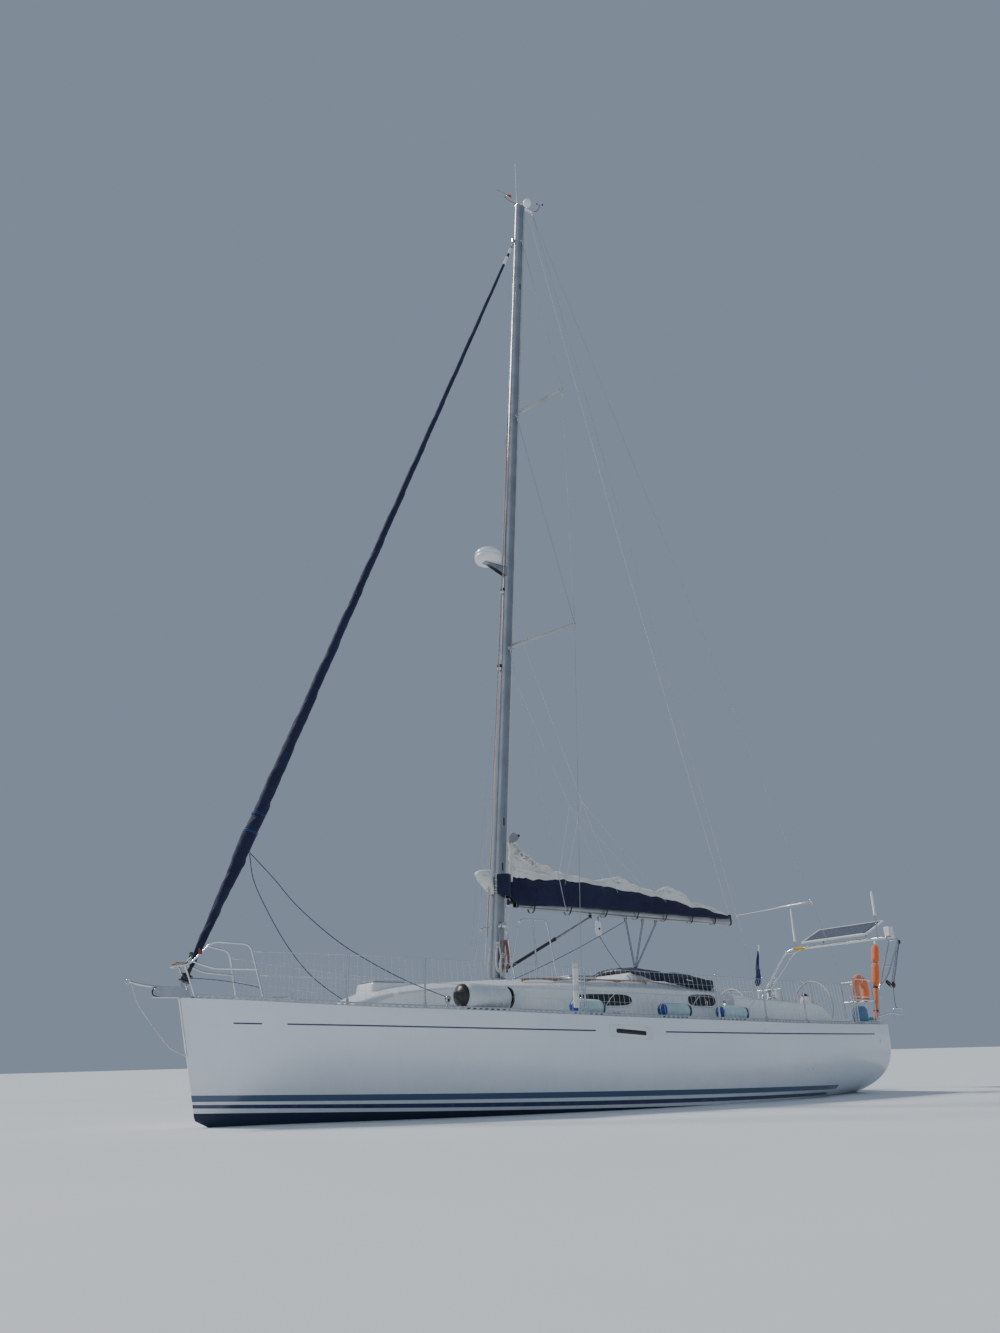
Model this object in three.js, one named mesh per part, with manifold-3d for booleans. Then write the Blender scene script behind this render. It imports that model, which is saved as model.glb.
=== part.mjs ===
// A cruising sailing yacht of 11.25 m: decked hull with fin keel and spade rudder, swept two-spreader rig
// with a furled headsail, boom with a stowed mainsail, twin wheels, rails and a stern arch.
// Millimetres. +X is the bow, +Y is port, +Z is up. The origin is amidships on the water plane.
import * as THREE from 'three';
import { mergeVertices } from 'three/addons/utils/BufferGeometryUtils.js';
import Module from 'manifold-3d';

const wasm = await Module();
wasm.setup();

// Driving dimensions
const LENGTH = 11250;
const BOW_X = LENGTH / 2;
const DRAFT = 1950;
const SEAT_GAP = 0.3;
const DECK_CAMBER = 60;
const STEM_RAKE = 310;
const STEM_FOOT = 445;
const STEM_KNUCKLE = 0.869;

// Mast
const MAST_FOOT = { x: 1059, z: 1748 };
const MAST_TOP_Z = 17087;
const MAST_RAKE_PER_Z = 0.0657;
const MAST_HALF_FORE = 107;
const MAST_HALF_WIDE = 65;
const HOUNDS_Z = 16065;
const BOOM_AXIS_AFT = 172;
const CRANE_TIP_X = -270;
const BACKSTAY_FOOT = { x: -5480, y: 1040, z: 1075 };

// Boom
const BOOM_PIN_Z = 2880;
const BOOM_END_X = -3730;
const BOOM_END_Z = 2800;
const BOOM_HALF_HIGH = 75;
const BOOM_HALF_WIDE = 55;
const VANG_FOOT_Z = 1905;
const VANG_HEAD = { x: -716, z: 2765 };
const VANG_RADIUS = { neck: 13, body: 24, rod: 18 };

// Rudder
const RUDDER_AXIS_X = -4870;
const RUDDER_COLLAR_Z = -264;

// Cockpit and companionway
const SOLE_Z = 700;
const SEAT_Z = 990;
const WELL_HALF = 420;
const SEATS_HALF = 1220;
const HELM_HALF = 1385;
const COCKPIT_FORE_X = -2330;
const SEATS_AFT_X = -4100;
const COCKPIT_AFT_X = -5180;
const BULKHEAD_X = -2250;
const HATCHWAY_HALF = 300;
const HATCHWAY_FORE_X = -1780;
const HATCHWAY_FLOOR_Z = 430;

// Rails
const RAIL_RADIUS = 12.5;
const TUBE_SIDES = 6;
const STANCHION_HIGH = 620;
const STANCHION_INSET = 62;
const TOERAIL_WIDE = 30;
const TOERAIL_HIGH = 45;

const COLOURS = {
  gelcoat: { color: 0xe9edf0, roughness: 0.25, metalness: 0.0 },
  deck: { color: 0xdfe2e0, roughness: 0.6, metalness: 0.0 },
  navy: { color: 0x1b2a4a, roughness: 0.8, metalness: 0.0 },
  sailcloth: { color: 0xe8e8e4, roughness: 0.8, metalness: 0.0 },
  steel: { color: 0xc4c8cc, roughness: 0.2, metalness: 1.0 },
  spar: { color: 0xb9bec3, roughness: 0.4, metalness: 0.9 },
  black: { color: 0x1a1c1f, roughness: 0.5, metalness: 0.0 },
  antifoul: { color: 0x17233c, roughness: 0.8, metalness: 0.0 },
  orange: { color: 0xe8602c, roughness: 0.6, metalness: 0.0 },
  bronze: { color: 0xa7813f, roughness: 0.35, metalness: 0.9 },
  cells: { color: 0x10182b, roughness: 0.15, metalness: 0.1 },
  fender: { color: 0xcfd8dc, roughness: 0.5, metalness: 0.0 },
  teak: { color: 0x9a7350, roughness: 0.7, metalness: 0.0 },
  smoke: { color: 0x30353a, roughness: 0.15, metalness: 0.0 },
  rope: { color: 0xd8d4c8, roughness: 0.9, metalness: 0.0 },
};

const yacht = new THREE.Group();

const V = (x, y, z) => new THREE.Vector3(x, y, z);

// Mesh helpers
function add(name, geometry, look) {
  const mesh = new THREE.Mesh(geometry, new THREE.MeshStandardMaterial(COLOURS[look]));
  mesh.name = name;
  yacht.add(mesh);
  return mesh;
}

function toSolid(geometry) {
  const bare = geometry.clone();
  bare.deleteAttribute('normal');
  bare.deleteAttribute('uv');
  const merged = mergeVertices(bare, 1e-3);
  return new wasm.Manifold(new wasm.Mesh({
    numProp: 3,
    vertProperties: new Float32Array(merged.attributes.position.array),
    triVerts: new Uint32Array(merged.index.array),
  }));
}

function toGeometry(solid) {
  const mesh = solid.getMesh();
  const geometry = new THREE.BufferGeometry();
  geometry.setAttribute('position', new THREE.BufferAttribute(mesh.vertProperties, 3));
  geometry.setIndex(new THREE.BufferAttribute(mesh.triVerts, 1));
  geometry.computeVertexNormals();
  return geometry;
}

function join(geometries) {
  const solids = geometries.map(toSolid);
  return toGeometry(solids.reduce((sum, solid) => sum.add(solid)));
}

function cut(geometry, cutters) {
  return toGeometry(cutters.reduce((rest, cutter) => rest.subtract(toSolid(cutter)), toSolid(geometry)));
}

function box(low, high) {
  const size = high.clone().sub(low);
  const middle = low.clone().add(high).multiplyScalar(0.5);
  return new THREE.BoxGeometry(size.x, size.y, size.z).translate(middle.x, middle.y, middle.z);
}

// A round bar between two points; the end radius may differ.
function bar(from, to, radius, sides = TUBE_SIDES, endRadius = radius) {
  const span = to.clone().sub(from);
  const geometry = new THREE.CylinderGeometry(endRadius, radius, span.length(), sides);
  const turn = new THREE.Quaternion().setFromUnitVectors(V(0, 1, 0), span.clone().normalize());
  const middle = from.clone().add(to).multiplyScalar(0.5);
  return geometry.applyQuaternion(turn).translate(middle.x, middle.y, middle.z);
}

function ball(at, radius) {
  return new THREE.OctahedronGeometry(radius, 1).translate(at.x, at.y, at.z);
}

// A tube through a list of points with mitred bends: every ring is the one before it, carried along the
// straight run on to the plane that halves the bend.
function bentBar(points, radius, sides = TUBE_SIDES) {
  const runs = points.slice(1).map((p, i) => p.clone().sub(points[i]).normalize());
  const turn = new THREE.Quaternion().setFromUnitVectors(V(0, 1, 0), runs[0]);
  const rings = [Array.from({ length: sides }, (_, k) => {
    const angle = (k / sides) * Math.PI * 2;
    return V(radius * Math.cos(angle), 0, radius * Math.sin(angle)).applyQuaternion(turn).add(points[0]);
  })];
  runs.forEach((run, i) => {
    const normal = i + 1 < runs.length ? run.clone().add(runs[i + 1]) : run;
    rings.push(rings[i].map((p) => {
      const reach = points[i + 1].clone().sub(p).dot(normal) / run.dot(normal);
      return p.clone().addScaledVector(run, reach);
    }));
  });
  return loft(rings);
}

function tubeAlong(points, radius, steps, sides = 8) {
  const section = new THREE.Shape();
  for (let i = 0; i < sides; i += 1) {
    const turn = (i / sides) * Math.PI * 2;
    const at = [radius * Math.cos(turn), radius * Math.sin(turn)];
    if (i === 0) section.moveTo(...at);
    else section.lineTo(...at);
  }
  const path = new THREE.CatmullRomCurve3(points, false, 'centripetal');
  return new THREE.ExtrudeGeometry(section, { steps, bevelEnabled: false, extrudePath: path });
}

// A closed body through rings of equally many points, with flat ends.
function loft(rings) {
  const count = rings[0].length;
  const position = rings.flatMap((ring) => ring.flatMap((p) => [p.x, p.y, p.z]));
  const index = [];
  for (let i = 0; i + 1 < rings.length; i += 1) {
    for (let j = 0; j < count; j += 1) {
      const a = i * count + j;
      const b = i * count + ((j + 1) % count);
      index.push(a, b, b + count, a, b + count, a + count);
    }
  }
  const last = (rings.length - 1) * count;
  for (const [a, b, c] of capFaces(rings[0])) index.push(a, c, b);
  for (const [a, b, c] of capFaces(rings[rings.length - 1])) index.push(last + a, last + b, last + c);
  const geometry = new THREE.BufferGeometry();
  geometry.setAttribute('position', new THREE.Float32BufferAttribute(position, 3));
  geometry.setIndex(index);
  if (signedVolume(geometry) < 0) geometry.index.array.reverse();
  geometry.computeVertexNormals();
  return geometry;
}

// Triangles of a ring's flat end, each turned the same way as the ring.
function capFaces(ring) {
  const normal = V(0, 0, 0);
  ring.forEach((p, i) => normal.add(p.clone().cross(ring[(i + 1) % ring.length])));
  const across = [Math.abs(normal.x), Math.abs(normal.y), Math.abs(normal.z)];
  const drop = across.indexOf(Math.max(...across));
  const keep = [0, 1, 2].filter((axis) => axis !== drop);
  const flat = ring.map((p) => new THREE.Vector2(p.getComponent(keep[0]), p.getComponent(keep[1])));
  const way = Math.sign(THREE.ShapeUtils.area(flat));
  return THREE.ShapeUtils.triangulateShape(flat, []).map(([a, b, c]) => (
    Math.sign(THREE.ShapeUtils.area([flat[a], flat[b], flat[c]])) === way ? [a, b, c] : [a, c, b]
  ));
}

function signedVolume(geometry) {
  const position = geometry.attributes.position;
  const index = geometry.index.array;
  const corner = [V(0, 0, 0), V(0, 0, 0), V(0, 0, 0)];
  let sum = 0;
  for (let i = 0; i < index.length; i += 3) {
    corner.forEach((p, k) => p.fromBufferAttribute(position, index[i + k]));
    sum += corner[0].dot(corner[1].clone().cross(corner[2]));
  }
  return sum / 6;
}

// Smooth reading of one column of a table whose rows are sorted by their column "at".
function read(table, column, at) {
  const last = table.length - 1;
  const x = Math.min(Math.max(at, table[0].at), table[last].at);
  let i = 0;
  while (i < last - 1 && x > table[i + 1].at) i += 1;
  const slope = (k) => {
    const low = Math.max(k - 1, 0);
    const high = Math.min(k + 1, last);
    return (table[high][column] - table[low][column]) / (table[high].at - table[low].at);
  };
  const span = table[i + 1].at - table[i].at;
  const t = (x - table[i].at) / span;
  const t2 = t * t;
  const t3 = t2 * t;
  return (2 * t3 - 3 * t2 + 1) * table[i][column] + (t3 - 2 * t2 + t) * span * slope(i)
    + (3 * t2 - 2 * t3) * table[i + 1][column] + (t3 - t2) * span * slope(i + 1);
}

// Hull stations by share of the length from the stem: half width at the deck, deck edge height, height of
// the bottom on the centreline, and the two powers of the section curve.
const STATIONS = [
  { at: 0.00, half: 20, deck: 1470, keel: -130, fall: 2.6, round: 1.00 },
  { at: 0.03, half: 240, deck: 1447, keel: -200, fall: 1.6, round: 1.00 },
  { at: 0.06, half: 450, deck: 1422, keel: -250, fall: 1.6, round: 1.00 },
  { at: 0.12, half: 820, deck: 1366, keel: -330, fall: 1.7, round: 1.05 },
  { at: 0.20, half: 1190, deck: 1306, keel: -420, fall: 2.1, round: 1.15 },
  { at: 0.30, half: 1500, deck: 1255, keel: -490, fall: 2.7, round: 1.30 },
  { at: 0.40, half: 1690, deck: 1203, keel: -530, fall: 3.3, round: 1.42 },
  { at: 0.50, half: 1810, deck: 1154, keel: -550, fall: 3.8, round: 1.50 },
  { at: 0.60, half: 1870, deck: 1117, keel: -545, fall: 4.0, round: 1.50 },
  { at: 0.70, half: 1860, deck: 1084, keel: -500, fall: 4.0, round: 1.45 },
  { at: 0.80, half: 1790, deck: 1056, keel: -410, fall: 4.0, round: 1.30 },
  { at: 0.90, half: 1660, deck: 1042, keel: -280, fall: 4.0, round: 1.15 },
  { at: 1.00, half: 1476, deck: 1037, keel: -150, fall: 4.0, round: 1.00 },
];
const SECTION_STEPS = [0, 0.15, 0.3, 0.45, 0.58, 0.7, 0.8, 0.88, 0.94, 0.98, 1];
const DECK_STEPS = [-0.75, -0.4, 0, 0.4, 0.75];

const shareAt = (x) => (BOW_X - x) / LENGTH;
const halfAt = (x) => read(STATIONS, 'half', shareAt(x));
const deckEdgeAt = (x) => read(STATIONS, 'deck', shareAt(x));

function deckAt(x, y) {
  const half = halfAt(x);
  const camber = DECK_CAMBER * (half / 1870);
  return deckEdgeAt(x) + camber * (1 - (y / half) ** 2);
}

// The stem runs straight down to a knuckle at the water and then sweeps aft; it fades out by the foredeck.
function stemShift(share, u) {
  const above = STEM_RAKE * Math.min(u / STEM_KNUCKLE, 1);
  const below = STEM_FOOT * Math.max(0, (u - STEM_KNUCKLE) / (1 - STEM_KNUCKLE));
  return (above + below) * Math.max(0, 1 - share / 0.3) ** 2;
}

function hullRing(share) {
  const value = (column) => read(STATIONS, column, share);
  const [half, deck, keel] = ['half', 'deck', 'keel'].map(value);
  const x = BOW_X - LENGTH * share;
  const port = SECTION_STEPS.map((u) => {
    const y = half * Math.max(0, 1 - u ** value('fall')) ** (1 / value('round'));
    return V(x - stemShift(share, u), y, deck - u * (deck - keel));
  });
  const starboard = port.slice(0, -1).reverse().map((p) => V(p.x, -p.y, p.z));
  const top = DECK_STEPS.map((k) => V(x, k * half, deckAt(x, k * half)));
  return [...port, ...starboard, ...top];
}

const HULL_SHARES = [
  0, 0.015, 0.035, 0.06, 0.09, 0.13, 0.18, 0.24, 0.31, 0.4, 0.5, 0.6, 0.7, 0.8, 0.88, 0.95, 1,
];

function hull() {
  const shell = loft(HULL_SHARES.map(hullRing));
  const collar = bar(V(RUDDER_AXIS_X, 0, RUDDER_COLLAR_Z), V(RUDDER_AXIS_X, 0, -100), 56, 16);
  const body = join([shell, collar]);
  const top = 2000;
  const well = box(V(SEATS_AFT_X - 100, -WELL_HALF, SOLE_Z), V(COCKPIT_FORE_X, WELL_HALF, top));
  const seats = box(V(SEATS_AFT_X - 50, -SEATS_HALF, SEAT_Z), V(COCKPIT_FORE_X, SEATS_HALF, top));
  const helm = box(V(COCKPIT_AFT_X, -HELM_HALF, SOLE_Z), V(SEATS_AFT_X, HELM_HALF, top));
  const hatchway = box(V(BULKHEAD_X + 50, -HATCHWAY_HALF, HATCHWAY_FLOOR_Z),
    V(HATCHWAY_FORE_X, HATCHWAY_HALF, top));
  return { body, open: cut(body, [well, seats, helm, hatchway]) };
}

// A lifted copy of the plain hull, cut out of whatever rests on the deck.
const hullShapes = hull();
const deckCutter = hullShapes.body.clone().translate(0, 0, SEAT_GAP);
add('hull', hullShapes.open, 'gelcoat');

function onDeck(geometry) {
  return cut(geometry, [deckCutter]);
}

// Keel, rudder and drive
function foilRing(fore, chord, thick, z, count = 10) {
  const port = [];
  for (let i = 0; i <= count; i += 1) {
    const t = (1 - Math.cos((i / count) * Math.PI)) / 2;
    const y = thick * 1.49 * (Math.sqrt(t) - 0.42 * t - 0.58 * t * t) + 1.5 * t;
    port.push(V(fore - chord * t, y, z));
  }
  const starboard = port.slice(1).reverse().map((p) => V(p.x, -p.y, p.z));
  return [...port, ...starboard];
}

// Keel rings from the root to the sole: leading edge, chord, thickness and height.
const KEEL_RINGS = [
  { fore: 1180, chord: 1750, thick: 130, z: -430 },
  { fore: 1100, chord: 1600, thick: 115, z: -650 },
  { fore: 900, chord: 1300, thick: 95, z: -1500 },
  { fore: 980, chord: 1500, thick: 170, z: -1720 },
  { fore: 1010, chord: 1620, thick: 250, z: -1830 },
  { fore: 980, chord: 1560, thick: 190, z: -DRAFT },
];
const hullUnderCutter = hullShapes.body.clone().translate(0, 0, -SEAT_GAP);
const keelBody = loft(KEEL_RINGS.map((r) => foilRing(r.fore, r.chord, r.thick, r.z)));
add('keel', cut(keelBody, [hullUnderCutter]), 'antifoul');

const RUDDER_TOP_Z = -345;
const RUDDER_STOCK_RADIUS = 32;
const RUDDER_RINGS = [
  { fore: -4735, chord: 560, thick: 70, z: RUDDER_TOP_Z },
  { fore: -4740, chord: 500, thick: 58, z: -1100 },
  { fore: -4770, chord: 360, thick: 40, z: -1680 },
];
const rudderBlade = loft(RUDDER_RINGS.map((r) => foilRing(r.fore, r.chord, r.thick, r.z)));
const rudderStock = bar(V(RUDDER_AXIS_X, 0, RUDDER_TOP_Z - 60),
  V(RUDDER_AXIS_X, 0, RUDDER_COLLAR_Z - SEAT_GAP), RUDDER_STOCK_RADIUS, 16);
add('rudder', join([rudderBlade, rudderStock]), 'antifoul');

const DRIVE_X = -2650;
const SHAFT_Z = -860;
const PROP_X = -2905;
const DRIVE_RINGS = [
  { z: -420, chord: 300, thick: 70 },
  { z: -700, chord: 230, thick: 50 },
  { z: SHAFT_Z, chord: 220, thick: 45 },
];
const driveLeg = loft(DRIVE_RINGS.map((r) => foilRing(DRIVE_X + 130, r.chord, r.thick, r.z, 8)));
const driveTorpedo = bar(V(DRIVE_X + 190, 0, SHAFT_Z), V(DRIVE_X - 175, 0, SHAFT_Z), 48, 16, 48);
add('saildrive', cut(join([driveLeg, driveTorpedo]), [hullUnderCutter]), 'black');

// The propeller's hub and three twisted blades turn about the shaft line. Each blade ring has its distance
// from the shaft, half its width and its pitch in radians.
const BLADE_HALF_THICK = 3.5;
const BLADE_RINGS = [
  { reach: 25, half: 30, pitch: 0.9 },
  { reach: 110, half: 62, pitch: 0.6 },
  { reach: 180, half: 58, pitch: 0.42 },
  { reach: 222, half: 24, pitch: 0.35 },
];
function propeller() {
  const hub = bar(V(PROP_X + 79.7, 0, SHAFT_Z), V(PROP_X - 70, 0, SHAFT_Z), 46, 16, 30);
  const blades = [0, 1, 2].map((i) => {
    const rings = BLADE_RINGS.map(({ reach, half, pitch }) => (
      [[-1, -1], [1, -1], [1, 1], [-1, 1]].map(([side, face]) => {
        const along = side * half * Math.sin(pitch) + face * BLADE_HALF_THICK * Math.cos(pitch);
        const around = side * half * Math.cos(pitch) - face * BLADE_HALF_THICK * Math.sin(pitch);
        return V(along, around, reach);
      })
    ));
    return loft(rings).rotateX((i * 2 * Math.PI) / 3).translate(PROP_X, 0, SHAFT_Z);
  });
  return join([hub, ...blades]);
}
add('propeller', propeller(), 'bronze');

// Coachroof rings: half width at the shoulder, shoulder height and centre height.
const ROOF = [
  { at: -3620, half: 180, shoulder: 1345, centre: 1350 },
  { at: -3450, half: 380, shoulder: 1420, centre: 1450 },
  { at: -3150, half: 560, shoulder: 1505, centre: 1560 },
  { at: -2700, half: 760, shoulder: 1560, centre: 1630 },
  { at: -2000, half: 940, shoulder: 1600, centre: 1690 },
  { at: -1000, half: 1040, shoulder: 1612, centre: 1742 },
  { at: -200, half: 1090, shoulder: 1612, centre: 1760 },
  { at: 1000, half: 1130, shoulder: 1590, centre: 1760 },
  { at: 2250, half: 1140, shoulder: 1540, centre: 1760 },
];
const ROOF_FLARE = 95;
const HATCH_FRAMES = [{ x: 2900, top: 1668 }, { x: -350, top: 1792 }];
const HATCH_HALF = 250;
const GARAGE = { fore: -1050, aft: -1750, half: 440, top: 1862, wall: 22 };
const RUNNER = { inner: 332, outer: 362, high: 1774 };

function roofRing({ at, half, shoulder, centre }) {
  const side = [
    V(-at, half + ROOF_FLARE, 900),
    V(-at, half + ROOF_FLARE * 0.75, 1200),
    V(-at, half + 20, shoulder - 55),
    V(-at, half - 30, shoulder),
    V(-at, half * 0.75, shoulder + (centre - shoulder) * 0.5),
    V(-at, half * 0.45, shoulder + (centre - shoulder) * 0.86),
  ];
  const across = side.map((p) => V(p.x, -p.y, p.z)).reverse();
  return [...side, V(-at, 0, centre), ...across];
}

function coachroof() {
  const shell = loft(ROOF.map(roofRing));
  const low = 1700;
  const garage = box(V(GARAGE.aft, -GARAGE.half, low), V(GARAGE.fore, GARAGE.half, GARAGE.top));
  const frames = HATCH_FRAMES.map(({ x, top }) => box(V(x - HATCH_HALF - 12, -HATCH_HALF - 12, top - 160),
    V(x + HATCH_HALF + 12, HATCH_HALF + 12, top)));
  const body = join([shell, garage, ...frames]);
  const inner = box(V(GARAGE.aft - 400, -GARAGE.half + GARAGE.wall, 1762),
    V(GARAGE.fore - GARAGE.wall, GARAGE.half - GARAGE.wall, GARAGE.top - GARAGE.wall));
  const hatchway = box(V(BULKHEAD_X - 100, -HATCHWAY_HALF, 0), V(HATCHWAY_FORE_X, HATCHWAY_HALF, 1800));
  const runners = [1, -1].map((side) => box(
    V(BULKHEAD_X, Math.min(side * RUNNER.inner, side * RUNNER.outer), low),
    V(GARAGE.fore - 100, Math.max(side * RUNNER.inner, side * RUNNER.outer), RUNNER.high),
  ));
  const hollow = cut(body, [inner, hatchway]);
  return onDeck(join([hollow, ...runners]));
}
add('coachroof', coachroof(), 'deck');

// Sliding hatch, washboard and hinged hatches
const HATCH_SLAB = { aft: -2300, fore: -1705, half: 370, thick: 34 };
add('companionway_hatch', box(
  V(HATCH_SLAB.aft, -HATCH_SLAB.half, RUNNER.high + SEAT_GAP),
  V(HATCH_SLAB.fore, HATCH_SLAB.half, RUNNER.high + SEAT_GAP + HATCH_SLAB.thick),
), 'smoke');
add('washboard', onDeck(box(
  V(BULKHEAD_X + 12, -HATCHWAY_HALF + SEAT_GAP, 1080),
  V(BULKHEAD_X + 30, HATCHWAY_HALF - SEAT_GAP, RUNNER.high - 8),
)), 'teak');

// Rails: toerail with its stanchions, one node a side
const SHEET_LEAD = { x: 2597, wide: 62, top: 1442 };
const STANCHION_X = [3820, 2900, 700, -1560, -2520, -3430, -4750];

function toerail(side) {
  const shares = HULL_SHARES.filter((share) => share > 0.01 && share < 0.99);
  const rings = shares.map((share) => {
    const x = BOW_X - share * LENGTH;
    const outer = halfAt(x) - 4;
    const low = deckEdgeAt(x) - 4;
    const high = deckEdgeAt(x) + TOERAIL_HIGH;
    return [V(x, side * outer, low), V(x, side * outer, high),
      V(x, side * (outer - TOERAIL_WIDE), high), V(x, side * (outer - TOERAIL_WIDE), low)];
  });
  return loft(rings);
}

function rail(side) {
  const posts = STANCHION_X.map((x) => {
    const y = side * (halfAt(x) - STANCHION_INSET);
    const foot = deckAt(x, y) + SEAT_GAP;
    return bar(V(x, y, foot), V(x, side * (Math.abs(y) - 8), foot + STANCHION_HIGH), RAIL_RADIUS);
  });
  const feet = STANCHION_X.map((x) => {
    const y = halfAt(x) - STANCHION_INSET;
    const near = Math.min(side * (y - 25), side * (y + 40));
    const far = Math.max(side * (y - 25), side * (y + 40));
    return box(V(x - 32, near, deckEdgeAt(x) - 4), V(x + 32, far, deckEdgeAt(x) + 22));
  });
  const { x, wide, top } = SHEET_LEAD;
  const outer = halfAt(x) - 10;
  const lead = box(V(x, Math.min(side * outer, side * (outer - wide)), deckEdgeAt(x) + 10),
    V(x + 45, Math.max(side * outer, side * (outer - wide)), top));
  return onDeck(join([toerail(side), ...feet, ...posts, lead]));
}
add('rail_port', rail(1), 'steel');
add('rail_starboard', rail(-1), 'steel');

// Bow fitting: stem strap, roller cheeks with the roller, and the forward pole
function stemPoint(z) {
  return BOW_X - stemShift(0, (1470 - z) / 1600);
}

function bowFitting() {
  const strap = loft([1475, 1250, 1000, 790].map((z) => {
    const x = stemPoint(z);
    return [V(x + SEAT_GAP, -24, z), V(x + 8, -24, z), V(x + 8, 24, z), V(x + SEAT_GAP, 24, z)];
  }));
  const base = box(V(5330, -50, 1471.2), V(5960, 50, 1492));
  const cheeks = [1, -1].map((side) => box(V(5480, Math.min(side * 42, side * 50), 1470),
    V(5960, Math.max(side * 42, side * 50), 1605)));
  const roller = bar(V(5900, -46, 1548), V(5900, 46, 1548), 36, 12);
  const pin = bar(V(5790, -46, 1592), V(5790, 46, 1592), 9);
  const pole = bentBar([V(5760, 0, 1588), V(6090, 0, 1620), V(6225, 0, 1650)], 15);
  const tip = new THREE.TorusGeometry(26, 7, 6, 12).rotateX(Math.PI / 2).translate(6252, 0, 1655);
  return onDeck(join([base, strap, ...cheeks, roller, pin, pole, tip]));
}
add('bow_fitting', bowFitting(), 'steel');

// Pulpit points for the port side; starboard mirrors them.
const PULPIT = {
  aftFoot: [4722, 520, 1380], aftTop: [4915, 430, 2085], foreTop: [5330, 215, 2130],
  brow: [5580, 150, 1850], nose: [5735, 90, 1838], noseFoot: [5440, 72, 1430],
  midAft: [4820, 474, 1785], midFore: [5300, 250, 1800],
};

function pulpit() {
  const parts = [];
  for (const side of [1, -1]) {
    const at = ([x, y, z]) => V(x, side * y, z);
    const p = Object.fromEntries(Object.entries(PULPIT).map(([key, value]) => [key, at(value)]));
    parts.push(bentBar([p.aftFoot, p.aftTop, p.foreTop, p.brow, p.nose], RAIL_RADIUS));
    const midEnd = p.foreTop.clone().lerp(p.brow, 0.86);
    parts.push(bentBar([p.midAft, p.midFore, midEnd], RAIL_RADIUS));
    parts.push(bar(p.noseFoot, p.brow.clone().lerp(p.nose, 0.3), RAIL_RADIUS));
  }
  const [x, y, z] = PULPIT.nose;
  parts.push(bar(V(x, -y - 6, z), V(x, y + 6, z), RAIL_RADIUS));
  return onDeck(join(parts));
}
add('pulpit', pulpit(), 'steel');
add('pulpit_seat', box(V(5592, -148, 1861.9), V(5748, 148, 1882)), 'sailcloth');

// Pushpits at the stern corners
const PUSHPIT = {
  fore: [-4830, 1545], corner: [-5440, 1420], aft: [-5530, 1290], inner: [-5530, 700],
  topZ: 1742, midZ: 1420, footZ: 1020,
};

function pushpit(side) {
  const at = ([x, y], z) => V(x, side * y, z);
  const { fore, corner, aft, inner, topZ, midZ, footZ } = PUSHPIT;
  const parts = [];
  for (const z of [topZ, midZ]) {
    parts.push(bentBar([fore, corner, aft, inner].map((p) => at(p, z)), RAIL_RADIUS));
  }
  for (const p of [fore, corner, inner]) {
    parts.push(bar(at(p, footZ), at(p, topZ), RAIL_RADIUS));
  }
  return onDeck(join(parts));
}
add('pushpit_port', pushpit(1), 'steel');
add('pushpit_starboard', pushpit(-1), 'steel');

// Stern arch with its leaning legs, cross beams and panel posts
const ARCH = { radius: 17, topX: -6360, topZ: 2505, backX: -6620, backZ: 2525, half: 1210, panelHalf: 500 };
const PANEL = { foreX: -6300, foreZ: 2575, aftX: -6850, aftZ: 2835, half: 760, thick: 35 };

function arch() {
  const parts = [];
  for (const side of [1, -1]) {
    const y = side * ARCH.half;
    const foot = V(-5560, side * 1350, 1010);
    const knee = V(-5700, side * 1355, 1640);
    const top = V(ARCH.topX, y, ARCH.topZ);
    const back = V(ARCH.backX, y, ARCH.backZ);
    parts.push(bentBar([foot, knee, top, back], ARCH.radius));
    parts.push(bentBar([knee, V(-5960, side * 1350, 1810), back], ARCH.radius));
    parts.push(bar(V(-5960, side * 1295, 1988), V(-6105, side * 1313, 1985), 12));
    for (const [x, z] of [[ARCH.topX, ARCH.topZ], [ARCH.backX, ARCH.backZ]]) {
      const slope = (PANEL.aftZ - PANEL.foreZ) / (PANEL.aftX - PANEL.foreX);
      const underside = PANEL.foreZ + (x + 10.4 - PANEL.foreX) * slope;
      parts.push(bar(V(x, side * ARCH.panelHalf, z), V(x, side * ARCH.panelHalf, underside - SEAT_GAP), 12));
    }
  }
  parts.push(bar(V(ARCH.topX, -ARCH.half, ARCH.topZ), V(ARCH.topX, ARCH.half, ARCH.topZ), ARCH.radius));
  parts.push(bar(V(ARCH.backX, -ARCH.half, ARCH.backZ), V(ARCH.backX, ARCH.half, ARCH.backZ), ARCH.radius));
  return onDeck(join(parts));
}
add('arch', arch(), 'steel');

function solarPanel() {
  const { foreX, foreZ, aftX, aftZ, half, thick } = PANEL;
  const ring = (y) => [
    V(foreX, y, foreZ), V(aftX, y, aftZ),
    V(aftX, y, aftZ + thick), V(foreX, y, foreZ + thick),
  ];
  return loft([ring(-half), ring(half)]);
}
add('solar_panel', solarPanel(), 'cells');

// Mast and what is fixed to it
const MAST_TILT = -Math.atan(MAST_RAKE_PER_Z);
const mastX = (z) => MAST_FOOT.x - (z - MAST_FOOT.z) * MAST_RAKE_PER_Z;
const axisX = (z) => mastX(z) - BOOM_AXIS_AFT;
const onAxis = (geometry, z) => geometry.rotateY(MAST_TILT).translate(axisX(z), 0, z);
const roofCutter = new THREE.BufferGeometry().copy(yacht.getObjectByName('coachroof').geometry)
  .translate(0, 0, SEAT_GAP);

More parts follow.
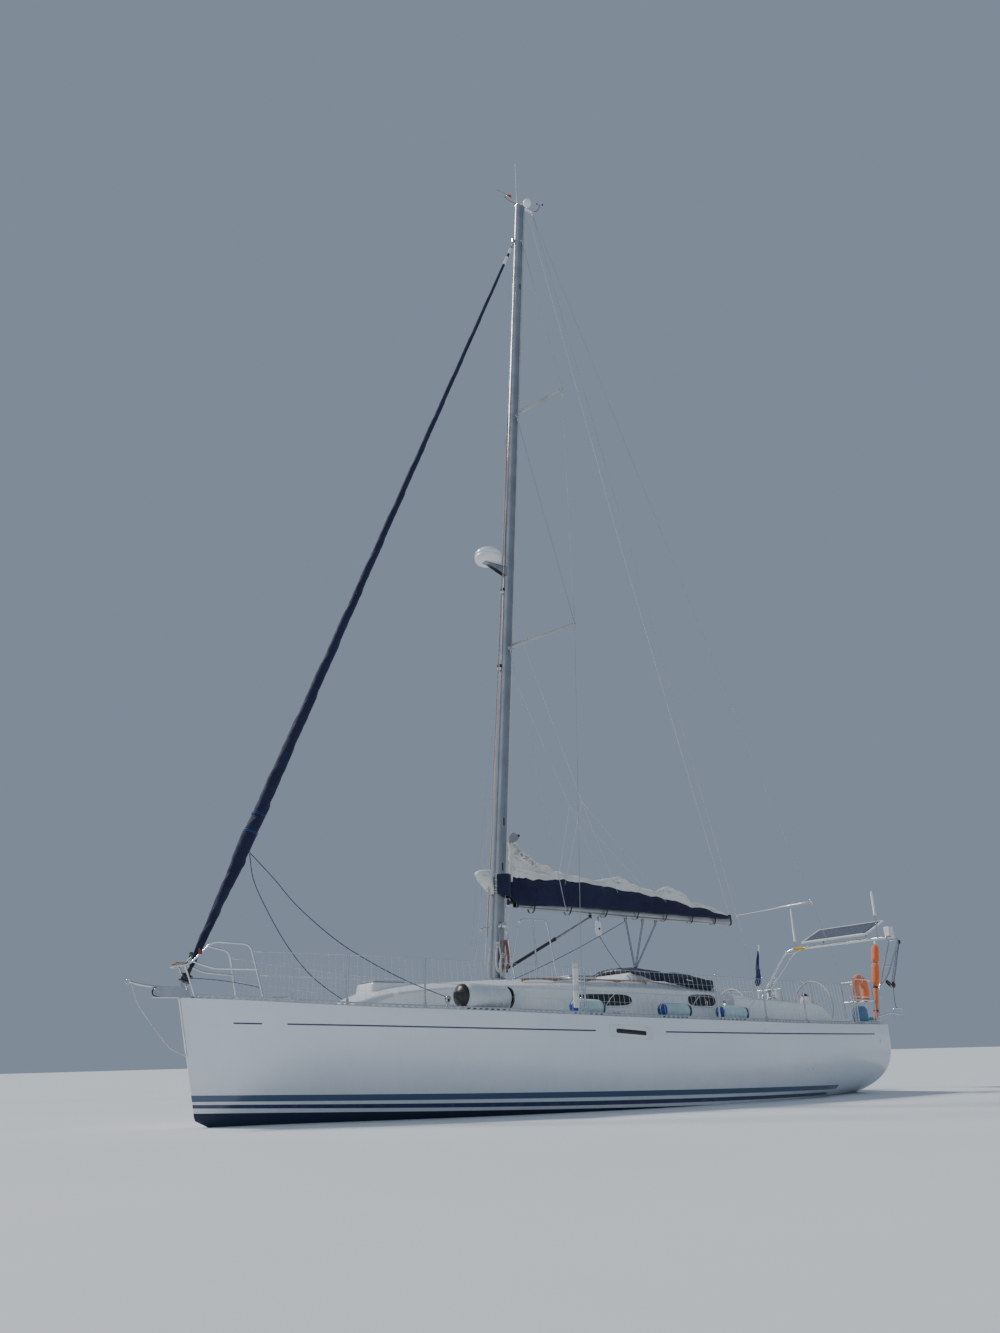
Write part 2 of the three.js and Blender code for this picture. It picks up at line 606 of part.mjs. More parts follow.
const SPREADERS = [
  { name: 'spreaders_lower', rootZ: 7102, tipX: -565, tipY: 1174, tipZ: 7190, chord: 150 },
  { name: 'spreaders_upper', rootZ: 11861, tipX: -430, tipY: 965, tipZ: 11956, chord: 130 },
];
const TANG = { half: 92, thick: 14, upperZ: 11740, lowerZ: 7020 };
const SPREADER_ROOT = { aft: 70, out: 30, thick: 44 };
const SPREADER_TIP = { share: 0.5, thick: 26 };
const LUG_HALF_GAP = { boom: 43, vang: 48 };
const TIP_BALL = 13;
const RADAR = { x: 1025, plateZ: 8570, radius: 236, high: 250 };

function ellipseRing(x, z, fore, wide, count = 20) {
  const ring = [];
  for (let i = 0; i < count; i += 1) {
    const turn = (i / count) * Math.PI * 2;
    ring.push(V(x + fore * Math.cos(turn), wide * Math.sin(turn), z));
  }
  return ring;
}

function lugs(z, halfGap) {
  return [1, -1].map((side) => onAxis(box(
    V(-28, -24, Math.min(side * halfGap, side * (halfGap + 10))),
    V(BOOM_AXIS_AFT - 60, 24, Math.max(side * halfGap, side * (halfGap + 10))),
  ), z));
}

function mast() {
  const tube = loft([MAST_FOOT.z - 40, 9000, MAST_TOP_Z]
    .map((z) => ellipseRing(mastX(z), z, MAST_HALF_FORE, MAST_HALF_WIDE)));
  const step = box(V(MAST_FOOT.x - 150, -100, 1690), V(MAST_FOOT.x + 150, 100, MAST_FOOT.z + 22));
  const crane = box(V(CRANE_TIP_X, -32, MAST_TOP_Z - 1), V(mastX(MAST_TOP_Z) + 100, 32, MAST_TOP_Z + 20));
  const tangs = [HOUNDS_Z, TANG.upperZ, TANG.lowerZ].map((z) => box(
    V(mastX(z) - 45, -TANG.half, z), V(mastX(z) + 5, TANG.half, z + TANG.thick)));
  const head = box(V(mastX(HOUNDS_Z) + 80, -16, HOUNDS_Z), V(mastX(HOUNDS_Z) + 165, 16, HOUNDS_Z + 60));
  const { plateZ } = RADAR;
  const bracket = [
    box(V(mastX(plateZ) + 60, -60, plateZ), V(RADAR.x + 90, 60, plateZ + 14)),
    box(V(mastX(plateZ) + 80, -12, plateZ - 130), V(mastX(plateZ) + 150, 12, plateZ + 4)),
  ];
  const parts = [tube, step, crane, ...tangs, head, ...bracket,
    ...lugs(BOOM_PIN_Z, LUG_HALF_GAP.boom), ...lugs(VANG_FOOT_Z, LUG_HALF_GAP.vang)];
  return cut(join(parts), [roofCutter]);
}
const mastGeometry = mast();
add('mast', mastGeometry, 'spar');
const mastCutter = loft([MAST_FOOT.z - 40, MAST_TOP_Z]
  .map((z) => ellipseRing(mastX(z), z, MAST_HALF_FORE + SEAT_GAP, MAST_HALF_WIDE + SEAT_GAP)));

// The radio whip stands on the crane plate at the masthead.
const WHIP = { x: 135, foot: MAST_TOP_Z + 20 + SEAT_GAP, socket: 90, top: 18235 };
const WHIP_LENGTH = WHIP.top - WHIP.foot;
const WHIP_PROFILE = [
  [0, 0], [0, 11], [WHIP.socket, 11],
  [WHIP.socket + 10, 4.5], [WHIP_LENGTH, 3.5], [WHIP_LENGTH, 0],
];
add('masthead_antenna', new THREE.LatheGeometry(WHIP_PROFILE.map(([z, r]) => new THREE.Vector2(r, z)), 8)
  .rotateX(Math.PI / 2).translate(WHIP.x, 0, WHIP.foot), 'black');

// Each pair of spreaders is one piece: two swept blades on a bracket around the mast's aft face.
function spreaderPair({ rootZ, tipX, tipY, tipZ, chord }) {
  const blades = [1, -1].map((side) => {
    const end = { x: mastX(rootZ) + tipX, y: side * (tipY - TIP_BALL - 0.5), z: tipZ - 2 };
    const start = { x: mastX(rootZ) - SPREADER_ROOT.aft, y: side * SPREADER_ROOT.out, z: rootZ };
    const ring = (at, width, thick) => [[-1, 0], [-0.5, 0.8], [0.5, 1], [1, 0], [0.5, -1], [-0.5, -0.8]]
      .map(([a, b]) => V(at.x + (a * width) / 2, at.y, at.z + (b * thick) / 2));
    const rootRing = ring(start, chord, SPREADER_ROOT.thick);
    return loft([rootRing, ring(end, chord * SPREADER_TIP.share, SPREADER_TIP.thick)]);
  });
  const bracket = box(V(mastX(rootZ) - 150, -75, rootZ - 34), V(mastX(rootZ) + 12, 75, rootZ + 34));
  return cut(join([...blades, bracket]), [mastCutter]);
}
for (const pair of SPREADERS) add(pair.name, spreaderPair(pair), 'spar');

// Taut standing rigging of one side, joined at the chainplate and the spreader tips
const WIRE = 5;
const CHAIN = { x: 700, y: 1592, lowerX: 610, top: 1290 };

function shrouds(side) {
  const [lower, upper] = SPREADERS;
  const tip = (s) => V(mastX(s.rootZ) + s.tipX, side * s.tipY, s.tipZ);
  const root = (z, x = 20) => V(mastX(z) - x, side * (TANG.half - 10), z - SEAT_GAP - 1);
  const foot = V(CHAIN.x, side * CHAIN.y, CHAIN.top);
  const lowerFoot = V(CHAIN.lowerX, side * (CHAIN.y - 12), CHAIN.top);
  const screw = (at) => bar(V(at.x, at.y, at.z - 110), V(at.x, at.y, at.z + 190), 13);
  const parts = [
    bar(tip(upper), root(HOUNDS_Z), WIRE, 6), bar(tip(lower), tip(upper), WIRE, 6),
    bar(foot, tip(lower), WIRE, 6), bar(tip(lower), root(TANG.upperZ), WIRE, 6),
    bar(lowerFoot, root(TANG.lowerZ), WIRE, 6), ball(tip(upper), TIP_BALL), ball(tip(lower), TIP_BALL),
    screw(foot), screw(lowerFoot),
    box(V(CHAIN.lowerX - 40, Math.min(side * (CHAIN.y - 24), side * (CHAIN.y + 16)), 1150),
      V(CHAIN.x + 40, Math.max(side * (CHAIN.y - 24), side * (CHAIN.y + 16)), 1215)),
  ];
  return onDeck(join(parts));
}
add('shrouds_port', shrouds(1), 'steel');
add('shrouds_starboard', shrouds(-1), 'steel');

function backstay() {
  const topZ = MAST_TOP_Z - 1 - SEAT_GAP;
  const x = CRANE_TIP_X + 16;
  const head = V(x, 0, topZ - 60);
  const parts = [bar(V(x, 0, topZ), V(x, 0, topZ - 75), 12)];
  const lerp = (foot, t) => head.clone().lerp(foot, t);
  const feet = [1, -1].map((side) => V(BACKSTAY_FOOT.x, side * BACKSTAY_FOOT.y, BACKSTAY_FOOT.z - 20));
  for (const foot of feet) {
    parts.push(bar(head, foot, WIRE, 6), bar(lerp(foot, 0.962), lerp(foot, 0.985), 14));
    parts.push(box(V(foot.x - 30, foot.y - 12, foot.z - 40), V(foot.x + 30, foot.y + 12, foot.z + 60)));
  }
  parts.push(bar(lerp(feet[0], 0.874), lerp(feet[1], 0.874), 16));
  return onDeck(join(parts));
}
add('backstay', backstay(), 'steel');

// Forestay: drum below, furled headsail round the foil, swivel and stay above
const STAY_FOOT = V(5592, 0, 1640);
const STAY_HEAD = V(mastX(HOUNDS_Z) + 122, 0, HOUNDS_Z - SEAT_GAP - 4);
const STAY_SPAN = STAY_HEAD.clone().sub(STAY_FOOT);
const STAY_LENGTH = STAY_SPAN.length();
const stayTurn = new THREE.Quaternion().setFromUnitVectors(V(0, 1, 0), STAY_SPAN.clone().normalize());

// A body turned about the forestay from pairs of distance along the stay and radius.
function onStay(profile, sides = 14) {
  const points = profile.map(([along, radius]) => new THREE.Vector2(radius, along));
  return new THREE.LatheGeometry(points, sides).applyQuaternion(stayTurn)
    .translate(STAY_FOOT.x, STAY_FOOT.y, STAY_FOOT.z);
}
const CLEW = { x: 4866, z: 3322, radius: 14 };
const DRUM_END = 215;
const SAIL_END = 14480;
const SAIL_START = DRUM_END + SEAT_GAP;
const TOP_START = SAIL_END + SEAT_GAP;
const DRUM_PROFILE = [
  [-10, 0], [-10, 14], [20, 14], [20, 78], [32, 78], [34, 52],
  [96, 52], [98, 78], [110, 78], [112, 30], [DRUM_END, 26], [DRUM_END, 0],
];
const SAIL_PROFILE = [
  [SAIL_START, 0], [SAIL_START, 26], [420, 44], [900, 58], [1400, 76], [1780, 97], [2300, 92],
  [3600, 80], [5600, 66], [8200, 52], [11000, 38], [13200, 27], [SAIL_END, 20], [SAIL_END, 0],
];
const TOP_PROFILE = [
  [TOP_START, 0], [TOP_START, 24], [SAIL_END + 130, 24],
  [SAIL_END + 140, 12], [STAY_LENGTH, 10], [STAY_LENGTH, 0],
];
const drum = join([onStay(DRUM_PROFILE), box(V(5570, -10, 1493), V(5630, 10, 1650))]);
const bowCutter = yacht.getObjectByName('bow_fitting').geometry;
add('furler_drum', cut(drum, [bowCutter.clone().translate(0, 0, SEAT_GAP)]), 'black');
const clew = bar(V(4975, 0, 3335), V(CLEW.x, 0, CLEW.z), 30, 8, CLEW.radius);
add('furled_genoa', join([onStay(SAIL_PROFILE), clew]), 'navy');
add('forestay_head', onStay(TOP_PROFILE, 10), 'spar');

// Radar dome and the canvas bag in front of the mast
const DOME_PROFILE = [[0, 0], [150, 0], [225, 22], [RADAR.radius, 80], [RADAR.radius, 150], [215, 200],
  [150, 235], [70, RADAR.high], [0, RADAR.high]];
add('radar_dome', new THREE.LatheGeometry(DOME_PROFILE.map(([r, z]) => new THREE.Vector2(r, z)), 24)
  .rotateX(Math.PI / 2).translate(RADAR.x, 0, RADAR.plateZ + 14 + SEAT_GAP), 'gelcoat');

const MAST_BAG = { aft: 905, fore: 1400, half: 112, low: 2985, high: 3350 };
function mastBag() {
  const ring = (z, grow) => {
    const { aft, fore, half } = MAST_BAG;
    const wide = half * grow;
    return [
      V(aft, -wide, z), V(fore - 120, -wide, z), V(fore - 20, -wide * 0.6, z), V(fore, 0, z),
      V(fore - 20, wide * 0.6, z), V(fore - 120, wide, z), V(aft, wide, z),
    ];
  };
  const { low, high } = MAST_BAG;
  return cut(loft([ring(low, 0.8), ring(low + 60, 1), ring(high - 60, 1), ring(high, 0.8)]), [mastCutter]);
}
add('mast_bag', mastBag(), 'sailcloth');

// Granny bars beside the mast
const BARS = { y: 555, foreFoot: 1184, aftFoot: 361, midFoot: 706, topZ: 2556, topFore: 960, topAft: 540 };

function grannyBar(side) {
  const y = side * BARS.y;
  const low = 1600;
  const parts = [bentBar([V(BARS.foreFoot, y, low), V(1000, y, 2480), V(BARS.topFore, y, BARS.topZ),
    V(BARS.topAft, y, BARS.topZ + 8), V(497, y, 2490), V(BARS.aftFoot, y, low)], RAIL_RADIUS)];
  parts.push(bar(V(BARS.midFoot, y, low), V(742, y, BARS.topZ), RAIL_RADIUS));
  return cut(join(parts), [roofCutter]);
}
add('granny_bar_port', grannyBar(1), 'steel');
add('granny_bar_starboard', grannyBar(-1), 'steel');

// Boom, vang, topping lift and the stowed mainsail
const boomZ = (x) => BOOM_PIN_Z + ((x - 700) / (BOOM_END_X - 700)) * (BOOM_END_Z - BOOM_PIN_Z);

function boomRing(x, grow) {
  const high = BOOM_HALF_HIGH + grow;
  const wide = BOOM_HALF_WIDE + grow;
  return [[0.55, 1], [1, 0.5], [1, -0.5], [0.55, -1], [-0.55, -1], [-1, -0.5], [-1, 0.5], [-0.55, 1]]
    .map(([a, b]) => V(x, a * wide, boomZ(x) + b * high));
}

function boom() {
  const spar = loft([boomRing(700, 0), boomRing(BOOM_END_X, 0)]);
  const eye = onAxis(new THREE.CylinderGeometry(21, 21, 2 * (LUG_HALF_GAP.boom - SEAT_GAP), 14)
    .rotateX(Math.PI / 2), BOOM_PIN_Z);
  const neck = box(V(690, -20, BOOM_PIN_Z - 26), V(axisX(BOOM_PIN_Z), 20, BOOM_PIN_Z + 26));
  const vangLug = box(V(VANG_HEAD.x - 28, -8, 2700), V(VANG_HEAD.x + 28, 8, 2800));
  const endLug = box(V(BOOM_END_X - 22, -9, BOOM_END_Z - 40), V(BOOM_END_X + 40, 9, BOOM_END_Z + 110));
  return join([spar, eye, neck, vangLug, endLug]);
}
add('boom', boom(), 'spar');
const boomCutter = join([loft([boomRing(702, SEAT_GAP), boomRing(BOOM_END_X - 2, SEAT_GAP)]),
  box(V(690, -20 - SEAT_GAP, BOOM_PIN_Z - 30), V(830, 20 + SEAT_GAP, BOOM_PIN_Z + 26 + SEAT_GAP))]);

function vang() {
  const foot = V(axisX(VANG_FOOT_Z), 0, VANG_FOOT_Z);
  const head = V(VANG_HEAD.x, 0, VANG_HEAD.z - 35);
  const middle = foot.clone().lerp(head, 0.55);
  const eye = onAxis(new THREE.CylinderGeometry(21, 21, 2 * (LUG_HALF_GAP.vang - SEAT_GAP), 14)
    .rotateX(Math.PI / 2), VANG_FOOT_Z);
  const along = (share) => foot.clone().lerp(head, share);
  const parts = [
    eye, bar(along(0.01), along(0.06), VANG_RADIUS.neck, 12),
    bar(along(0.055), middle, VANG_RADIUS.body, 12), bar(along(0.53), head, VANG_RADIUS.rod, 12),
  ];
  const lugCutter = box(V(VANG_HEAD.x - 28.3, -8.3, 2699.7), V(VANG_HEAD.x + 28.3, 8.3, 2801));
  return cut(join(parts), [lugCutter]);
}
add('vang', vang(), 'black');

const LIFT_TOP = V(axisX(MAST_TOP_Z - 3), 0, MAST_TOP_Z - 1 - SEAT_GAP - 1);
const LIFT_FOOT = V(BOOM_END_X - 4, 0, BOOM_END_Z + 110 + SEAT_GAP + 3);
add('topping_lift', bar(LIFT_FOOT, LIFT_TOP, 4, 6), 'rope');

// Sail cover rings aft from the mast: half width, bottom, top and the sail's height above the cover.
const COVER = [
  { at: -780, half: 26, low: 2960, top: 3290, sail: 3960 },
  { at: -690, half: 60, low: 2860, top: 3305, sail: 3985 },
  { at: -560, half: 105, low: 2835, top: 3312, sail: 3830 },
  { at: -250, half: 128, low: 2832, top: 3320, sail: 3560 },
  { at: 100, half: 135, low: 2835, top: 3318, sail: 3405 },
  { at: 900, half: 132, low: 2832, top: 3265, sail: 3345 },
  { at: 1300, half: 130, low: 2830, top: 3230, sail: 3385 },
  { at: 1880, half: 125, low: 2825, top: 3178, sail: 3255 },
  { at: 2450, half: 118, low: 2820, top: 3090, sail: 3290 },
  { at: 2850, half: 110, low: 2815, top: 3017, sail: 3130 },
  { at: 3300, half: 98, low: 2812, top: 2955, sail: 3015 },
  { at: 3650, half: 80, low: 2812, top: 2890, sail: 2915 },
];

const COVER_SIDE = [[0.86, 0], [1, 0.3], [0.86, 0.66], [0.42, 0.93]];

function coverRing({ at, half, low, top }) {
  const h = top - low;
  const side = COVER_SIDE.map(([w, k]) => V(-at, w * half, low + k * h));
  return [...side, V(-at, 0, top), ...side.map((p) => V(p.x, -p.y, p.z)).reverse()];
}

function sailCover() {
  return cut(loft(COVER.map(coverRing)), [boomCutter]);
}
const coverGeometry = sailCover();
add('sail_cover', coverGeometry, 'navy');

const FOLDS = { sunk: 60, share: 0.62, widest: 74 };

function sailFolds() {
  const rings = COVER.slice(1, -1).map(({ at, half, top, sail }) => {
    const low = top - FOLDS.sunk;
    const w = Math.min(half * FOLDS.share, FOLDS.widest);
    const shoulder = low + (sail - low) * 0.6;
    return [
      V(-at, w, low), V(-at, w * 0.8, shoulder), V(-at, w * 0.3, sail - 6), V(-at, 0, sail),
      V(-at, -w * 0.3, sail - 6), V(-at, -w * 0.8, shoulder), V(-at, -w, low),
    ];
  });
  return cut(loft(rings), [coverGeometry.clone().translate(0, 0, SEAT_GAP)]);
}
add('sail_folds', sailFolds(), 'sailcloth');

// Steering: two pedestals with their wheels
const WHEEL = { x: -4500, y: 940, z: 1335, radius: 400, rim: 14, spokes: 6 };
const PEDESTAL_X = -4330;
const PEDESTAL_RINGS = [
  { z: SOLE_Z + SEAT_GAP, long: 95, wide: 105 },
  { z: 1250, long: 75, wide: 85 },
  { z: 1440, long: 70, wide: 95 },
  { z: 1500, long: 40, wide: 70 },
];

function wheel(side) {
  const ring = new THREE.TorusGeometry(WHEEL.radius, WHEEL.rim, 6, 28).rotateY(Math.PI / 2);
  const hub = bar(V(-26, 0, 0), V(26, 0, 0), 42, 16);
  const spokes = Array.from({ length: WHEEL.spokes }, (_, i) => {
    const turn = (i / WHEEL.spokes) * Math.PI * 2;
    return bar(V(0, 20 * Math.cos(turn), 20 * Math.sin(turn)),
      V(0, WHEEL.radius * Math.cos(turn), WHEEL.radius * Math.sin(turn)), 8, 6);
  });
  return join([ring, hub, ...spokes]).translate(WHEEL.x, side * WHEEL.y, WHEEL.z);
}

function pedestal(side) {
  const y = side * WHEEL.y;
  const column = loft(PEDESTAL_RINGS.map(({ z, long, wide }) => [
    V(PEDESTAL_X - long, y - wide, z), V(PEDESTAL_X + long, y - wide, z),
    V(PEDESTAL_X + long, y + wide, z), V(PEDESTAL_X - long, y + wide, z),
  ]));
  const shaft = bar(V(PEDESTAL_X - 30, y, WHEEL.z), V(WHEEL.x + 26 + SEAT_GAP, y, WHEEL.z), 26, 14);
  return join([column, shaft]);
}
for (const [side, name] of [[1, 'port'], [-1, 'starboard']]) {
  add(`wheel_${name}`, wheel(side), 'steel');
  add(`pedestal_${name}`, pedestal(side), 'gelcoat');
}

// Cockpit coamings with their winches, and the seat lids
const COAMING = [
  { at: 2262, inner: 1230, outer: 1415, top: 1500 },
  { at: 2700, inner: 1230, outer: 1425, top: 1440 },
  { at: 3600, inner: 1235, outer: 1440, top: 1375 },
  { at: 4140, inner: 1262, outer: 1440, top: 1330 },
  { at: 4330, inner: 1330, outer: 1436, top: 1180 },
];
const WINCH = { x: -3150, y: 1335, seat: 1413, radius: 72 };
const WINCH_PROFILE = [
  [0, 0], [WINCH.radius, 0], [WINCH.radius, 22], [52, 40],
  [48, 90], [62, 128], [62, 150], [24, 160], [0, 160],
];

function coaming(side) {
  const shell = loft(COAMING.map(({ at, inner, outer, top }) => [
    V(-at, side * inner, 1000), V(-at, side * inner, top - 20), V(-at, side * (inner + 20), top),
    V(-at, side * (outer - 45), top), V(-at, side * outer, top - 60), V(-at, side * outer, 1000)]));
  const pad = bar(V(WINCH.x, side * WINCH.y, 1300), V(WINCH.x, side * WINCH.y, WINCH.seat), 84, 16);
  return onDeck(join([shell, pad]));
}

function winch(side) {
  return new THREE.LatheGeometry(WINCH_PROFILE.map(([r, z]) => new THREE.Vector2(r, z)), 18)
    .rotateX(Math.PI / 2).translate(WINCH.x, side * WINCH.y, WINCH.seat + SEAT_GAP);
}

const LID = { fore: -2700, aft: -3850, inner: 470, outer: 1160, thick: 28 };
for (const [side, name] of [[1, 'port'], [-1, 'starboard']]) {
  add(`coaming_${name}`, coaming(side), 'gelcoat');
  add(`winch_${name}`, winch(side), 'steel');
  add(`locker_lid_${name}`, box(V(LID.aft, Math.min(side * LID.inner, side * LID.outer), SEAT_Z + SEAT_GAP),
    V(LID.fore, Math.max(side * LID.inner, side * LID.outer), SEAT_Z + SEAT_GAP + LID.thick)), 'teak');
}

// Hatch lids and the anchor locker lid
const HATCH_THICK = 30;
['fore_hatch', 'saloon_hatch'].forEach((name, i) => {
  const { x, top } = HATCH_FRAMES[i];
  const low = top + SEAT_GAP;
  const lid = box(V(x - HATCH_HALF, -HATCH_HALF, low), V(x + HATCH_HALF, HATCH_HALF, low + HATCH_THICK));
  add(name, lid, 'smoke');
});

const ANCHOR_LID = [{ x: 4330, half: 330 }, { x: 5010, half: 205 }];
add('anchor_locker_lid', onDeck(loft(ANCHOR_LID.map(({ x, half }) => [
  V(x, -half, deckAt(x, 0) - 30), V(x, half, deckAt(x, 0) - 30), V(x, half, deckAt(x, 0) + 20),
  V(x, -half, deckAt(x, 0) + 20)]))), 'deck');

// Fenders that lie on the port side deck
const FENDERS = [
  { x: 2060, y: 1330, turn: 9, radius: 165, length: 1000 },
  { x: 480, y: 1425, turn: 3, radius: 105, length: 620 },
  { x: -940, y: 1575, turn: 2, radius: 105, length: 620 },
  { x: -2060, y: 1560, turn: -2, radius: 105, length: 620 },
];

function fender({ x, y, turn, radius, length }) {
  const half = length / 2;
  const neck = radius * 0.75;
  const profile = [[-half, 0], [-half, 34], [-half + 60, 40], [-half + 75, neck], [-half + 120, radius],
    [half - 120, radius], [half - 75, neck], [half - 60, 40], [half, 34], [half, 0]];
  const shape = new THREE.LatheGeometry(profile.map(([s, r]) => new THREE.Vector2(r, s)), 14)
    .rotateZ(Math.PI / 2).rotateZ(THREE.MathUtils.degToRad(-turn));
  const slope = Math.atan((deckEdgeAt(x + 200) - deckEdgeAt(x - 200)) / 400);
  return shape.rotateY(-slope).translate(x, y, deckAt(x, y - 60) + radius - 4);
}
FENDERS.forEach((row, i) => add(`fender_${i + 1}`, onDeck(fender(row)), 'fender'));

// Folded spray hood over the companionway garage
const hoodCutter = join([roofCutter, box(V(GARAGE.aft, -GARAGE.half - 40, 1700),
  V(GARAGE.fore + 40, GARAGE.half + 40, GARAGE.top + SEAT_GAP))]);
const HOOD_RADIUS = 60;
const HOOD_SIDE = [[-2180, 1050, 1612], [-1700, 1010, 1672], [-1300, 780, 1767], [-1170, 420, 1897]];
const HOOD_PATH = [
  ...HOOD_SIDE.map(([x, y, z]) => V(x, y, z)),
  V(-1140, 0, 1930),
  ...HOOD_SIDE.map(([x, y, z]) => V(x, -y, z)).reverse(),
];
add('sprayhood', cut(tubeAlong(HOOD_PATH, HOOD_RADIUS, 18, 8), [hoodCutter]), 'navy');

// Rescue gear on the port quarter
const HORSESHOE = { x: -5135, outer: 250, inner: 125, thick: 95, z: 1590, open: 0.75 };

function horseshoe() {
  const { outer, inner, open } = HORSESHOE;
  const shape = new THREE.Shape();
  shape.absarc(0, 0, outer, -Math.PI / 2 + open, Math.PI * 1.5 - open, false);
  shape.absarc(0, 0, inner, Math.PI * 1.5 - open, -Math.PI / 2 + open, true);
  const [dx, dy] = [PUSHPIT.fore[0] - PUSHPIT.corner[0], PUSHPIT.fore[1] - PUSHPIT.corner[1]];
  const heading = Math.atan2(dy, dx);
  const share = (HORSESHOE.x - PUSHPIT.corner[0]) / dx;
  const railY = PUSHPIT.corner[1] + share * dy;
  return new THREE.ExtrudeGeometry(shape, { depth: HORSESHOE.thick, bevelEnabled: false, curveSegments: 12 })
    .rotateX(Math.PI / 2).translate(0, -RAIL_RADIUS - SEAT_GAP, 0).rotateZ(heading)
    .translate(HORSESHOE.x, railY, HORSESHOE.z);
}
add('horseshoe_buoy', horseshoe(), 'orange');

const DANBUOY = { radius: 42, foot: [-5469.1, 1365.8, 1085], head: [-5777.1, 1340.8, 2395] };
add('danbuoy', onDeck(bar(V(...DANBUOY.foot), V(...DANBUOY.head), DANBUOY.radius, 12)), 'orange');

// Slack ropes, each a tube along its hand-picked route
const ROPE = 6;
const ROPES = [
  {
    name: 'sheet_port',
    steps: 60,
    route: [
      [4861, 14, 3306], [4551, 160, 2950], [4319, 290, 2647], [3910, 480, 2251],
      [3644, 630, 2033], [3079, 1010, 1655], [2646.5, 1352, 1425],
    ],
  },
  {
    name: 'sheet_starboard',
    steps: 60,
    route: [
      [4861, -14, 3306], [4765, -90, 2990], [4441, -280, 2548], [4073, -500, 2161],
      [3645, -760, 1838], [3150, -1050, 1600], [2646, -1352, 1425],
    ],
  },
  {
    name: 'bow_rope',
    steps: 40,
    route: [
      [6210, 0, 1629.2], [6140, 10, 1450], [6077, 20, 1343],
      [5909, 20, 1137], [5687, 18, 897], [5492, 0, 803],
    ],
  },
];
for (const { name, steps, route } of ROPES) {
  add(name, tubeAlong(route.map((p) => V(...p)), ROPE, steps), 'rope');
}

export default yacht;
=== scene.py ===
"""Looks of a cruising sailing yacht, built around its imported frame.

Metres throughout. +X is the bow, +Y is port, +Z is up, and z = 0 is the water plane.
"""
import logging
import math
from collections.abc import Callable, Sequence
from dataclasses import dataclass, field
from enum import Enum

import bmesh
import bpy
import numpy as np
from mathutils import Matrix, Vector


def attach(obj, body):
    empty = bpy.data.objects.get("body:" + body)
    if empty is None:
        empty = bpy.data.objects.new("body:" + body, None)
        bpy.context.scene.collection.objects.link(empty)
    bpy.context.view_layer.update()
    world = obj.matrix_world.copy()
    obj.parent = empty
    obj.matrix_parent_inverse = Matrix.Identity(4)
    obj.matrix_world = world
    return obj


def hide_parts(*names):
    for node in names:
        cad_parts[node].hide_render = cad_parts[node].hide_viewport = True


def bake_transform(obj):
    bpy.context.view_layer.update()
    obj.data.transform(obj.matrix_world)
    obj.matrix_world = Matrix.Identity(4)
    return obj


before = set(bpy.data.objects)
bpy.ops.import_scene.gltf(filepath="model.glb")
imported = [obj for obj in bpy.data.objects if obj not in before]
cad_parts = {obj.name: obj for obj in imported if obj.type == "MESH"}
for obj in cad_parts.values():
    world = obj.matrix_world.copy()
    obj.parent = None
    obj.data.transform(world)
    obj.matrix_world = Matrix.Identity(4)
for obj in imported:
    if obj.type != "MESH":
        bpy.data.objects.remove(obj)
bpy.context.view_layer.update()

Array = np.ndarray
Point = Sequence[float]
Points = Array | Sequence[Point]
Colour = tuple[float, float, float]
log = logging.getLogger("yacht")

HULL = "hull"
BOOM = "boom"
SIDES = {"port": 1.0, "starboard": -1.0}


# Arrays and curves


def unit(vectors: Array) -> Array:
    """Vectors scaled to length one along the last axis."""
    return vectors / np.maximum(np.linalg.norm(vectors, axis=-1, keepdims=True), 1e-12)


def arr(points: Sequence[Point]) -> Array:
    """A list of points as an array of floats."""
    return np.array(points, float)


def joined(*parts: Array) -> Array:
    """Points whose coordinates are given apart and spread over one another."""
    return np.stack(np.broadcast_arrays(*parts), -1)


def whole_turn(count: int) -> Array:
    """Evenly spaced angles of one turn; the first isn't repeated at the end."""
    return np.linspace(0, 2 * math.pi, count + 1)[:-1]


def pressed(wave: Array, power: float) -> Array:
    """A sine or cosine whose size is raised to a power, which presses a circle towards a rounded square."""
    return np.sign(wave) * np.abs(wave) ** power


def mirrored(points: Array, side: float) -> Array:
    """The points with y multiplied by the side's sign."""
    return points * np.array([1.0, side, 1.0])


def hermite(at: Array, values: Array, x: Array) -> Array:
    """Smooth reading of a table: cubic pieces whose slope at a row comes from its two neighbours.

    Args:
        at: the table's places, rising.
        values: the table's values.
        x: where to read it; places outside take the end's value.

    Returns:
        The values at x.
    """
    last = len(at) - 1
    x = np.clip(x, at[0], at[last])
    k = np.arange(last + 1)
    low, high = np.maximum(k - 1, 0), np.minimum(k + 1, last)
    slope = (values[high] - values[low]) / (at[high] - at[low])
    i = np.clip(np.searchsorted(at, x, side="left") - 1, 0, last - 1)
    span = at[i + 1] - at[i]
    t = (x - at[i]) / span
    return (
        (2 * t**3 - 3 * t**2 + 1) * values[i]
        + (t**3 - 2 * t**2 + t) * span * slope[i]
        + (3 * t**2 - 2 * t**3) * values[i + 1]
        + (t**3 - t**2) * span * slope[i + 1]
    )


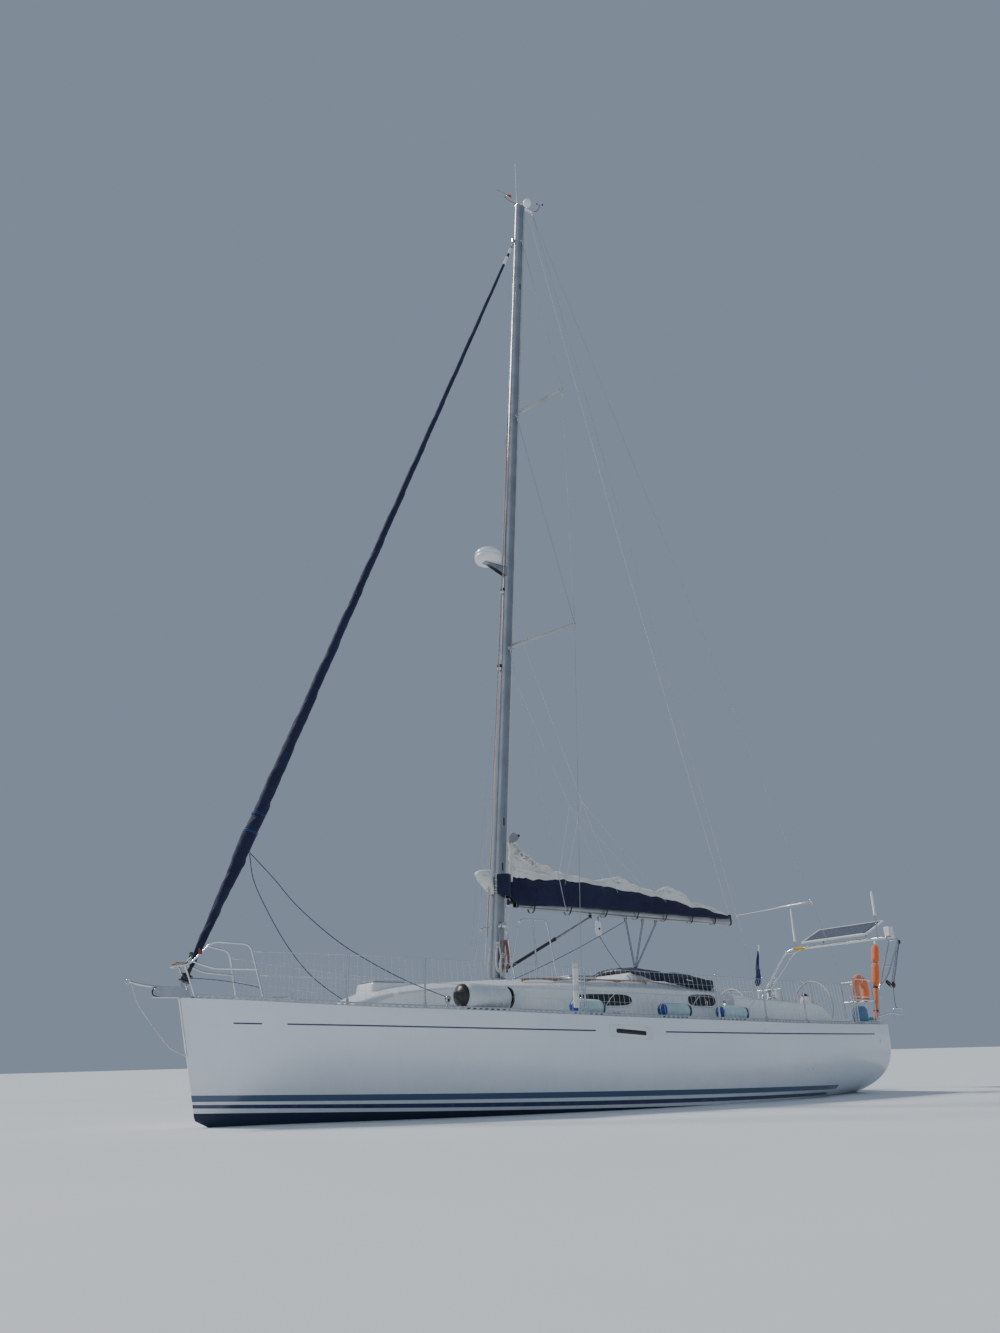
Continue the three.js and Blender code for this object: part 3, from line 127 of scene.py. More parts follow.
def spline(control: Array, steps: int) -> Array:
    """A smooth curve through control points: each span is a cubic with neighbour slopes.

    Args:
        control: points along the last axis but one.
        steps: how many points each span gets.

    Returns:
        The points, with the same leading axes.
    """
    count = control.shape[-2]
    t = np.linspace(0, count - 1, (count - 1) * steps + 1)
    i = np.minimum(t.astype(int), count - 2)
    f = (t - i)[:, None]

    def row(k: Array) -> Array:
        """The control points of these numbers, held at both ends."""
        return control[..., np.clip(k, 0, count - 1), :]

    p0, p1, p2, p3 = row(i - 1), row(i), row(i + 1), row(i + 2)
    return 0.5 * (
        2 * p1 + (p2 - p0) * f + (2 * p0 - 5 * p1 + 4 * p2 - p3) * f**2 + (3 * p1 - p0 - 3 * p2 + p3) * f**3
    )


def centripetal(control: Array, count: int) -> Array:
    """A curve through points whose spans are paced by the square root of their length, read evenly in t.

    Args:
        control: the points.
        count: how many points to return, ends included.

    Returns:
        The points of the curve.
    """
    ends = np.vstack([2 * control[0] - control[1], control, 2 * control[-1] - control[-2]])
    t = np.linspace(0, len(control) - 1, count)
    i = np.minimum(t.astype(int), len(control) - 2)
    f = (t - i)[:, None]
    p = [ends[i + k] for k in range(4)]
    d = [np.sqrt(np.linalg.norm(p[k + 1] - p[k], axis=1, keepdims=True)) for k in range(3)]
    m1 = ((p[1] - p[0]) / d[0] - (p[2] - p[0]) / (d[0] + d[1]) + (p[2] - p[1]) / d[1]) * d[1]
    m2 = ((p[2] - p[1]) / d[1] - (p[3] - p[1]) / (d[1] + d[2]) + (p[3] - p[2]) / d[2]) * d[1]
    return (
        (2 * f**3 - 3 * f**2 + 1) * p[1] + (f**3 - 2 * f**2 + f) * m1 + (3 * f**2 - 2 * f**3) * p[2]
        + (f**3 - f**2) * m2
    )


def rounded(points: Sequence[Point], radius: float, steps: int = 6) -> Array:
    """A run of straight lines whose corners are eased by quadratic arcs that start one radius before each.

    Args:
        points: the corner points.
        radius: how far before and after a corner its arc reaches.
        steps: points on each arc.

    Returns:
        The eased path.
    """
    p = arr(points)
    if len(p) < 3:
        return p
    before, after = p[:-2] - p[1:-1], p[2:] - p[1:-1]
    reach_a = np.minimum(radius, 0.48 * np.linalg.norm(before, axis=1))[:, None]
    reach_b = np.minimum(radius, 0.48 * np.linalg.norm(after, axis=1))[:, None]
    a, b = p[1:-1] + unit(before) * reach_a, p[1:-1] + unit(after) * reach_b
    t = np.linspace(0, 1, steps)[None, :, None]
    arcs = (1 - t) ** 2 * a[:, None] + 2 * t * (1 - t) * p[1:-1, None] + t**2 * b[:, None]
    return np.vstack([p[:1], arcs.reshape(-1, p.shape[1]), p[-1:]])


def loop(points: Sequence[Point], radius: float, steps: int = 5) -> Array:
    """A closed outline with every corner eased; the first point isn't repeated at the end.

    Args:
        points: the corners.
        radius: how far before and after a corner its arc reaches.
        steps: points on each arc.

    Returns:
        The outline's points.
    """
    p = arr(points)
    ring = np.vstack([(p[-1] + p[0]) / 2, p, (p[-1] + p[0]) / 2])
    return rounded(ring, radius, steps)[:-1]


def across(path: Array) -> tuple[Array, Array]:
    """Two unit vectors square to a path at each point. The first is its tangent crossed with its flat side.

    Args:
        path: the points of the path.

    Returns:
        The two arrays of unit vectors.
    """
    tangent = unit(np.gradient(path, axis=0))
    axes = np.linalg.svd(path - path.mean(0), full_matrices=True)[2]
    side = unit(np.cross(tangent, axes[2]))
    return side, np.cross(side, tangent)


def basis(axis: Point) -> Array:
    """Three unit vectors as rows: two across an axis, then the axis.

    Args:
        axis: the direction that the third row takes.

    Returns:
        The three rows.
    """
    along = unit(arr(axis))
    spare = np.array([0.0, 0.0, 1.0]) if abs(along[2]) < 0.9 else np.array([1.0, 0.0, 0.0])
    first = unit(np.cross(spare, along))
    return np.stack([first, np.cross(along, first), along])


# Meshes


@dataclass
class Shape:
    """A mesh in the making: points, four-sided faces with a UV pair at each corner, and flat end faces."""

    points: list[Array] = field(default_factory=list)
    quads: list[Array] = field(default_factory=list)
    uvs: list[Array] = field(default_factory=list)
    caps: list[list[int]] = field(default_factory=list)
    count: int = 0

    def grids(
        self,
        points: Array,
        closed: bool = False,
        caps: bool = False,
        keep: Array | None = None,
        uv: Array | None = None,
    ) -> "Shape":
        """Adds surfaces whose points stand in rows and columns, one surface for each entry of the first axis.

        Args:
            points: an array of surfaces, rows, columns and three coordinates.
            closed: joins the last column to the first.
            caps: closes the first and last rows with flat faces.
            keep: which faces are kept, by row and column.
            uv: two numbers for each row and column, in place of the lengths along and across.

        Returns:
            This shape.
        """
        number, rows, columns = points.shape[:3]
        spans = columns if closed else columns - 1
        i, j = np.meshgrid(np.arange(rows - 1), np.arange(spans), indexing="ij")
        k = (j + 1) % columns
        quad = joined(i * columns + j, i * columns + k, (i + 1) * columns + k, (i + 1) * columns + j)
        if uv is None:
            along = np.concatenate(
                [[0], np.cumsum(np.linalg.norm(np.diff(points[0], axis=0), axis=2).mean(1))]
            )
            ring = np.concatenate([points[0], points[0][:, :1]], 1) if closed else points[0]
            girth = np.concatenate([[0], np.cumsum(np.linalg.norm(np.diff(ring, axis=1), axis=2).mean(0))])
            uv = np.stack(np.meshgrid(along, girth, indexing="ij"), -1)
        corners = np.stack([uv[i, j], uv[i, j + 1], uv[i + 1, j + 1], uv[i + 1, j]], 2)
        chosen = np.ones(i.shape, bool) if keep is None else keep
        start = self.count + np.arange(number)[:, None, None] * rows * columns
        self.quads.append((quad[chosen].reshape(1, -1, 4) + start).reshape(-1, 4))
        self.uvs.append(np.tile(corners[chosen].reshape(-1, 2), (number, 1)))
        if caps:
            ends = (start[:, 0] + np.arange(columns)).tolist()
            self.caps += ends + [[c + (rows - 1) * columns for c in end] for end in ends]
        self.points.append(points.reshape(-1, 3))
        self.count += number * rows * columns
        return self

    def grid(self, points: Array, **how: object) -> "Shape":
        """Adds one surface, as grids does."""
        return self.grids(points[None], **how)

    def strands(
        self, paths: Array, radius: float | Array, sides: int = 5, ref: Point = (0.3, 1.0, 0.1)
    ) -> "Shape":
        """Adds many thin bars at once: rings square to each path, turned to a reference direction.

        Args:
            paths: an array of paths, points and three coordinates.
            radius: the bars' radius, or one for each path and point.
            sides: how many sides a bar has.
            ref: a direction that no bar runs along.

        Returns:
            This shape.
        """
        tangent = unit(np.gradient(paths, axis=1))
        side = unit(np.cross(tangent, arr(ref)))
        up = np.cross(side, tangent)
        turn = (np.arange(sides) + 0.5) / sides * 2 * math.pi
        ring = np.cos(turn)[:, None] * side[:, :, None] + np.sin(turn)[:, None] * up[:, :, None]
        reach = np.broadcast_to(np.asarray(radius, float), paths.shape[:2])[:, :, None, None]
        return self.grids(paths[:, :, None] + reach * ring, closed=True, caps=True)

    def tube(self, path: Points, radius: float | Array, sides: int = 10, flat: float = 1.0) -> "Shape":
        """Adds a round bar along a path: each ring is the path's point plus the radius times cosine and sine.

        Args:
            path: the middle line.
            radius: one radius, or one for each point.
            sides: how many sides the bar has.
            flat: the second direction's share of the radius.

        Returns:
            This shape.
        """
        path = arr(path)
        side, up = across(path)
        turn = np.arange(sides) / sides * 2 * math.pi
        reach = np.broadcast_to(np.asarray(radius, float), (len(path),))[:, None, None]
        ring = np.cos(turn)[None, :, None] * side[:, None] + flat * np.sin(turn)[None, :, None] * up[:, None]
        return self.grid(path[:, None] + reach * ring, closed=True, caps=True)

    def hoop(self, path: Array, radius: float, sides: int = 8) -> "Shape":
        """Adds a closed ring of round bar along a flat closed path.

        Args:
            path: the ring's middle line; its first point isn't repeated.
            radius: the bar's radius.
            sides: how many sides the bar has.

        Returns:
            This shape.
        """
        normal = unit(np.cross(path[1] - path[0], path[len(path) // 3] - path[0]))
        out = unit(np.cross(np.roll(path, -1, 0) - np.roll(path, 1, 0), normal))
        turn = np.arange(sides) / sides * 2 * math.pi
        rings = (
            path[:, None]
            + radius * (np.cos(turn)[None, :, None] * out[:, None] + np.sin(turn)[None, :, None] * normal)
        )
        return self.grid(rings.transpose(1, 0, 2)[np.r_[0:sides, 0]], closed=True)

    def lathe(
        self, profile: Sequence[Point], origin: Point, axis: Point = (0, 0, 1), sides: int = 24
    ) -> "Shape":
        """Adds a turned shape: each profile pair is a radius and a height along the axis from the origin.

        Args:
            profile: pairs of radius and height.
            origin: where the heights start.
            axis: the direction of the heights.
            sides: how many sides it has.

        Returns:
            This shape.
        """
        first, second, along = basis(axis)
        p = arr(profile)
        turn = np.arange(sides) / sides * 2 * math.pi
        ring = np.cos(turn)[:, None] * first + np.sin(turn)[:, None] * second
        rows = arr(origin) + p[:, 1, None, None] * along + p[:, 0, None, None] * ring[None]
        return self.grid(rows, closed=True)

    def pin(
        self, radius: float, reach: float, centre: Point, axis: Point = (0, 0, 1), sides: int = 24
    ) -> "Shape":
        """Adds a plain round pin: a radius from one reach below its centre to one above.

        Args:
            radius: its radius.
            reach: half its length.
            centre: its middle.
            axis: its direction.
            sides: how many sides it has.

        Returns:
            This shape.
        """
        return self.lathe([(0, -reach), (radius, -reach), (radius, reach), (0, reach)], centre, axis, sides)

    def sheave(
        self, rim: float, waist: float, reach: float, centre: Point, axis: Point = (0, 0, 1), sides: int = 24
    ) -> "Shape":
        """Adds a wheel with a V groove, or a plate with a bevelled edge where the waist is the wider.

        Args:
            rim: the radius at both faces.
            waist: the radius half way between them.
            reach: half its width.
            centre: its middle.
            axis: its direction.
            sides: how many sides it has.

        Returns:
            This shape.
        """
        profile = [(0, -reach), (rim, -reach), (waist, 0), (rim, reach), (0, reach)]
        return self.lathe(profile, centre, axis, sides)

    def block(self, low: Point, high: Point) -> "Shape":
        """Adds a box from its lowest to its highest corner.

        Args:
            low: the corner with the smallest coordinates.
            high: the corner with the largest.

        Returns:
            This shape.
        """
        (x0, y0, z0), (x1, y1, z1) = low, high
        ring = arr([(x0, y0, z0), (x1, y0, z0), (x1, y1, z0), (x0, y1, z0)])
        top = ring + np.array([0, 0, z1 - z0])
        return self.grid(np.stack([ring, top]), closed=True, caps=True)

    def bar(self, start: Point, end: Point, wide: float, high: float, up: Point = (0, 0, 1)) -> "Shape":
        """Adds a square bar between two points, given its width and its height.

        Args:
            start: the middle of one end.
            end: the middle of the other end.
            wide: the width across.
            high: the size along up.
            up: the direction that the height leans to.

        Returns:
            This shape.
        """
        a, b = arr(start), arr(end)
        side = unit(np.cross(unit(b - a), arr(up))) * wide / 2
        lift = unit(np.cross(side, b - a)) * high / 2
        ring = np.stack([side + lift, side - lift, -side - lift, -side + lift])
        return self.grid(np.stack([a + ring, b + ring]), closed=True, caps=True)

    def prism(self, outline: Points, shift: Point) -> "Shape":
        """Adds a flat outline carried along a shift, closed at both ends."""
        outline = arr(outline)
        return self.grid(np.stack([outline, outline + arr(shift)]), closed=True, caps=True)

    def ball(self, centre: Point, radius: float, stretch: Point = (1, 1, 1), sides: int = 14) -> "Shape":
        """Adds a ball: rings of radius times sine at heights of radius times cosine.

        Args:
            centre: its middle.
            radius: its radius.
            stretch: its share of the radius along each axis.
            sides: how many sides each ring has.

        Returns:
            This shape.
        """
        polar = np.linspace(0, math.pi, sides // 2 + 1)
        turn = np.arange(sides) / sides * 2 * math.pi
        x = np.sin(polar)[:, None] * np.cos(turn)
        y = np.sin(polar)[:, None] * np.sin(turn)
        z = np.broadcast_to(np.cos(polar)[:, None], x.shape)
        return self.grid(arr(centre) + radius * joined(x, y, z) * arr(stretch), closed=True)

    def moved(self, change: Callable[[Array], Array]) -> "Shape":
        """Puts every point where a function of its place says."""
        self.points = [change(p) for p in self.points]
        return self


@dataclass(frozen=True)
class Trim:
    """How a finished mesh is eased: the sharp angle, rounded edges, wall thickness and smoothing levels."""

    sharp: float = 38.0
    bevel: float = 0.0
    wall: float = 0.0
    levels: int = 0


def piece(
    name: str,
    shape: Shape,
    finish: "Finish",
    body: str = HULL,
    replaces: Sequence[str] = (),
    trim: Trim = Trim(),
) -> bpy.types.Object:
    """Makes one object from a shape, dresses it and lets it ride on its body.

    Args:
        name: the piece's name.
        shape: its mesh.
        finish: what its surface is.
        body: the body that carries it.
        replaces: the frame's nodes that it stands for.
        trim: rounding and thickness.

    Returns:
        The object.
    """
    mesh = bpy.data.meshes.new(name)
    quads = np.concatenate(shape.quads) if shape.quads else np.zeros((0, 4), int)
    mesh.from_pydata(np.concatenate(shape.points), [], quads.tolist() + shape.caps)
    layer = mesh.uv_layers.new(name="place")
    uv = np.zeros((len(mesh.loops), 2), np.float32)
    flat = np.concatenate(shape.uvs) if shape.uvs else np.zeros((0, 2))
    uv[: len(flat)] = flat
    layer.data.foreach_set("uv", uv.ravel())
    work = bmesh.new()
    work.from_mesh(mesh)
    bmesh.ops.remove_doubles(work, verts=work.verts, dist=2e-6)
    bmesh.ops.recalc_face_normals(work, faces=work.faces)
    work.to_mesh(mesh)
    work.free()
    mesh.polygons.foreach_set("use_smooth", np.ones(len(mesh.polygons), bool))
    mesh.set_sharp_from_angle(angle=math.radians(trim.sharp))
    made = bpy.data.objects.new(name, mesh)
    bpy.context.scene.collection.objects.link(made)
    made.data.materials.append(finish.material())
    if trim.wall:
        solid = made.modifiers.new("wall", "SOLIDIFY")
        solid.thickness, solid.offset = trim.wall, 0.0
    if trim.bevel:
        edge = made.modifiers.new("eased", "BEVEL")
        edge.width, edge.segments, edge.limit_method = trim.bevel, 2, "ANGLE"
        edge.harden_normals = False
    if trim.levels:
        smooth = made.modifiers.new("smooth", "SUBSURF")
        smooth.levels = smooth.render_levels = trim.levels
    if body:
        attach(made, body)
    if replaces:
        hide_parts(*replaces)
    log.info("%s: %d faces", name, len(mesh.polygons))
    return made


# Finishes


class Place(Enum):
    """Where a pattern is read: the object's own metres, or the surface's own UV in metres."""

    OBJECT = "Object"
    SURFACE = "UV"


class Nodes:
    """A short way to write one material's node tree."""

    def __init__(self, name: str) -> None:
        """Starts a material with its principled shader.

        Args:
            name: the material's name.
        """
        self.material = bpy.data.materials.new(name)
        self.material.use_nodes = True
        self.tree = self.material.node_tree
        self.shader = self.tree.nodes["Principled BSDF"]
        self.spots: dict[Place, bpy.types.NodeSocket] = {}
        self.axes: dict[Place, bpy.types.Node] = {}

    def feed(self, socket: bpy.types.NodeSocket, value: object) -> None:
        """Links a socket, or sets its value."""
        if isinstance(value, bpy.types.NodeSocket):
            self.tree.links.new(value, socket)
        elif value is not None:
            wide = isinstance(value, tuple) and len(value) == 3 and len(socket.default_value) == 4
            socket.default_value = (*value, 1.0) if wide else value

    def add(self, kind: str, inputs: Sequence[object] = (), **settings: object) -> bpy.types.Node:
        """Adds a node, with its first inputs and its settings.

        Args:
            kind: the node's type without its prefix.
            inputs: values or sockets for its first inputs; None leaves one alone.
            settings: attributes set on the node.

        Returns:
            The node.
        """
        node = self.tree.nodes.new("ShaderNode" + kind)
        for key, value in settings.items():
            setattr(node, key, value)
        for socket, value in zip(node.inputs, inputs):
            self.feed(socket, value)
        return node

    def place(self, where: Place = Place.OBJECT) -> bpy.types.NodeSocket:
        """The coordinates of a pattern."""
        if where not in self.spots:
            self.spots[where] = self.add("TexCoord").outputs[where.value]
        return self.spots[where]

    def axis(self, name: str, where: Place = Place.OBJECT) -> bpy.types.NodeSocket:
        """One coordinate, X, Y or Z.

        Args:
            name: X, Y or Z.
            where: whose coordinates are read.

        Returns:
            The coordinate's socket.
        """
        if where not in self.axes:
            self.axes[where] = self.add("SeparateXYZ", [self.place(where)])
        return self.axes[where].outputs[name]

    def math(self, kind: str, a: object, b: object = None, c: object = None) -> bpy.types.NodeSocket:
        """A sum of one to three numbers."""
        return self.add("Math", [a, b, c], operation=kind).outputs[0]

    def scaled(self, size: Point, where: Place = Place.OBJECT) -> bpy.types.NodeSocket:
        """Coordinates multiplied by a size for each axis."""
        return self.add("VectorMath", [self.place(where), tuple(size)], operation="MULTIPLY").outputs[0]

    def noise(
        self, scale: float, detail: float = 4, rough: float = 0.55, size: Point = (1, 1, 1),
        where: Place = Place.OBJECT
    ) -> bpy.types.NodeSocket:
        """Cloudy noise from 0 to 1.

        Args:
            scale: how many clouds a metre holds.
            detail: how many finer layers it has.
            rough: how strong the finer layers are.
            size: a stretch of the coordinates along each axis.
            where: whose coordinates are read.

        Returns:
            The noise's socket.
        """
        node = self.add("TexNoise")
        self.feed(node.inputs["Vector"], self.scaled(size, where))
        node.inputs["Scale"].default_value = scale
        node.inputs["Detail"].default_value = detail
        node.inputs["Roughness"].default_value = rough
        return node.outputs[0]

    def wave(self, size: float, axis: str, where: Place = Place.SURFACE) -> bpy.types.NodeSocket:
        """A sine from 0 to 1 that repeats each size along an axis."""
        turn = self.math("MULTIPLY", self.axis(axis, where), 2 * math.pi / size)
        return self.math("MULTIPLY_ADD", self.math("SINE", turn), 0.5, 0.5)

    def step(
        self, value: object, low: float, high: float, to: tuple[float, float] = (0.0, 1.0)
    ) -> bpy.types.NodeSocket:
        """A smooth rise from one number to another as a value goes from low to high."""
        node = self.add("MapRange", [value, low, high, to[0], to[1]], interpolation_type="SMOOTHSTEP")
        return node.outputs[0]

    def blend(self, share: object, a: object, b: object) -> bpy.types.NodeSocket:
        """A colour between a and b.

        Args:
            share: nought gives a and one gives b.
            a: a colour or a socket.
            b: a colour or a socket.

        Returns:
            The colour's socket.
        """
        node = self.add("Mix", data_type="RGBA")
        for socket, value in zip([node.inputs[0], node.inputs[6], node.inputs[7]], [share, a, b]):
            self.feed(socket, value)
        return node.outputs[2]

    def bump(self, height: object, deep: float, strength: float = 1.0) -> None:
        """Relief on the shader from a height of 0 to 1 and its depth in metres, over any relief before it.

        Args:
            height: a socket or a value from 0 to 1.
            deep: the relief's depth in metres.
            strength: the bump's strength.
        """
        node = self.add("Bump")
        node.inputs["Strength"].default_value = strength
        node.inputs["Distance"].default_value = deep
        self.feed(node.inputs["Height"], height)
        normal = self.shader.inputs["Normal"]
        if normal.is_linked:
            self.tree.links.new(normal.links[0].from_socket, node.inputs["Normal"])
        self.tree.links.new(node.outputs[0], normal)

    def set(self, **values: object) -> None:
        """Sets the shader's inputs by name, with underscores for spaces."""
        for key, value in values.items():
            self.feed(self.shader.inputs[key.replace("_", " ")], value)


_made: dict["Finish", bpy.types.Material] = {}


@dataclass(frozen=True)
class Finish:
    """A surface: its colour and the cloudier colour in it, gloss, and how rough and uneven it is."""

    name: str
    colour: Colour
    second: Colour | None = None
    rough: float = 0.5
    metal: float = 0.0
    cloud: float = 3.0
    spread: float = 0.06
    slot: str = ""

    def material(self) -> bpy.types.Material:
        """The finish's material, made once."""
        if self not in _made:
            nodes = Nodes(self.name)
            self.paint(nodes)
            _made[self] = nodes.material
        return _made[self]

    def ground(self, n: Nodes) -> bpy.types.NodeSocket:
        """The base colour with its cloudy second colour.

        Args:
            n: the node tree that is being filled.

        Returns:
            The colour's socket.
        """
        share = n.step(n.noise(self.cloud, 5), 0.35, 0.68)
        second = self.second or tuple(0.86 * c for c in self.colour)
        return n.blend(share, self.colour, second)

    def gloss(self, n: Nodes) -> bpy.types.NodeSocket:
        """Roughness that wanders a little about its mean."""
        return n.step(
            n.noise(self.cloud * 5, 6, 0.65), 0.3, 0.7, (self.rough - self.spread, self.rough + self.spread)
        )

    def paint(self, n: Nodes) -> None:
        """Colour and gloss with a faint unevenness."""
        n.set(Base_Color=self.ground(n), Roughness=self.gloss(n), Metallic=self.metal)
        n.bump(n.noise(self.cloud * 14, 4), 0.0008, 0.25)


@dataclass(frozen=True)
class Moulded(Finish):
    """Moulded, polished gelcoat: a clear gloss over white, with long faint waves and faint streaks that run
    down.
    """

    coat: float = 0.6

    def paint(self, n: Nodes) -> None:
        """White with faint streaks that run down, and a clear coat.

        Args:
            n: the node tree that is being filled.
        """
        streak = n.step(n.noise(2.0, 6, 0.7, (6, 6, 0.7)), 0.52, 0.8, (0.0, 0.35))
        colour = n.blend(streak, self.ground(n), tuple(0.78 * c for c in self.colour))
        n.set(Base_Color=colour, Roughness=self.gloss(n), Coat_Weight=self.coat, Coat_Roughness=0.12)
        n.bump(n.noise(1.4, 3), 0.004, 0.12)
        n.bump(n.noise(60, 2), 0.0003, 0.2)


@dataclass(frozen=True)
class Metal(Finish):
    """Bare metal with fine lines along or about it, and small smears."""

    grain: Point = (4, 60, 60)

    def paint(self, n: Nodes) -> None:
        """Metal whose gloss and height follow stretched noise.

        Args:
            n: the node tree that is being filled.
        """
        fine = n.noise(12, 6, 0.7, self.grain)
        smear = n.step(n.noise(6, 5, 0.6), 0.45, 0.75, (0.0, 0.12))
        rough = n.math(
            "ADD", n.step(fine, 0.2, 0.8, (self.rough - self.spread, self.rough + self.spread)), smear
        )
        n.set(Base_Color=self.ground(n), Roughness=rough, Metallic=self.metal)
        n.bump(fine, 0.0003, 0.25)


@dataclass(frozen=True)
class Cloth(Finish):
    """Woven cloth: fine threads both ways on the surface, faded folds, and a soft sheen."""

    thread: float = 0.004
    sheen: float = 0.3

    def paint(self, n: Nodes) -> None:
        """Colour faded in clouds, a weave from two sines, and wrinkles.

        Args:
            n: the node tree that is being filled.
        """
        weave = n.math("MULTIPLY", n.wave(self.thread, "X"), n.wave(self.thread, "Y"))
        worn = n.step(n.noise(9, 6, 0.65), 0.5, 0.75, (0.0, 0.4))
        colour = n.blend(worn, self.ground(n), tuple(min(1.0, 1.5 * c + 0.02) for c in self.colour))
        n.set(Base_Color=colour, Roughness=self.gloss(n), Sheen_Weight=self.sheen, Sheen_Roughness=0.5)
        n.bump(n.noise(14, 5, 0.6, (1, 1.6, 1)), 0.012, 0.35)
        n.bump(weave, 0.0006, 0.35)


@dataclass(frozen=True)
class Rope(Finish):
    """Braided rope: slanting strands along the surface, with a coloured fleck."""

    lay: float = 0.02
    fleck: Colour = (0.08, 0.12, 0.3)

    def paint(self, n: Nodes) -> None:
        """Strands as a sine of the length plus a turn about the rope.

        Args:
            n: the node tree that is being filled.
        """
        slant = n.math("ADD", n.axis("X", Place.SURFACE), n.axis("Y", Place.SURFACE))
        strand = n.math(
            "MULTIPLY_ADD", n.math("SINE", n.math("MULTIPLY", slant, 2 * math.pi / self.lay)), 0.5, 0.5
        )
        long = n.math("SINE", n.math("MULTIPLY", slant, math.pi / (2 * self.lay)))
        spot = n.step(long, 0.86, 0.95, (0.0, 0.8))
        n.set(Base_Color=n.blend(spot, self.ground(n), self.fleck), Roughness=0.85)
        n.bump(strand, 0.0012, 0.6)


@dataclass(frozen=True)
class Plank(Finish):
    """Laid teak: planks with dark caulking across one axis and grain along the other."""

    across: str = "Y"
    pitch: float = 0.05

    def paint(self, n: Nodes) -> None:
        """Stretched grain with thin dark lines every plank.

        Args:
            n: the node tree that is being filled.
        """
        grain = n.noise(3.0, 7, 0.7, (3, 60, 60) if self.across == "Y" else (60, 3, 60))
        worn = n.step(n.noise(2.2, 5), 0.4, 0.7)
        wood = n.blend(n.step(grain, 0.3, 0.72), self.colour, self.second or self.colour)
        wood = n.blend(n.math("MULTIPLY", worn, 0.5), wood, (0.42, 0.38, 0.33))
        cell = n.math("FRACT", n.math("DIVIDE", n.math("ADD", n.axis(self.across), 10.0), self.pitch))
        seam = n.step(n.math("ABSOLUTE", n.math("SUBTRACT", cell, 0.5)), 0.43, 0.46)
        n.set(Base_Color=n.blend(seam, wood, (0.02, 0.02, 0.02)), Roughness=0.62)
        n.bump(grain, 0.0008, 0.4)
        n.bump(n.math("SUBTRACT", 1.0, seam), 0.0012, 0.6)


@dataclass(frozen=True)
class NonSlip(Finish):
    """Deck gelcoat: raised non-slip fields with plain margins, read from the surface's own metres."""

    field_long: float = 1.15
    margin: float = 0.05

    def paint(self, n: Nodes) -> None:
        """Fields of small diamonds that stop short of each crossing margin.

        Args:
            n: the node tree that is being filled.
        """
        cell = n.math("FRACT", n.math("DIVIDE", n.math("ADD", n.axis("X"), 20.0), self.field_long))
        edge = n.math(
            "MULTIPLY", n.math("SUBTRACT", 0.5, n.math("ABSOLUTE", n.math("SUBTRACT", cell, 0.5))),
            self.field_long
        )
        inside = n.step(edge, self.margin * 0.45, self.margin * 0.6)
        inside = n.math("MULTIPLY", inside, n.step(n.axis("Y", Place.SURFACE), 0.085, 0.09))
        size = 2 * math.pi / 0.012
        a = n.math("SINE", n.math("MULTIPLY", n.math("ADD", n.axis("X"), n.axis("Y")), size))
        b = n.math("SINE", n.math("MULTIPLY", n.math("SUBTRACT", n.axis("X"), n.axis("Y")), size))
        knurl = n.math("MULTIPLY", n.math("MULTIPLY_ADD", n.math("MULTIPLY", a, b), 0.5, 0.5), inside)
        dirt = n.step(n.noise(2.5, 7, 0.7), 0.45, 0.75, (0.0, 0.35))
        colour = n.blend(inside, self.colour, self.second or self.colour)
        colour = n.blend(dirt, colour, tuple(0.72 * c for c in self.colour))
        n.set(Base_Color=colour, Roughness=n.step(inside, 0.0, 1.0, (0.3, 0.62)), Coat_Weight=0.15)
        n.bump(knurl, 0.0012, 0.5)
        n.bump(inside, 0.0015, 0.6)


@dataclass(frozen=True)
class Cells(Finish):
    """A solar panel under glass: dark squares, thin silver lines and wider gaps between the squares."""

    pitch: float = 0.125

    def paint(self, n: Nodes) -> None:
        """Grid lines on the surface's own metres.

        Args:
            n: the node tree that is being filled.
        """

        def line(axis: str, pitch: float, width: float) -> bpy.types.NodeSocket:
            """One where a coordinate lies on a grid line, else nought."""
            cell = n.math("FRACT", n.math("DIVIDE", n.axis(axis, Place.SURFACE), pitch))
            return n.step(
                n.math("ABSOLUTE", n.math("SUBTRACT", cell, 0.5)), 0.5 - width / pitch,
                0.5 - 0.6 * width / pitch
            )

        gap = n.math("MAXIMUM", line("X", self.pitch, 0.005), line("Y", self.pitch, 0.005))
        bus = line("Y", self.pitch / 3, 0.0016)
        cell = n.blend(n.step(n.noise(20, 4), 0.35, 0.7), self.colour, self.second or self.colour)
        colour = n.blend(bus, n.blend(gap, cell, (0.22, 0.25, 0.3)), (0.45, 0.48, 0.52))
        n.set(Base_Color=colour, Roughness=0.3, Coat_Weight=0.4, Coat_Roughness=0.12, Specular_IOR_Level=0.3)
        n.bump(gap, 0.0004, 0.3)


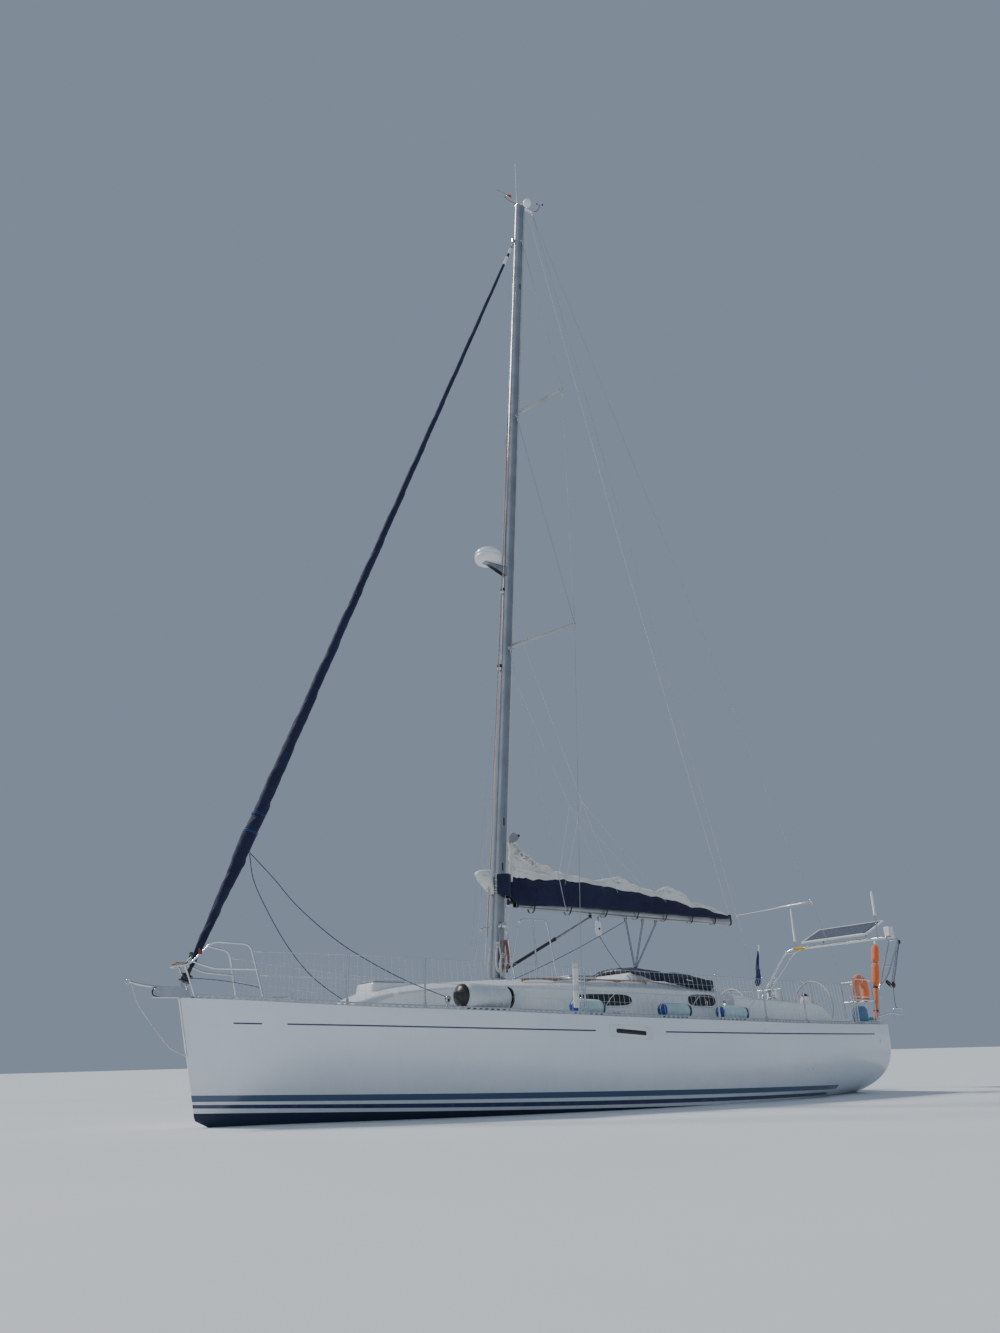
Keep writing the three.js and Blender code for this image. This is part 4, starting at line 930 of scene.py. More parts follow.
@dataclass(frozen=True)
class Topsides(Finish):
    """The hull's paint: white topsides, a fine line below the rail, bands at the water, dark paint below."""

    band: Colour = (0.020, 0.030, 0.105)
    top_band: Colour = (0.055, 0.098, 0.18)
    bottom: Colour = (0.012, 0.022, 0.06)

    def level(self, n: Nodes, a: float, b: float, c: float) -> bpy.types.NodeSocket:
        """A height along the hull: a + b x + c x squared."""
        x = n.axis("X")
        return n.math("ADD", n.math("MULTIPLY_ADD", x, b, a), n.math("MULTIPLY", n.math("MULTIPLY", x, x), c))

    def within(self, n: Nodes, low: bpy.types.NodeSocket, high: bpy.types.NodeSocket) -> bpy.types.NodeSocket:
        """One between two heights and nought outside, with an edge of a millimetre.

        Args:
            n: the node tree that is being filled.
            low: the lower height's socket.
            high: the upper height's socket.

        Returns:
            The mask's socket.
        """
        z = n.axis("Z")
        over = n.step(n.math("SUBTRACT", z, low), -PAINT_EDGE, PAINT_EDGE)
        under = n.step(n.math("SUBTRACT", high, z), -PAINT_EDGE, PAINT_EDGE)
        return n.math("MULTIPLY", over, under)

    def span(self, n: Nodes, start: float, end: float) -> bpy.types.NodeSocket:
        """One between two places along the hull."""
        x = n.axis("X")
        return n.math(
            "MULTIPLY", n.step(x, start - 0.003, start + 0.003), n.step(x, end + 0.003, end - 0.003)
        )

    def paint(self, n: Nodes) -> None:
        """Bands by height over a wandering white, with streaks that run down and a stained waterline.

        Args:
            n: the node tree that is being filled.
        """
        z = n.axis("Z")
        streak = n.step(n.noise(1.6, 7, 0.72, (7, 7, 0.8)), 0.5, 0.85, (0.0, 0.3))
        white = n.blend(streak, self.ground(n), tuple(0.8 * c for c in self.colour))
        stain = n.math(
            "MULTIPLY", n.step(z, 0.75, 0.12),
            n.step(n.noise(3.0, 6, 0.7, (2, 2, 1)), 0.35, 0.75, (0.05, 0.4))
        )
        white = n.blend(stain, white, (0.62, 0.63, 0.55))
        top, mid = self.level(n, *BANDS["wide_top"]), self.level(n, *BANDS["wide_low"])
        thin, low = self.level(n, *BANDS["thin_top"]), self.level(n, *BANDS["thin_low"])
        wide = n.math("MULTIPLY", self.within(n, mid, top), self.span(n, *WIDE_RUN))
        narrow = n.math("MULTIPLY", self.within(n, low, thin), self.span(n, *THIN_RUN))
        cove = self.level(n, *BANDS["cove"])
        fine = self.within(n, n.math("SUBTRACT", cove, COVE_HALF), n.math("ADD", cove, COVE_HALF))
        runs = [self.span(n, a, b) for a, b in COVE_RUNS]
        shown = runs[0]
        for run in runs[1:]:
            shown = n.math("MAXIMUM", shown, run)
        stripes = n.math("MAXIMUM", wide, n.math("MAXIMUM", narrow, n.math("MULTIPLY", fine, shown)))
        wear = n.step(n.noise(8, 5), 0.4, 0.8, (0.0, 0.3))
        deep = n.blend(wear, self.band, (0.1, 0.14, 0.22))
        painted = n.blend(stripes, white, n.blend(wide, deep, self.top_band))
        under = n.step(n.math("SUBTRACT", self.level(n, *BANDS["bottom"]), z), -PAINT_EDGE, PAINT_EDGE)
        growth = n.step(n.noise(5, 8, 0.75), 0.5, 0.8, (0.0, 0.5))
        bottom = n.blend(growth, self.bottom, (0.05, 0.07, 0.07))
        n.set(Base_Color=n.blend(under, painted, bottom), Coat_Roughness=0.1)
        n.set(
            Roughness=n.math("ADD", self.gloss(n), n.math("MULTIPLY", under, 0.45)),
            Coat_Weight=n.step(under, 0, 1, (0.7, 0.0))
        )
        n.bump(n.noise(1.1, 3), 0.006, 0.1)
        n.bump(n.math("MULTIPLY", n.noise(70, 4), under), 0.0015, 0.5)


PAINT_EDGE = 0.0008
COVE_HALF = 0.0095
WIDE_RUN = (-4.3, 6.0)
THIN_RUN = (-4.16, 6.0)
BANDS = {
    "wide_top": (0.2362, 0.01959, 0.00062),
    "wide_low": (0.1666, 0.01855, 0.00076),
    "thin_top": (0.1225, 0.01881, 0.00111),
    "thin_low": (0.0694, 0.01855, 0.00162),
    "bottom": (0.0298, 0.02058, 0.00069),
    "cove": (0.9740, 0.02647, 0.00213),
}
COVE_RUNS = [(4.74, 5.04), (0.61, 4.475), (-5.14, -0.51)]

# The hull paint's cool blue-grey tint is painted shade and sky reflection on white paint.
WHITE_HULL = Topsides(
    "hull_paint", (0.80, 0.84, 0.88), (0.76, 0.805, 0.85), rough=0.2, spread=0.05, cloud=0.8, slot="topsides"
)
GELCOAT = Moulded(
    "white_gelcoat", (0.84, 0.86, 0.87), (0.79, 0.81, 0.82), rough=0.28, cloud=1.2, slot="gelcoat"
)
DECK = NonSlip("deck_non_slip", (0.82, 0.83, 0.84), (0.60, 0.63, 0.66), rough=0.5, slot="deck")
STEEL = Metal("stainless_steel", (0.72, 0.73, 0.75), (0.6, 0.61, 0.63), rough=0.16, metal=1.0, slot="steel")
WIRE = Metal(
    "stainless_wire", (0.62, 0.63, 0.65), (0.5, 0.51, 0.53), rough=0.3, metal=1.0, grain=(200, 200, 30),
    slot="wire"
)
# The spar alloy's dark grey is partly its weathered grey and partly painted shade, darkened to the mast's
# shaded side.
SPAR = Metal(
    "anodised_spar", (0.40, 0.42, 0.45), (0.32, 0.34, 0.37), rough=0.34, metal=0.9, grain=(60, 60, 1),
    slot="spar_alloy"
)
TRACK = Metal(
    "anodised_dark", (0.12, 0.12, 0.13), (0.09, 0.09, 0.1), rough=0.35, metal=0.9, grain=(3, 60, 60)
)
TOERAIL = Metal(
    "anodised_rail", (0.5, 0.53, 0.57), (0.42, 0.45, 0.5), rough=0.38, metal=0.85, grain=(2, 60, 60),
    slot="toerail_alloy"
)
BLACK = Finish("black_plastic", (0.018, 0.018, 0.02), (0.03, 0.03, 0.032), rough=0.42, slot="drive")
GREY = Finish("grey_plastic", (0.3, 0.31, 0.33), (0.24, 0.25, 0.27), rough=0.5)
PALE = Finish("white_plastic", (0.82, 0.83, 0.84), (0.72, 0.73, 0.73), rough=0.35)
SMOKE = Finish(
    "smoked_acrylic", (0.02, 0.023, 0.028), (0.03, 0.034, 0.04), rough=0.08, spread=0.03,
    slot="smoked_acrylic"
)
NAVY = Cloth(
    "navy_canvas", (0.006, 0.008, 0.042), (0.010, 0.014, 0.058), rough=0.84, sheen=0.08, slot="canvas_navy"
)
HOOD = Cloth(
    "hood_canvas", (0.022, 0.03, 0.055), (0.034, 0.044, 0.075), rough=0.85, sheen=0.12, slot="canvas_navy"
)
UV_STRIP = Cloth(
    "sail_uv_cover", (0.012, 0.022, 0.1), (0.02, 0.035, 0.14), rough=0.7, sheen=0.2, slot="canvas_navy"
)
SAIL = Cloth("white_sailcloth", (0.8, 0.8, 0.77), (0.66, 0.65, 0.6), rough=0.62, sheen=0.15, slot="sailcloth")
ORANGE = Cloth("orange_cloth", (0.83, 0.16, 0.035), (0.72, 0.2, 0.07), rough=0.7, slot="rescue_orange")
ANTIFOUL = Finish(
    "antifouling", (0.012, 0.022, 0.06), (0.035, 0.05, 0.07), rough=0.75, cloud=4, slot="antifouling"
)
BRONZE = Metal("bronze", (0.5, 0.34, 0.14), (0.3, 0.26, 0.14), rough=0.35, metal=1.0, slot="bronze")
TEAK = Plank("laid_teak", (0.42, 0.27, 0.14), (0.3, 0.185, 0.095), slot="teak")
TEAK_LONG = Plank("teak_bar", (0.36, 0.2, 0.1), (0.25, 0.14, 0.07), pitch=50.0, slot="teak")
FENDER_GREY = Moulded(
    "fender_vinyl", (0.62, 0.67, 0.7), (0.5, 0.55, 0.58), rough=0.4, coat=0.1, slot="fender_vinyl"
)
FENDER_AQUA = Moulded(
    "fender_vinyl_pale", (0.5, 0.68, 0.68), (0.42, 0.58, 0.6), rough=0.42, coat=0.1, slot="fender_vinyl"
)
BLUE = Finish("blue_vinyl", (0.02, 0.06, 0.28), (0.03, 0.08, 0.32), rough=0.4)
LINE_WHITE = Rope(
    "white_rope", (0.7, 0.69, 0.65), (0.58, 0.57, 0.53), fleck=(0.42, 0.44, 0.5), slot="rope_light"
)
LINE_DARK = Rope(
    "dark_rope", (0.04, 0.05, 0.085), (0.07, 0.08, 0.11), fleck=(0.14, 0.16, 0.2), slot="rope_light"
)
LINE_RED = Rope(
    "red_brown_rope", (0.34, 0.13, 0.09), (0.26, 0.1, 0.08), fleck=(0.45, 0.33, 0.27), slot="rope_light"
)
NETTING = Rope("white_net_cord", (0.66, 0.68, 0.7), (0.55, 0.57, 0.6), lay=0.01, fleck=(0.5, 0.52, 0.55))
PANEL_CELLS = Cells("solar_cells", (0.01, 0.014, 0.04), (0.016, 0.024, 0.06), slot="solar_cells")
YELLOW = Finish("yellow_webbing", (0.75, 0.6, 0.08), (0.6, 0.5, 0.08), rough=0.7)
TEAL = Cloth("teal_cloth", (0.03, 0.3, 0.32), (0.04, 0.36, 0.36), rough=0.8)
TEAL_NET = Cloth("blue_mesh_bag", (0.06, 0.15, 0.3), (0.1, 0.22, 0.36), rough=0.8, thread=0.006)
YELLOW_CLOTH = Cloth("yellow_webbing", (0.7, 0.62, 0.12), (0.6, 0.52, 0.1), rough=0.75)
LEATHER = Cloth("wheel_leather", (0.5, 0.51, 0.52), (0.42, 0.43, 0.44), rough=0.5, sheen=0.1, thread=0.003)
RED_LENS = Finish("red_lens", (0.5, 0.02, 0.02), (0.4, 0.02, 0.02), rough=0.12)
GREEN_LENS = Finish("green_lens", (0.02, 0.35, 0.1), (0.02, 0.3, 0.1), rough=0.12)
FLOOR = Finish("studio_floor", (0.78, 0.8, 0.82), (0.77, 0.79, 0.81), rough=0.6, cloud=0.05)


# The hull's form


STATIONS = arr(
    [  # share of the length, half width, deck edge, bottom, and the two powers of the section
        (0.00, 0.020, 1.470, -0.130, 2.6, 1.00),
        (0.03, 0.240, 1.447, -0.200, 1.6, 1.00),
        (0.06, 0.450, 1.422, -0.250, 1.6, 1.00),
        (0.12, 0.820, 1.366, -0.330, 1.7, 1.05),
        (0.20, 1.190, 1.306, -0.420, 2.1, 1.15),
        (0.30, 1.500, 1.255, -0.490, 2.7, 1.30),
        (0.40, 1.690, 1.203, -0.530, 3.3, 1.42),
        (0.50, 1.810, 1.154, -0.550, 3.8, 1.50),
        (0.60, 1.870, 1.117, -0.545, 4.0, 1.50),
        (0.70, 1.860, 1.084, -0.500, 4.0, 1.45),
        (0.80, 1.790, 1.056, -0.410, 4.0, 1.30),
        (0.90, 1.660, 1.042, -0.280, 4.0, 1.15),
        (1.00, 1.476, 1.037, -0.150, 4.0, 1.00),
    ]
)


@dataclass(frozen=True)
class HullForm:
    """The hull as a surface of two shares: one of its length from the stem, one of its depth below deck."""

    bow: float = 5.625
    length: float = 11.25
    camber: float = 0.06
    rake: float = 0.310
    forefoot: float = 0.445
    knuckle: float = 0.869

    def column(self, number: int, share: Array) -> Array:
        """One column of the stations, read smoothly."""
        return hermite(STATIONS[:, 0], STATIONS[:, number], share)

    def share(self, x: Array) -> Array:
        """The share of the length at a place."""
        return (self.bow - np.asarray(x, float)) / self.length

    def half(self, x: Array) -> Array:
        """Half the deck's width."""
        return self.column(1, self.share(x))

    def edge(self, x: Array) -> Array:
        """The height of the deck's edge."""
        return self.column(2, self.share(x))

    def deck(self, x: Array, y: Array) -> Array:
        """The deck's height: its edge plus a camber that falls with the square of y."""
        half = self.half(x)
        return self.edge(x) + self.camber * half / 1.87 * (1 - (y / half) ** 2)

    def shift(self, share: Array, u: Array) -> Array:
        """How far the stem's rake draws a point aft; it fades out by three tenths of the length.

        Args:
            share: places along the hull, 0 at the stem and 1 at the stern.
            u: shares of the way down from the deck edge.

        Returns:
            The distances aft.
        """
        above = self.rake * np.minimum(u / self.knuckle, 1)
        below = self.forefoot * np.maximum(0, (u - self.knuckle) / (1 - self.knuckle))
        return (above + below) * np.maximum(0, 1 - share / 0.3) ** 2

    def skin(self, share: Array, u: Array, side: float) -> Array:
        """A point of the skin: y is half (1 - u^fall)^(1/round) and z falls evenly with u.

        Args:
            share: places along the hull.
            u: shares of the way down from the deck edge.
            side: 1 for port, -1 for starboard.

        Returns:
            The points of the skin.
        """
        half, deck, keel, fall, turn = (self.column(k, share) for k in range(1, 6))
        y = half * np.maximum(0, 1 - u**fall) ** (1 / turn)
        x = self.bow - self.length * share - self.shift(share, u)
        return joined(x, side * y, deck - u * (deck - keel))

    def beside(self, x: Array, z: Array, out: float = 0.0) -> Array:
        """The port side's point at a place and height, moved out by a distance across.

        Args:
            x: places along the hull.
            z: heights.
            out: the distance across.

        Returns:
            The points.
        """
        share = self.share(x)
        for _ in range(6):
            deck, keel = self.column(2, share), self.column(3, share)
            u = np.clip((deck - z) / (deck - keel), 0, 1)
            share = (self.bow - x - self.shift(share, u)) / self.length
        half, fall, turn = self.column(1, share), self.column(4, share), self.column(5, share)
        y = half * np.maximum(0, 1 - u**fall) ** (1 / turn)
        return joined(x, y + out, z)


FORM = HullForm()


def foil(fore: Array, chord: Array, thick: Array, z: Array, count: int = 18) -> Array:
    """Closed foil sections: half thickness is 1.49 t (root s - 0.42 s - 0.58 s squared), s of the chord aft.

    Args:
        fore: the leading edge's x for each section.
        chord: each section's length.
        thick: each section's thickness.
        z: each section's height.
        count: points along one side.

    Returns:
        Rings of points, one for each section.
    """
    s = (1 - np.cos(np.linspace(0, math.pi, count))) / 2
    shape = 1.49 * (np.sqrt(s) - 0.42 * s - 0.58 * s**2)
    y = thick[:, None] * shape + 0.0012 * s
    x = fore[:, None] - chord[:, None] * s
    port = joined(x, y, z[:, None])
    return np.concatenate([port, mirrored(port[:, :0:-1], -1)], 1)


@dataclass
class Hull:
    """The shell with its transom, outlets and underwater parts."""

    rows: int = 120
    columns: int = 26
    transom_round: float = 0.035
    skeg_collar: float = 0.056
    stock_x: float = -4.87
    drive_z: float = -0.86
    screw_x: float = -2.905
    keel: Array = field(
        default_factory=lambda: arr(
            [  # leading edge, chord, thickness, height
                (1.180, 1.750, 0.130, -0.430),
                (1.100, 1.600, 0.115, -0.650),
                (0.900, 1.300, 0.095, -1.500),
                (0.980, 1.500, 0.170, -1.720),
                (1.010, 1.620, 0.250, -1.830),
                (0.980, 1.560, 0.190, -1.948),
            ]
        )
    )
    rudder: Array = field(
        default_factory=lambda: arr(
            [(-4.735, 0.560, 0.070, -0.345), (-4.740, 0.500, 0.058, -1.100), (-4.770, 0.360, 0.040, -1.680)]
        )
    )

    def build(self) -> None:
        """Makes and dresses the hull's pieces."""
        self.shell()
        self.fittings()
        self.fin()
        self.blade()
        self.drive()

    def ring(self, share: Array) -> Array:
        """Whole sections from the port deck edge round the keel to the starboard one.

        Args:
            share: places along the hull.

        Returns:
            A row of points for each place.
        """
        u = 1 - (1 - np.linspace(0, 1, self.columns)) ** 1.8
        port = FORM.skin(share[:, None], u[None], 1.0)
        return np.concatenate([port, mirrored(port[:, -2::-1], -1)], 1)

    def shell(self) -> None:
        """The skin as a grid of shares, a rounded stem, and a transom of rings drawn in to a point."""
        share = np.linspace(0, 1, self.rows) ** 1.25 * (1 - self.transom_round / FORM.length)
        skin = self.ring(share)
        nose = skin[:1] * [1, 0.62, 1] + [0.007, 0, 0]
        tip = skin[:1] * [1, 0.0, 1] + [0.0095, 0, 0]
        shape = Shape().grid(np.concatenate([tip, nose, skin]))
        edge = skin[-1]
        y = np.linspace(edge[-1, 1], edge[0, 1], 14)[1:-1]
        top = joined(edge[0, 0], y, FORM.deck(edge[0, 0], y))
        outline = np.concatenate([edge, top])
        centre = np.array([edge[0, 0], 0.0, 0.62])
        turn = np.linspace(0, math.pi / 2, 5)
        inward = np.concatenate([1 - 0.03 * (1 - np.cos(turn)), [0.75, 0.4, 0.0]])
        aft = np.concatenate([self.transom_round * np.sin(turn), [self.transom_round] * 3])
        rows = centre + (outline - centre) * inward[:, None, None] - aft[:, None, None] * [1, 0, 0]
        shape.grid(rows, closed=True)
        piece("hull_shell", shape, WHITE_HULL, replaces=["hull"], trim=Trim(sharp=50))

    def fittings(self) -> None:
        """Outlets, a small light, and the dark slot of the hull's window in its shallow frame."""
        outlets = Shape()
        for x, z, radius in [
            (-2.389, 0.974, 0.03), (-5.267, 0.786, 0.033), (-3.3, 0.42, 0.02), (-3.42, 0.42, 0.02)
        ]:
            for side in SIDES.values():
                at = mirrored(FORM.beside(np.array(x), np.array(z), -0.004), side)
                ring = [
                    (0.6, 0.0), (1.0, 0.0), (1.0, 0.006), (0.82, 0.011), (0.62, 0.009), (0.6, -0.012),
                    (0.0, -0.012)
                ]
                outlets.lathe([(radius * r, h) for r, h in ring], at, (0, side, 0), 20)
        piece("hull_outlets", outlets, PALE)
        slots, frames = Shape(), Shape()
        for side in SIDES.values():
            slots.grid(mirrored(self.window(0.270, 0.033, 0.004, (0.055, 0.966)), side))
            frames.grid(mirrored(self.window(0.345, 0.077, 0.0016, (0.055, 0.967)), side))
            frames.hoop(mirrored(self.window(0.345, 0.077, 0.0, (0.055, 0.967))[-1], side)[:-1], 0.006, 6)
        piece("hull_windows", slots, SMOKE)
        piece("hull_window_rims", frames, PALE)

    def window(self, a: float, b: float, out: float, centre: tuple[float, float]) -> Array:
        """Rings of a rounded slot on the side: x and z are powers of cosine and sine, and y is the skin's.

        Args:
            a: half the length.
            b: half the height.
            out: the distance outside the skin.
            centre: the slot's x and z.

        Returns:
            A ring of points.
        """
        turn = np.linspace(0, 2 * math.pi, 49)
        r = np.array([0.0, 0.5, 0.85, 1.0])[:, None]
        x = centre[0] + r * a * pressed(np.cos(turn), 0.14)
        z = centre[1] + 0.085 * (x - centre[0]) + r * b * pressed(np.sin(turn), 0.3)
        return FORM.beside(x, z) + np.array([0, 1, 0]) * (out * (1 - 1.4 * r**6))[..., None]

    def fin(self) -> None:
        """The keel: foil sections read smoothly between the table's rows, and eased over the sole's edge."""
        z = np.concatenate(
            [np.linspace(-0.43, -1.5, 14), np.linspace(-1.55, -1.83, 12), [-1.88, -1.92, -1.94, -1.948]]
        )
        fore, chord, thick = (hermite(-self.keel[:, 3], self.keel[:, k], -z) for k in range(3))
        ease = np.sqrt(np.clip((z + 1.95) / 0.12, 0.0, 1.0))
        thick = np.where(z < -1.83, 0.19 + (thick - 0.19) * ease, thick)
        rings = foil(fore, chord, thick, z, 24)
        shape = Shape().grid(rings, closed=True, caps=True)
        piece("keel_fin", shape, ANTIFOUL, replaces=["keel"], trim=Trim(sharp=50))

    def blade(self) -> None:
        """The rudder: foil sections with a rounded foot, on its stock under the hull's collar."""
        z = np.concatenate([np.linspace(-0.345, -1.6, 16), [-1.64, -1.665, -1.678, -1.68]])
        fore, chord, thick = (hermite(-self.rudder[:, 3], self.rudder[:, k], -z) for k in range(3))
        ease = np.sqrt(np.clip((z + 1.681) / 0.08, 0.002, 1.0))
        middle = fore - chord * 0.45
        fore, chord, thick = (
            middle + (fore - middle) * (0.7 + 0.3 * ease), chord * (0.7 + 0.3 * ease), thick * ease
        )
        shape = Shape().grid(foil(fore, chord, thick, z), closed=True, caps=True)
        shape.lathe(
            [(0, -0.05), (0.032, -0.05), (0.032, 0.0803), (0, 0.0803)], (self.stock_x, 0, -0.345), sides=20
        )
        piece("rudder_blade", shape, ANTIFOUL, body="rudder", replaces=["rudder"], trim=Trim(sharp=50))
        collar = [(0.04, 0.0), (self.skeg_collar, 0.0), (0.06, 0.02), (0.085, 0.12), (0.085, 0.2)]
        piece("rudder_collar", Shape().lathe(collar, (self.stock_x, 0, -0.264)), ANTIFOUL)

    def drive(self) -> None:
        """The drive leg, its torpedo with a ring of anode, and the three-bladed propeller."""
        z = np.linspace(-0.42, -0.86, 10)
        table = arr([(0.42, 0.300, 0.070), (0.70, 0.230, 0.050), (0.86, 0.220, 0.045)])
        chord, thick = hermite(table[:, 0], table[:, 1], -z), hermite(table[:, 0], table[:, 2], -z)
        shape = Shape().grid(foil(np.full_like(z, -2.52), chord, thick, z), closed=True, caps=True)
        body = [
            (0.0, 0.19), (0.02, 0.186), (0.036, 0.165), (0.046, 0.12), (0.048, 0.04), (0.048, -0.175),
            (0, -0.175)
        ]
        shape.lathe(body, (-2.65, 0, self.drive_z), (1, 0, 0), 28)
        skirt = foil(
            np.array([-2.46, -2.46]), np.array([0.42, 0.42]), np.array([0.2, 0.2]), np.array([-0.42, -0.47])
        )
        shape.grid(skirt, closed=True, caps=True)
        piece("drive_leg", shape, BLACK, replaces=["saildrive"], trim=Trim(sharp=45))
        anode = [(0.049, -0.02), (0.056, -0.016), (0.056, 0.016), (0.049, 0.02)]
        piece("drive_anode", Shape().lathe(anode, (-2.79, 0, self.drive_z), (1, 0, 0), 28), GREY)
        hub = [
            (0, 0.0797), (0.03, 0.0797), (0.046, 0.05), (0.046, -0.03), (0.03, -0.06), (0.012, -0.07),
            (0, -0.07)
        ]
        screw = Shape().lathe(hub, (self.screw_x, 0, self.drive_z), (1, 0, 0), 28)
        reach = np.linspace(0.025, 0.222, 16)
        at = arr([0.025, 0.11, 0.18, 0.222])
        half, pitch = (
            hermite(at, arr(v), reach) for v in ((0.03, 0.062, 0.058, 0.018), (0.9, 0.6, 0.42, 0.35))
        )
        turn = whole_turn(12)
        flat = 0.0045 * (1.15 - reach / 0.26)
        for k in range(3):
            a, b = np.cos(turn)[None] * half[:, None], np.sin(turn)[None] * flat[:, None]
            along = a * np.sin(pitch)[:, None] + b * np.cos(pitch)[:, None]
            around = a * np.cos(pitch)[:, None] - b * np.sin(pitch)[:, None]
            out = np.broadcast_to(reach[:, None], a.shape)
            blade = k * 2 * math.pi / 3
            c, s = math.cos(blade), math.sin(blade)
            points = joined(along + self.screw_x, around * c - out * s, around * s + out * c + self.drive_z)
            screw.grid(points, closed=True, caps=True)
        piece("propeller_screw", screw, BRONZE, body="propeller", replaces=["propeller"])


# Deck, coachroof and cockpit


ROOF = arr(
    [  # minus x, half width at the shoulder, shoulder height, centre height
        (-3.620, 0.180, 1.345, 1.350),
        (-3.450, 0.380, 1.420, 1.450),
        (-3.150, 0.560, 1.505, 1.560),
        (-2.700, 0.760, 1.560, 1.630),
        (-2.000, 0.940, 1.600, 1.690),
        (-1.000, 1.040, 1.612, 1.742),
        (-0.200, 1.090, 1.612, 1.760),
        (1.000, 1.130, 1.590, 1.760),
        (2.250, 1.140, 1.540, 1.760),
    ]
)


def roof_row(x: Array) -> tuple[Array, Array, Array]:
    """Half width, shoulder and centre heights of the coachroof at a place."""
    return tuple(hermite(ROOF[:, 0], ROOF[:, k], -np.asarray(x, float)) for k in (1, 2, 3))


def roof_top(x: Array, y: Array) -> Array:
    """The coachroof's height: it falls from its centre by the power 2.43 of the distance from it."""
    half, shoulder, centre = roof_row(x)
    return centre - (centre - shoulder) * (np.abs(y) / (half - 0.03)) ** 2.43


def roof_side(x: Array, z: Array) -> Array:
    """Half the coachroof's width at a height on its leaning side."""
    half, shoulder, _ = roof_row(x)
    return half + 0.071 - 0.051 * (z - 1.2) / (shoulder - 0.055 - 1.2)


@dataclass
class Deck:
    """The deck's walking surfaces and what lies flat on them."""

    fore_end: float = 3.5
    bulkhead: float = -2.25
    seat_fore: float = -2.33
    seat_aft: float = -4.1
    cockpit_aft: float = -5.18
    seat_half: float = 1.22
    helm_half: float = 1.385
    lid: tuple[float, float, float, float] = (4.330, 0.330, 5.010, 0.205)

    def patch(
        self, shape: Shape, fore: float, aft: float, inner: Callable[[Array], Array], side: float = 0.0
    ) -> None:
        """Adds a piece of deck from its edge to an inner line; the UV is x and the way to the nearest edge.

        Args:
            shape: the shape that it is added to.
            fore: its foremost x.
            aft: its aftmost x.
            inner: gives the inner line's y at each x.
            side: 1 or -1 for one side's deck, and nought for both at once.
        """
        x = np.linspace(fore, aft, max(3, int(abs(fore - aft) / 0.1)))
        t = np.linspace(0, 1, 9) if side else np.linspace(-1, 1, 17)
        half = FORM.half(x)[:, None]
        near = inner(x)[:, None]
        y = side * (half + (near - half) * t) if side else half * t
        points = joined(x[:, None], y, FORM.deck(x[:, None], y))
        off = np.minimum(half - np.abs(y), np.abs(y) - near if side else 9.0)
        shape.grid(points, uv=joined(x[:, None], off))

    def build(self) -> None:
        """Makes the deck and the anchor locker's lid."""
        shape = Shape()
        self.patch(shape, FORM.bow, self.fore_end, lambda x: 0 * x)
        self.patch(shape, self.cockpit_aft, FORM.bow - FORM.length + 0.03, lambda x: 0 * x)
        for side in SIDES.values():
            self.patch(shape, self.fore_end, self.bulkhead, lambda x: roof_row(x)[0] - 0.12, side)
            self.patch(shape, self.bulkhead, self.seat_aft, lambda x: 0 * x + self.seat_half, side)
            self.patch(shape, self.seat_aft, self.cockpit_aft, lambda x: 0 * x + self.helm_half, side)
        y = np.linspace(-self.seat_half, self.seat_half, 25)[None]
        x = np.array([self.bulkhead, self.seat_fore])[:, None]
        points = joined(x, y, FORM.deck(x, y))
        shape.grid(points, uv=joined(x, 0 * y + 0.02))
        piece("deck_plating", shape, DECK)
        self.locker_lid()

    def locker_lid(self) -> None:
        """The lid: a crowned plate with rolled edges over the deck, its catch and its two hinges."""
        x0, half0, x1, half1 = self.lid
        x = np.linspace(x0, x1, 14)
        half = half0 + (half1 - half0) * (x - x0) / (x1 - x0)
        t = np.linspace(-1, 1, 15)
        rim = np.minimum(1 - np.abs(t)[None] ** 14, 1 - np.abs(np.linspace(-1, 1, 14))[:, None] ** 20)
        z = FORM.deck(x, 0 * x)[:, None] + 0.002 + 0.017 * np.clip(rim, 0, 1) ** 0.5
        top = joined(x[:, None], half[:, None] * t, z)
        lid = Shape().grid(top, uv=joined(x[:, None], half[:, None] * (1 - np.abs(t))))
        piece("anchor_lid", lid, DECK, "anchor_locker_lid", ["anchor_locker_lid"], Trim(wall=0.006))
        catch = Shape().lathe(
            [(0, 0), (0.03, 0), (0.028, 0.004), (0, 0.005)], (4.93, 0, FORM.deck(4.93, 0) + 0.0175)
        )
        piece("anchor_lid_catch", catch, STEEL, "anchor_locker_lid")
        hinges = Shape()
        for y in (-0.2, 0.2):
            z = float(FORM.deck(4.33, 0.0)) + 0.024
            hinges.pin(0.006, 0.035, (4.322, y, z), (0, 1, 0), 12)
            hinges.block((4.29, y - 0.03, z - 0.006), (4.32, y + 0.03, z - 0.001))
        piece("anchor_lid_hinges", hinges, STEEL, trim=Trim(bevel=0.001))


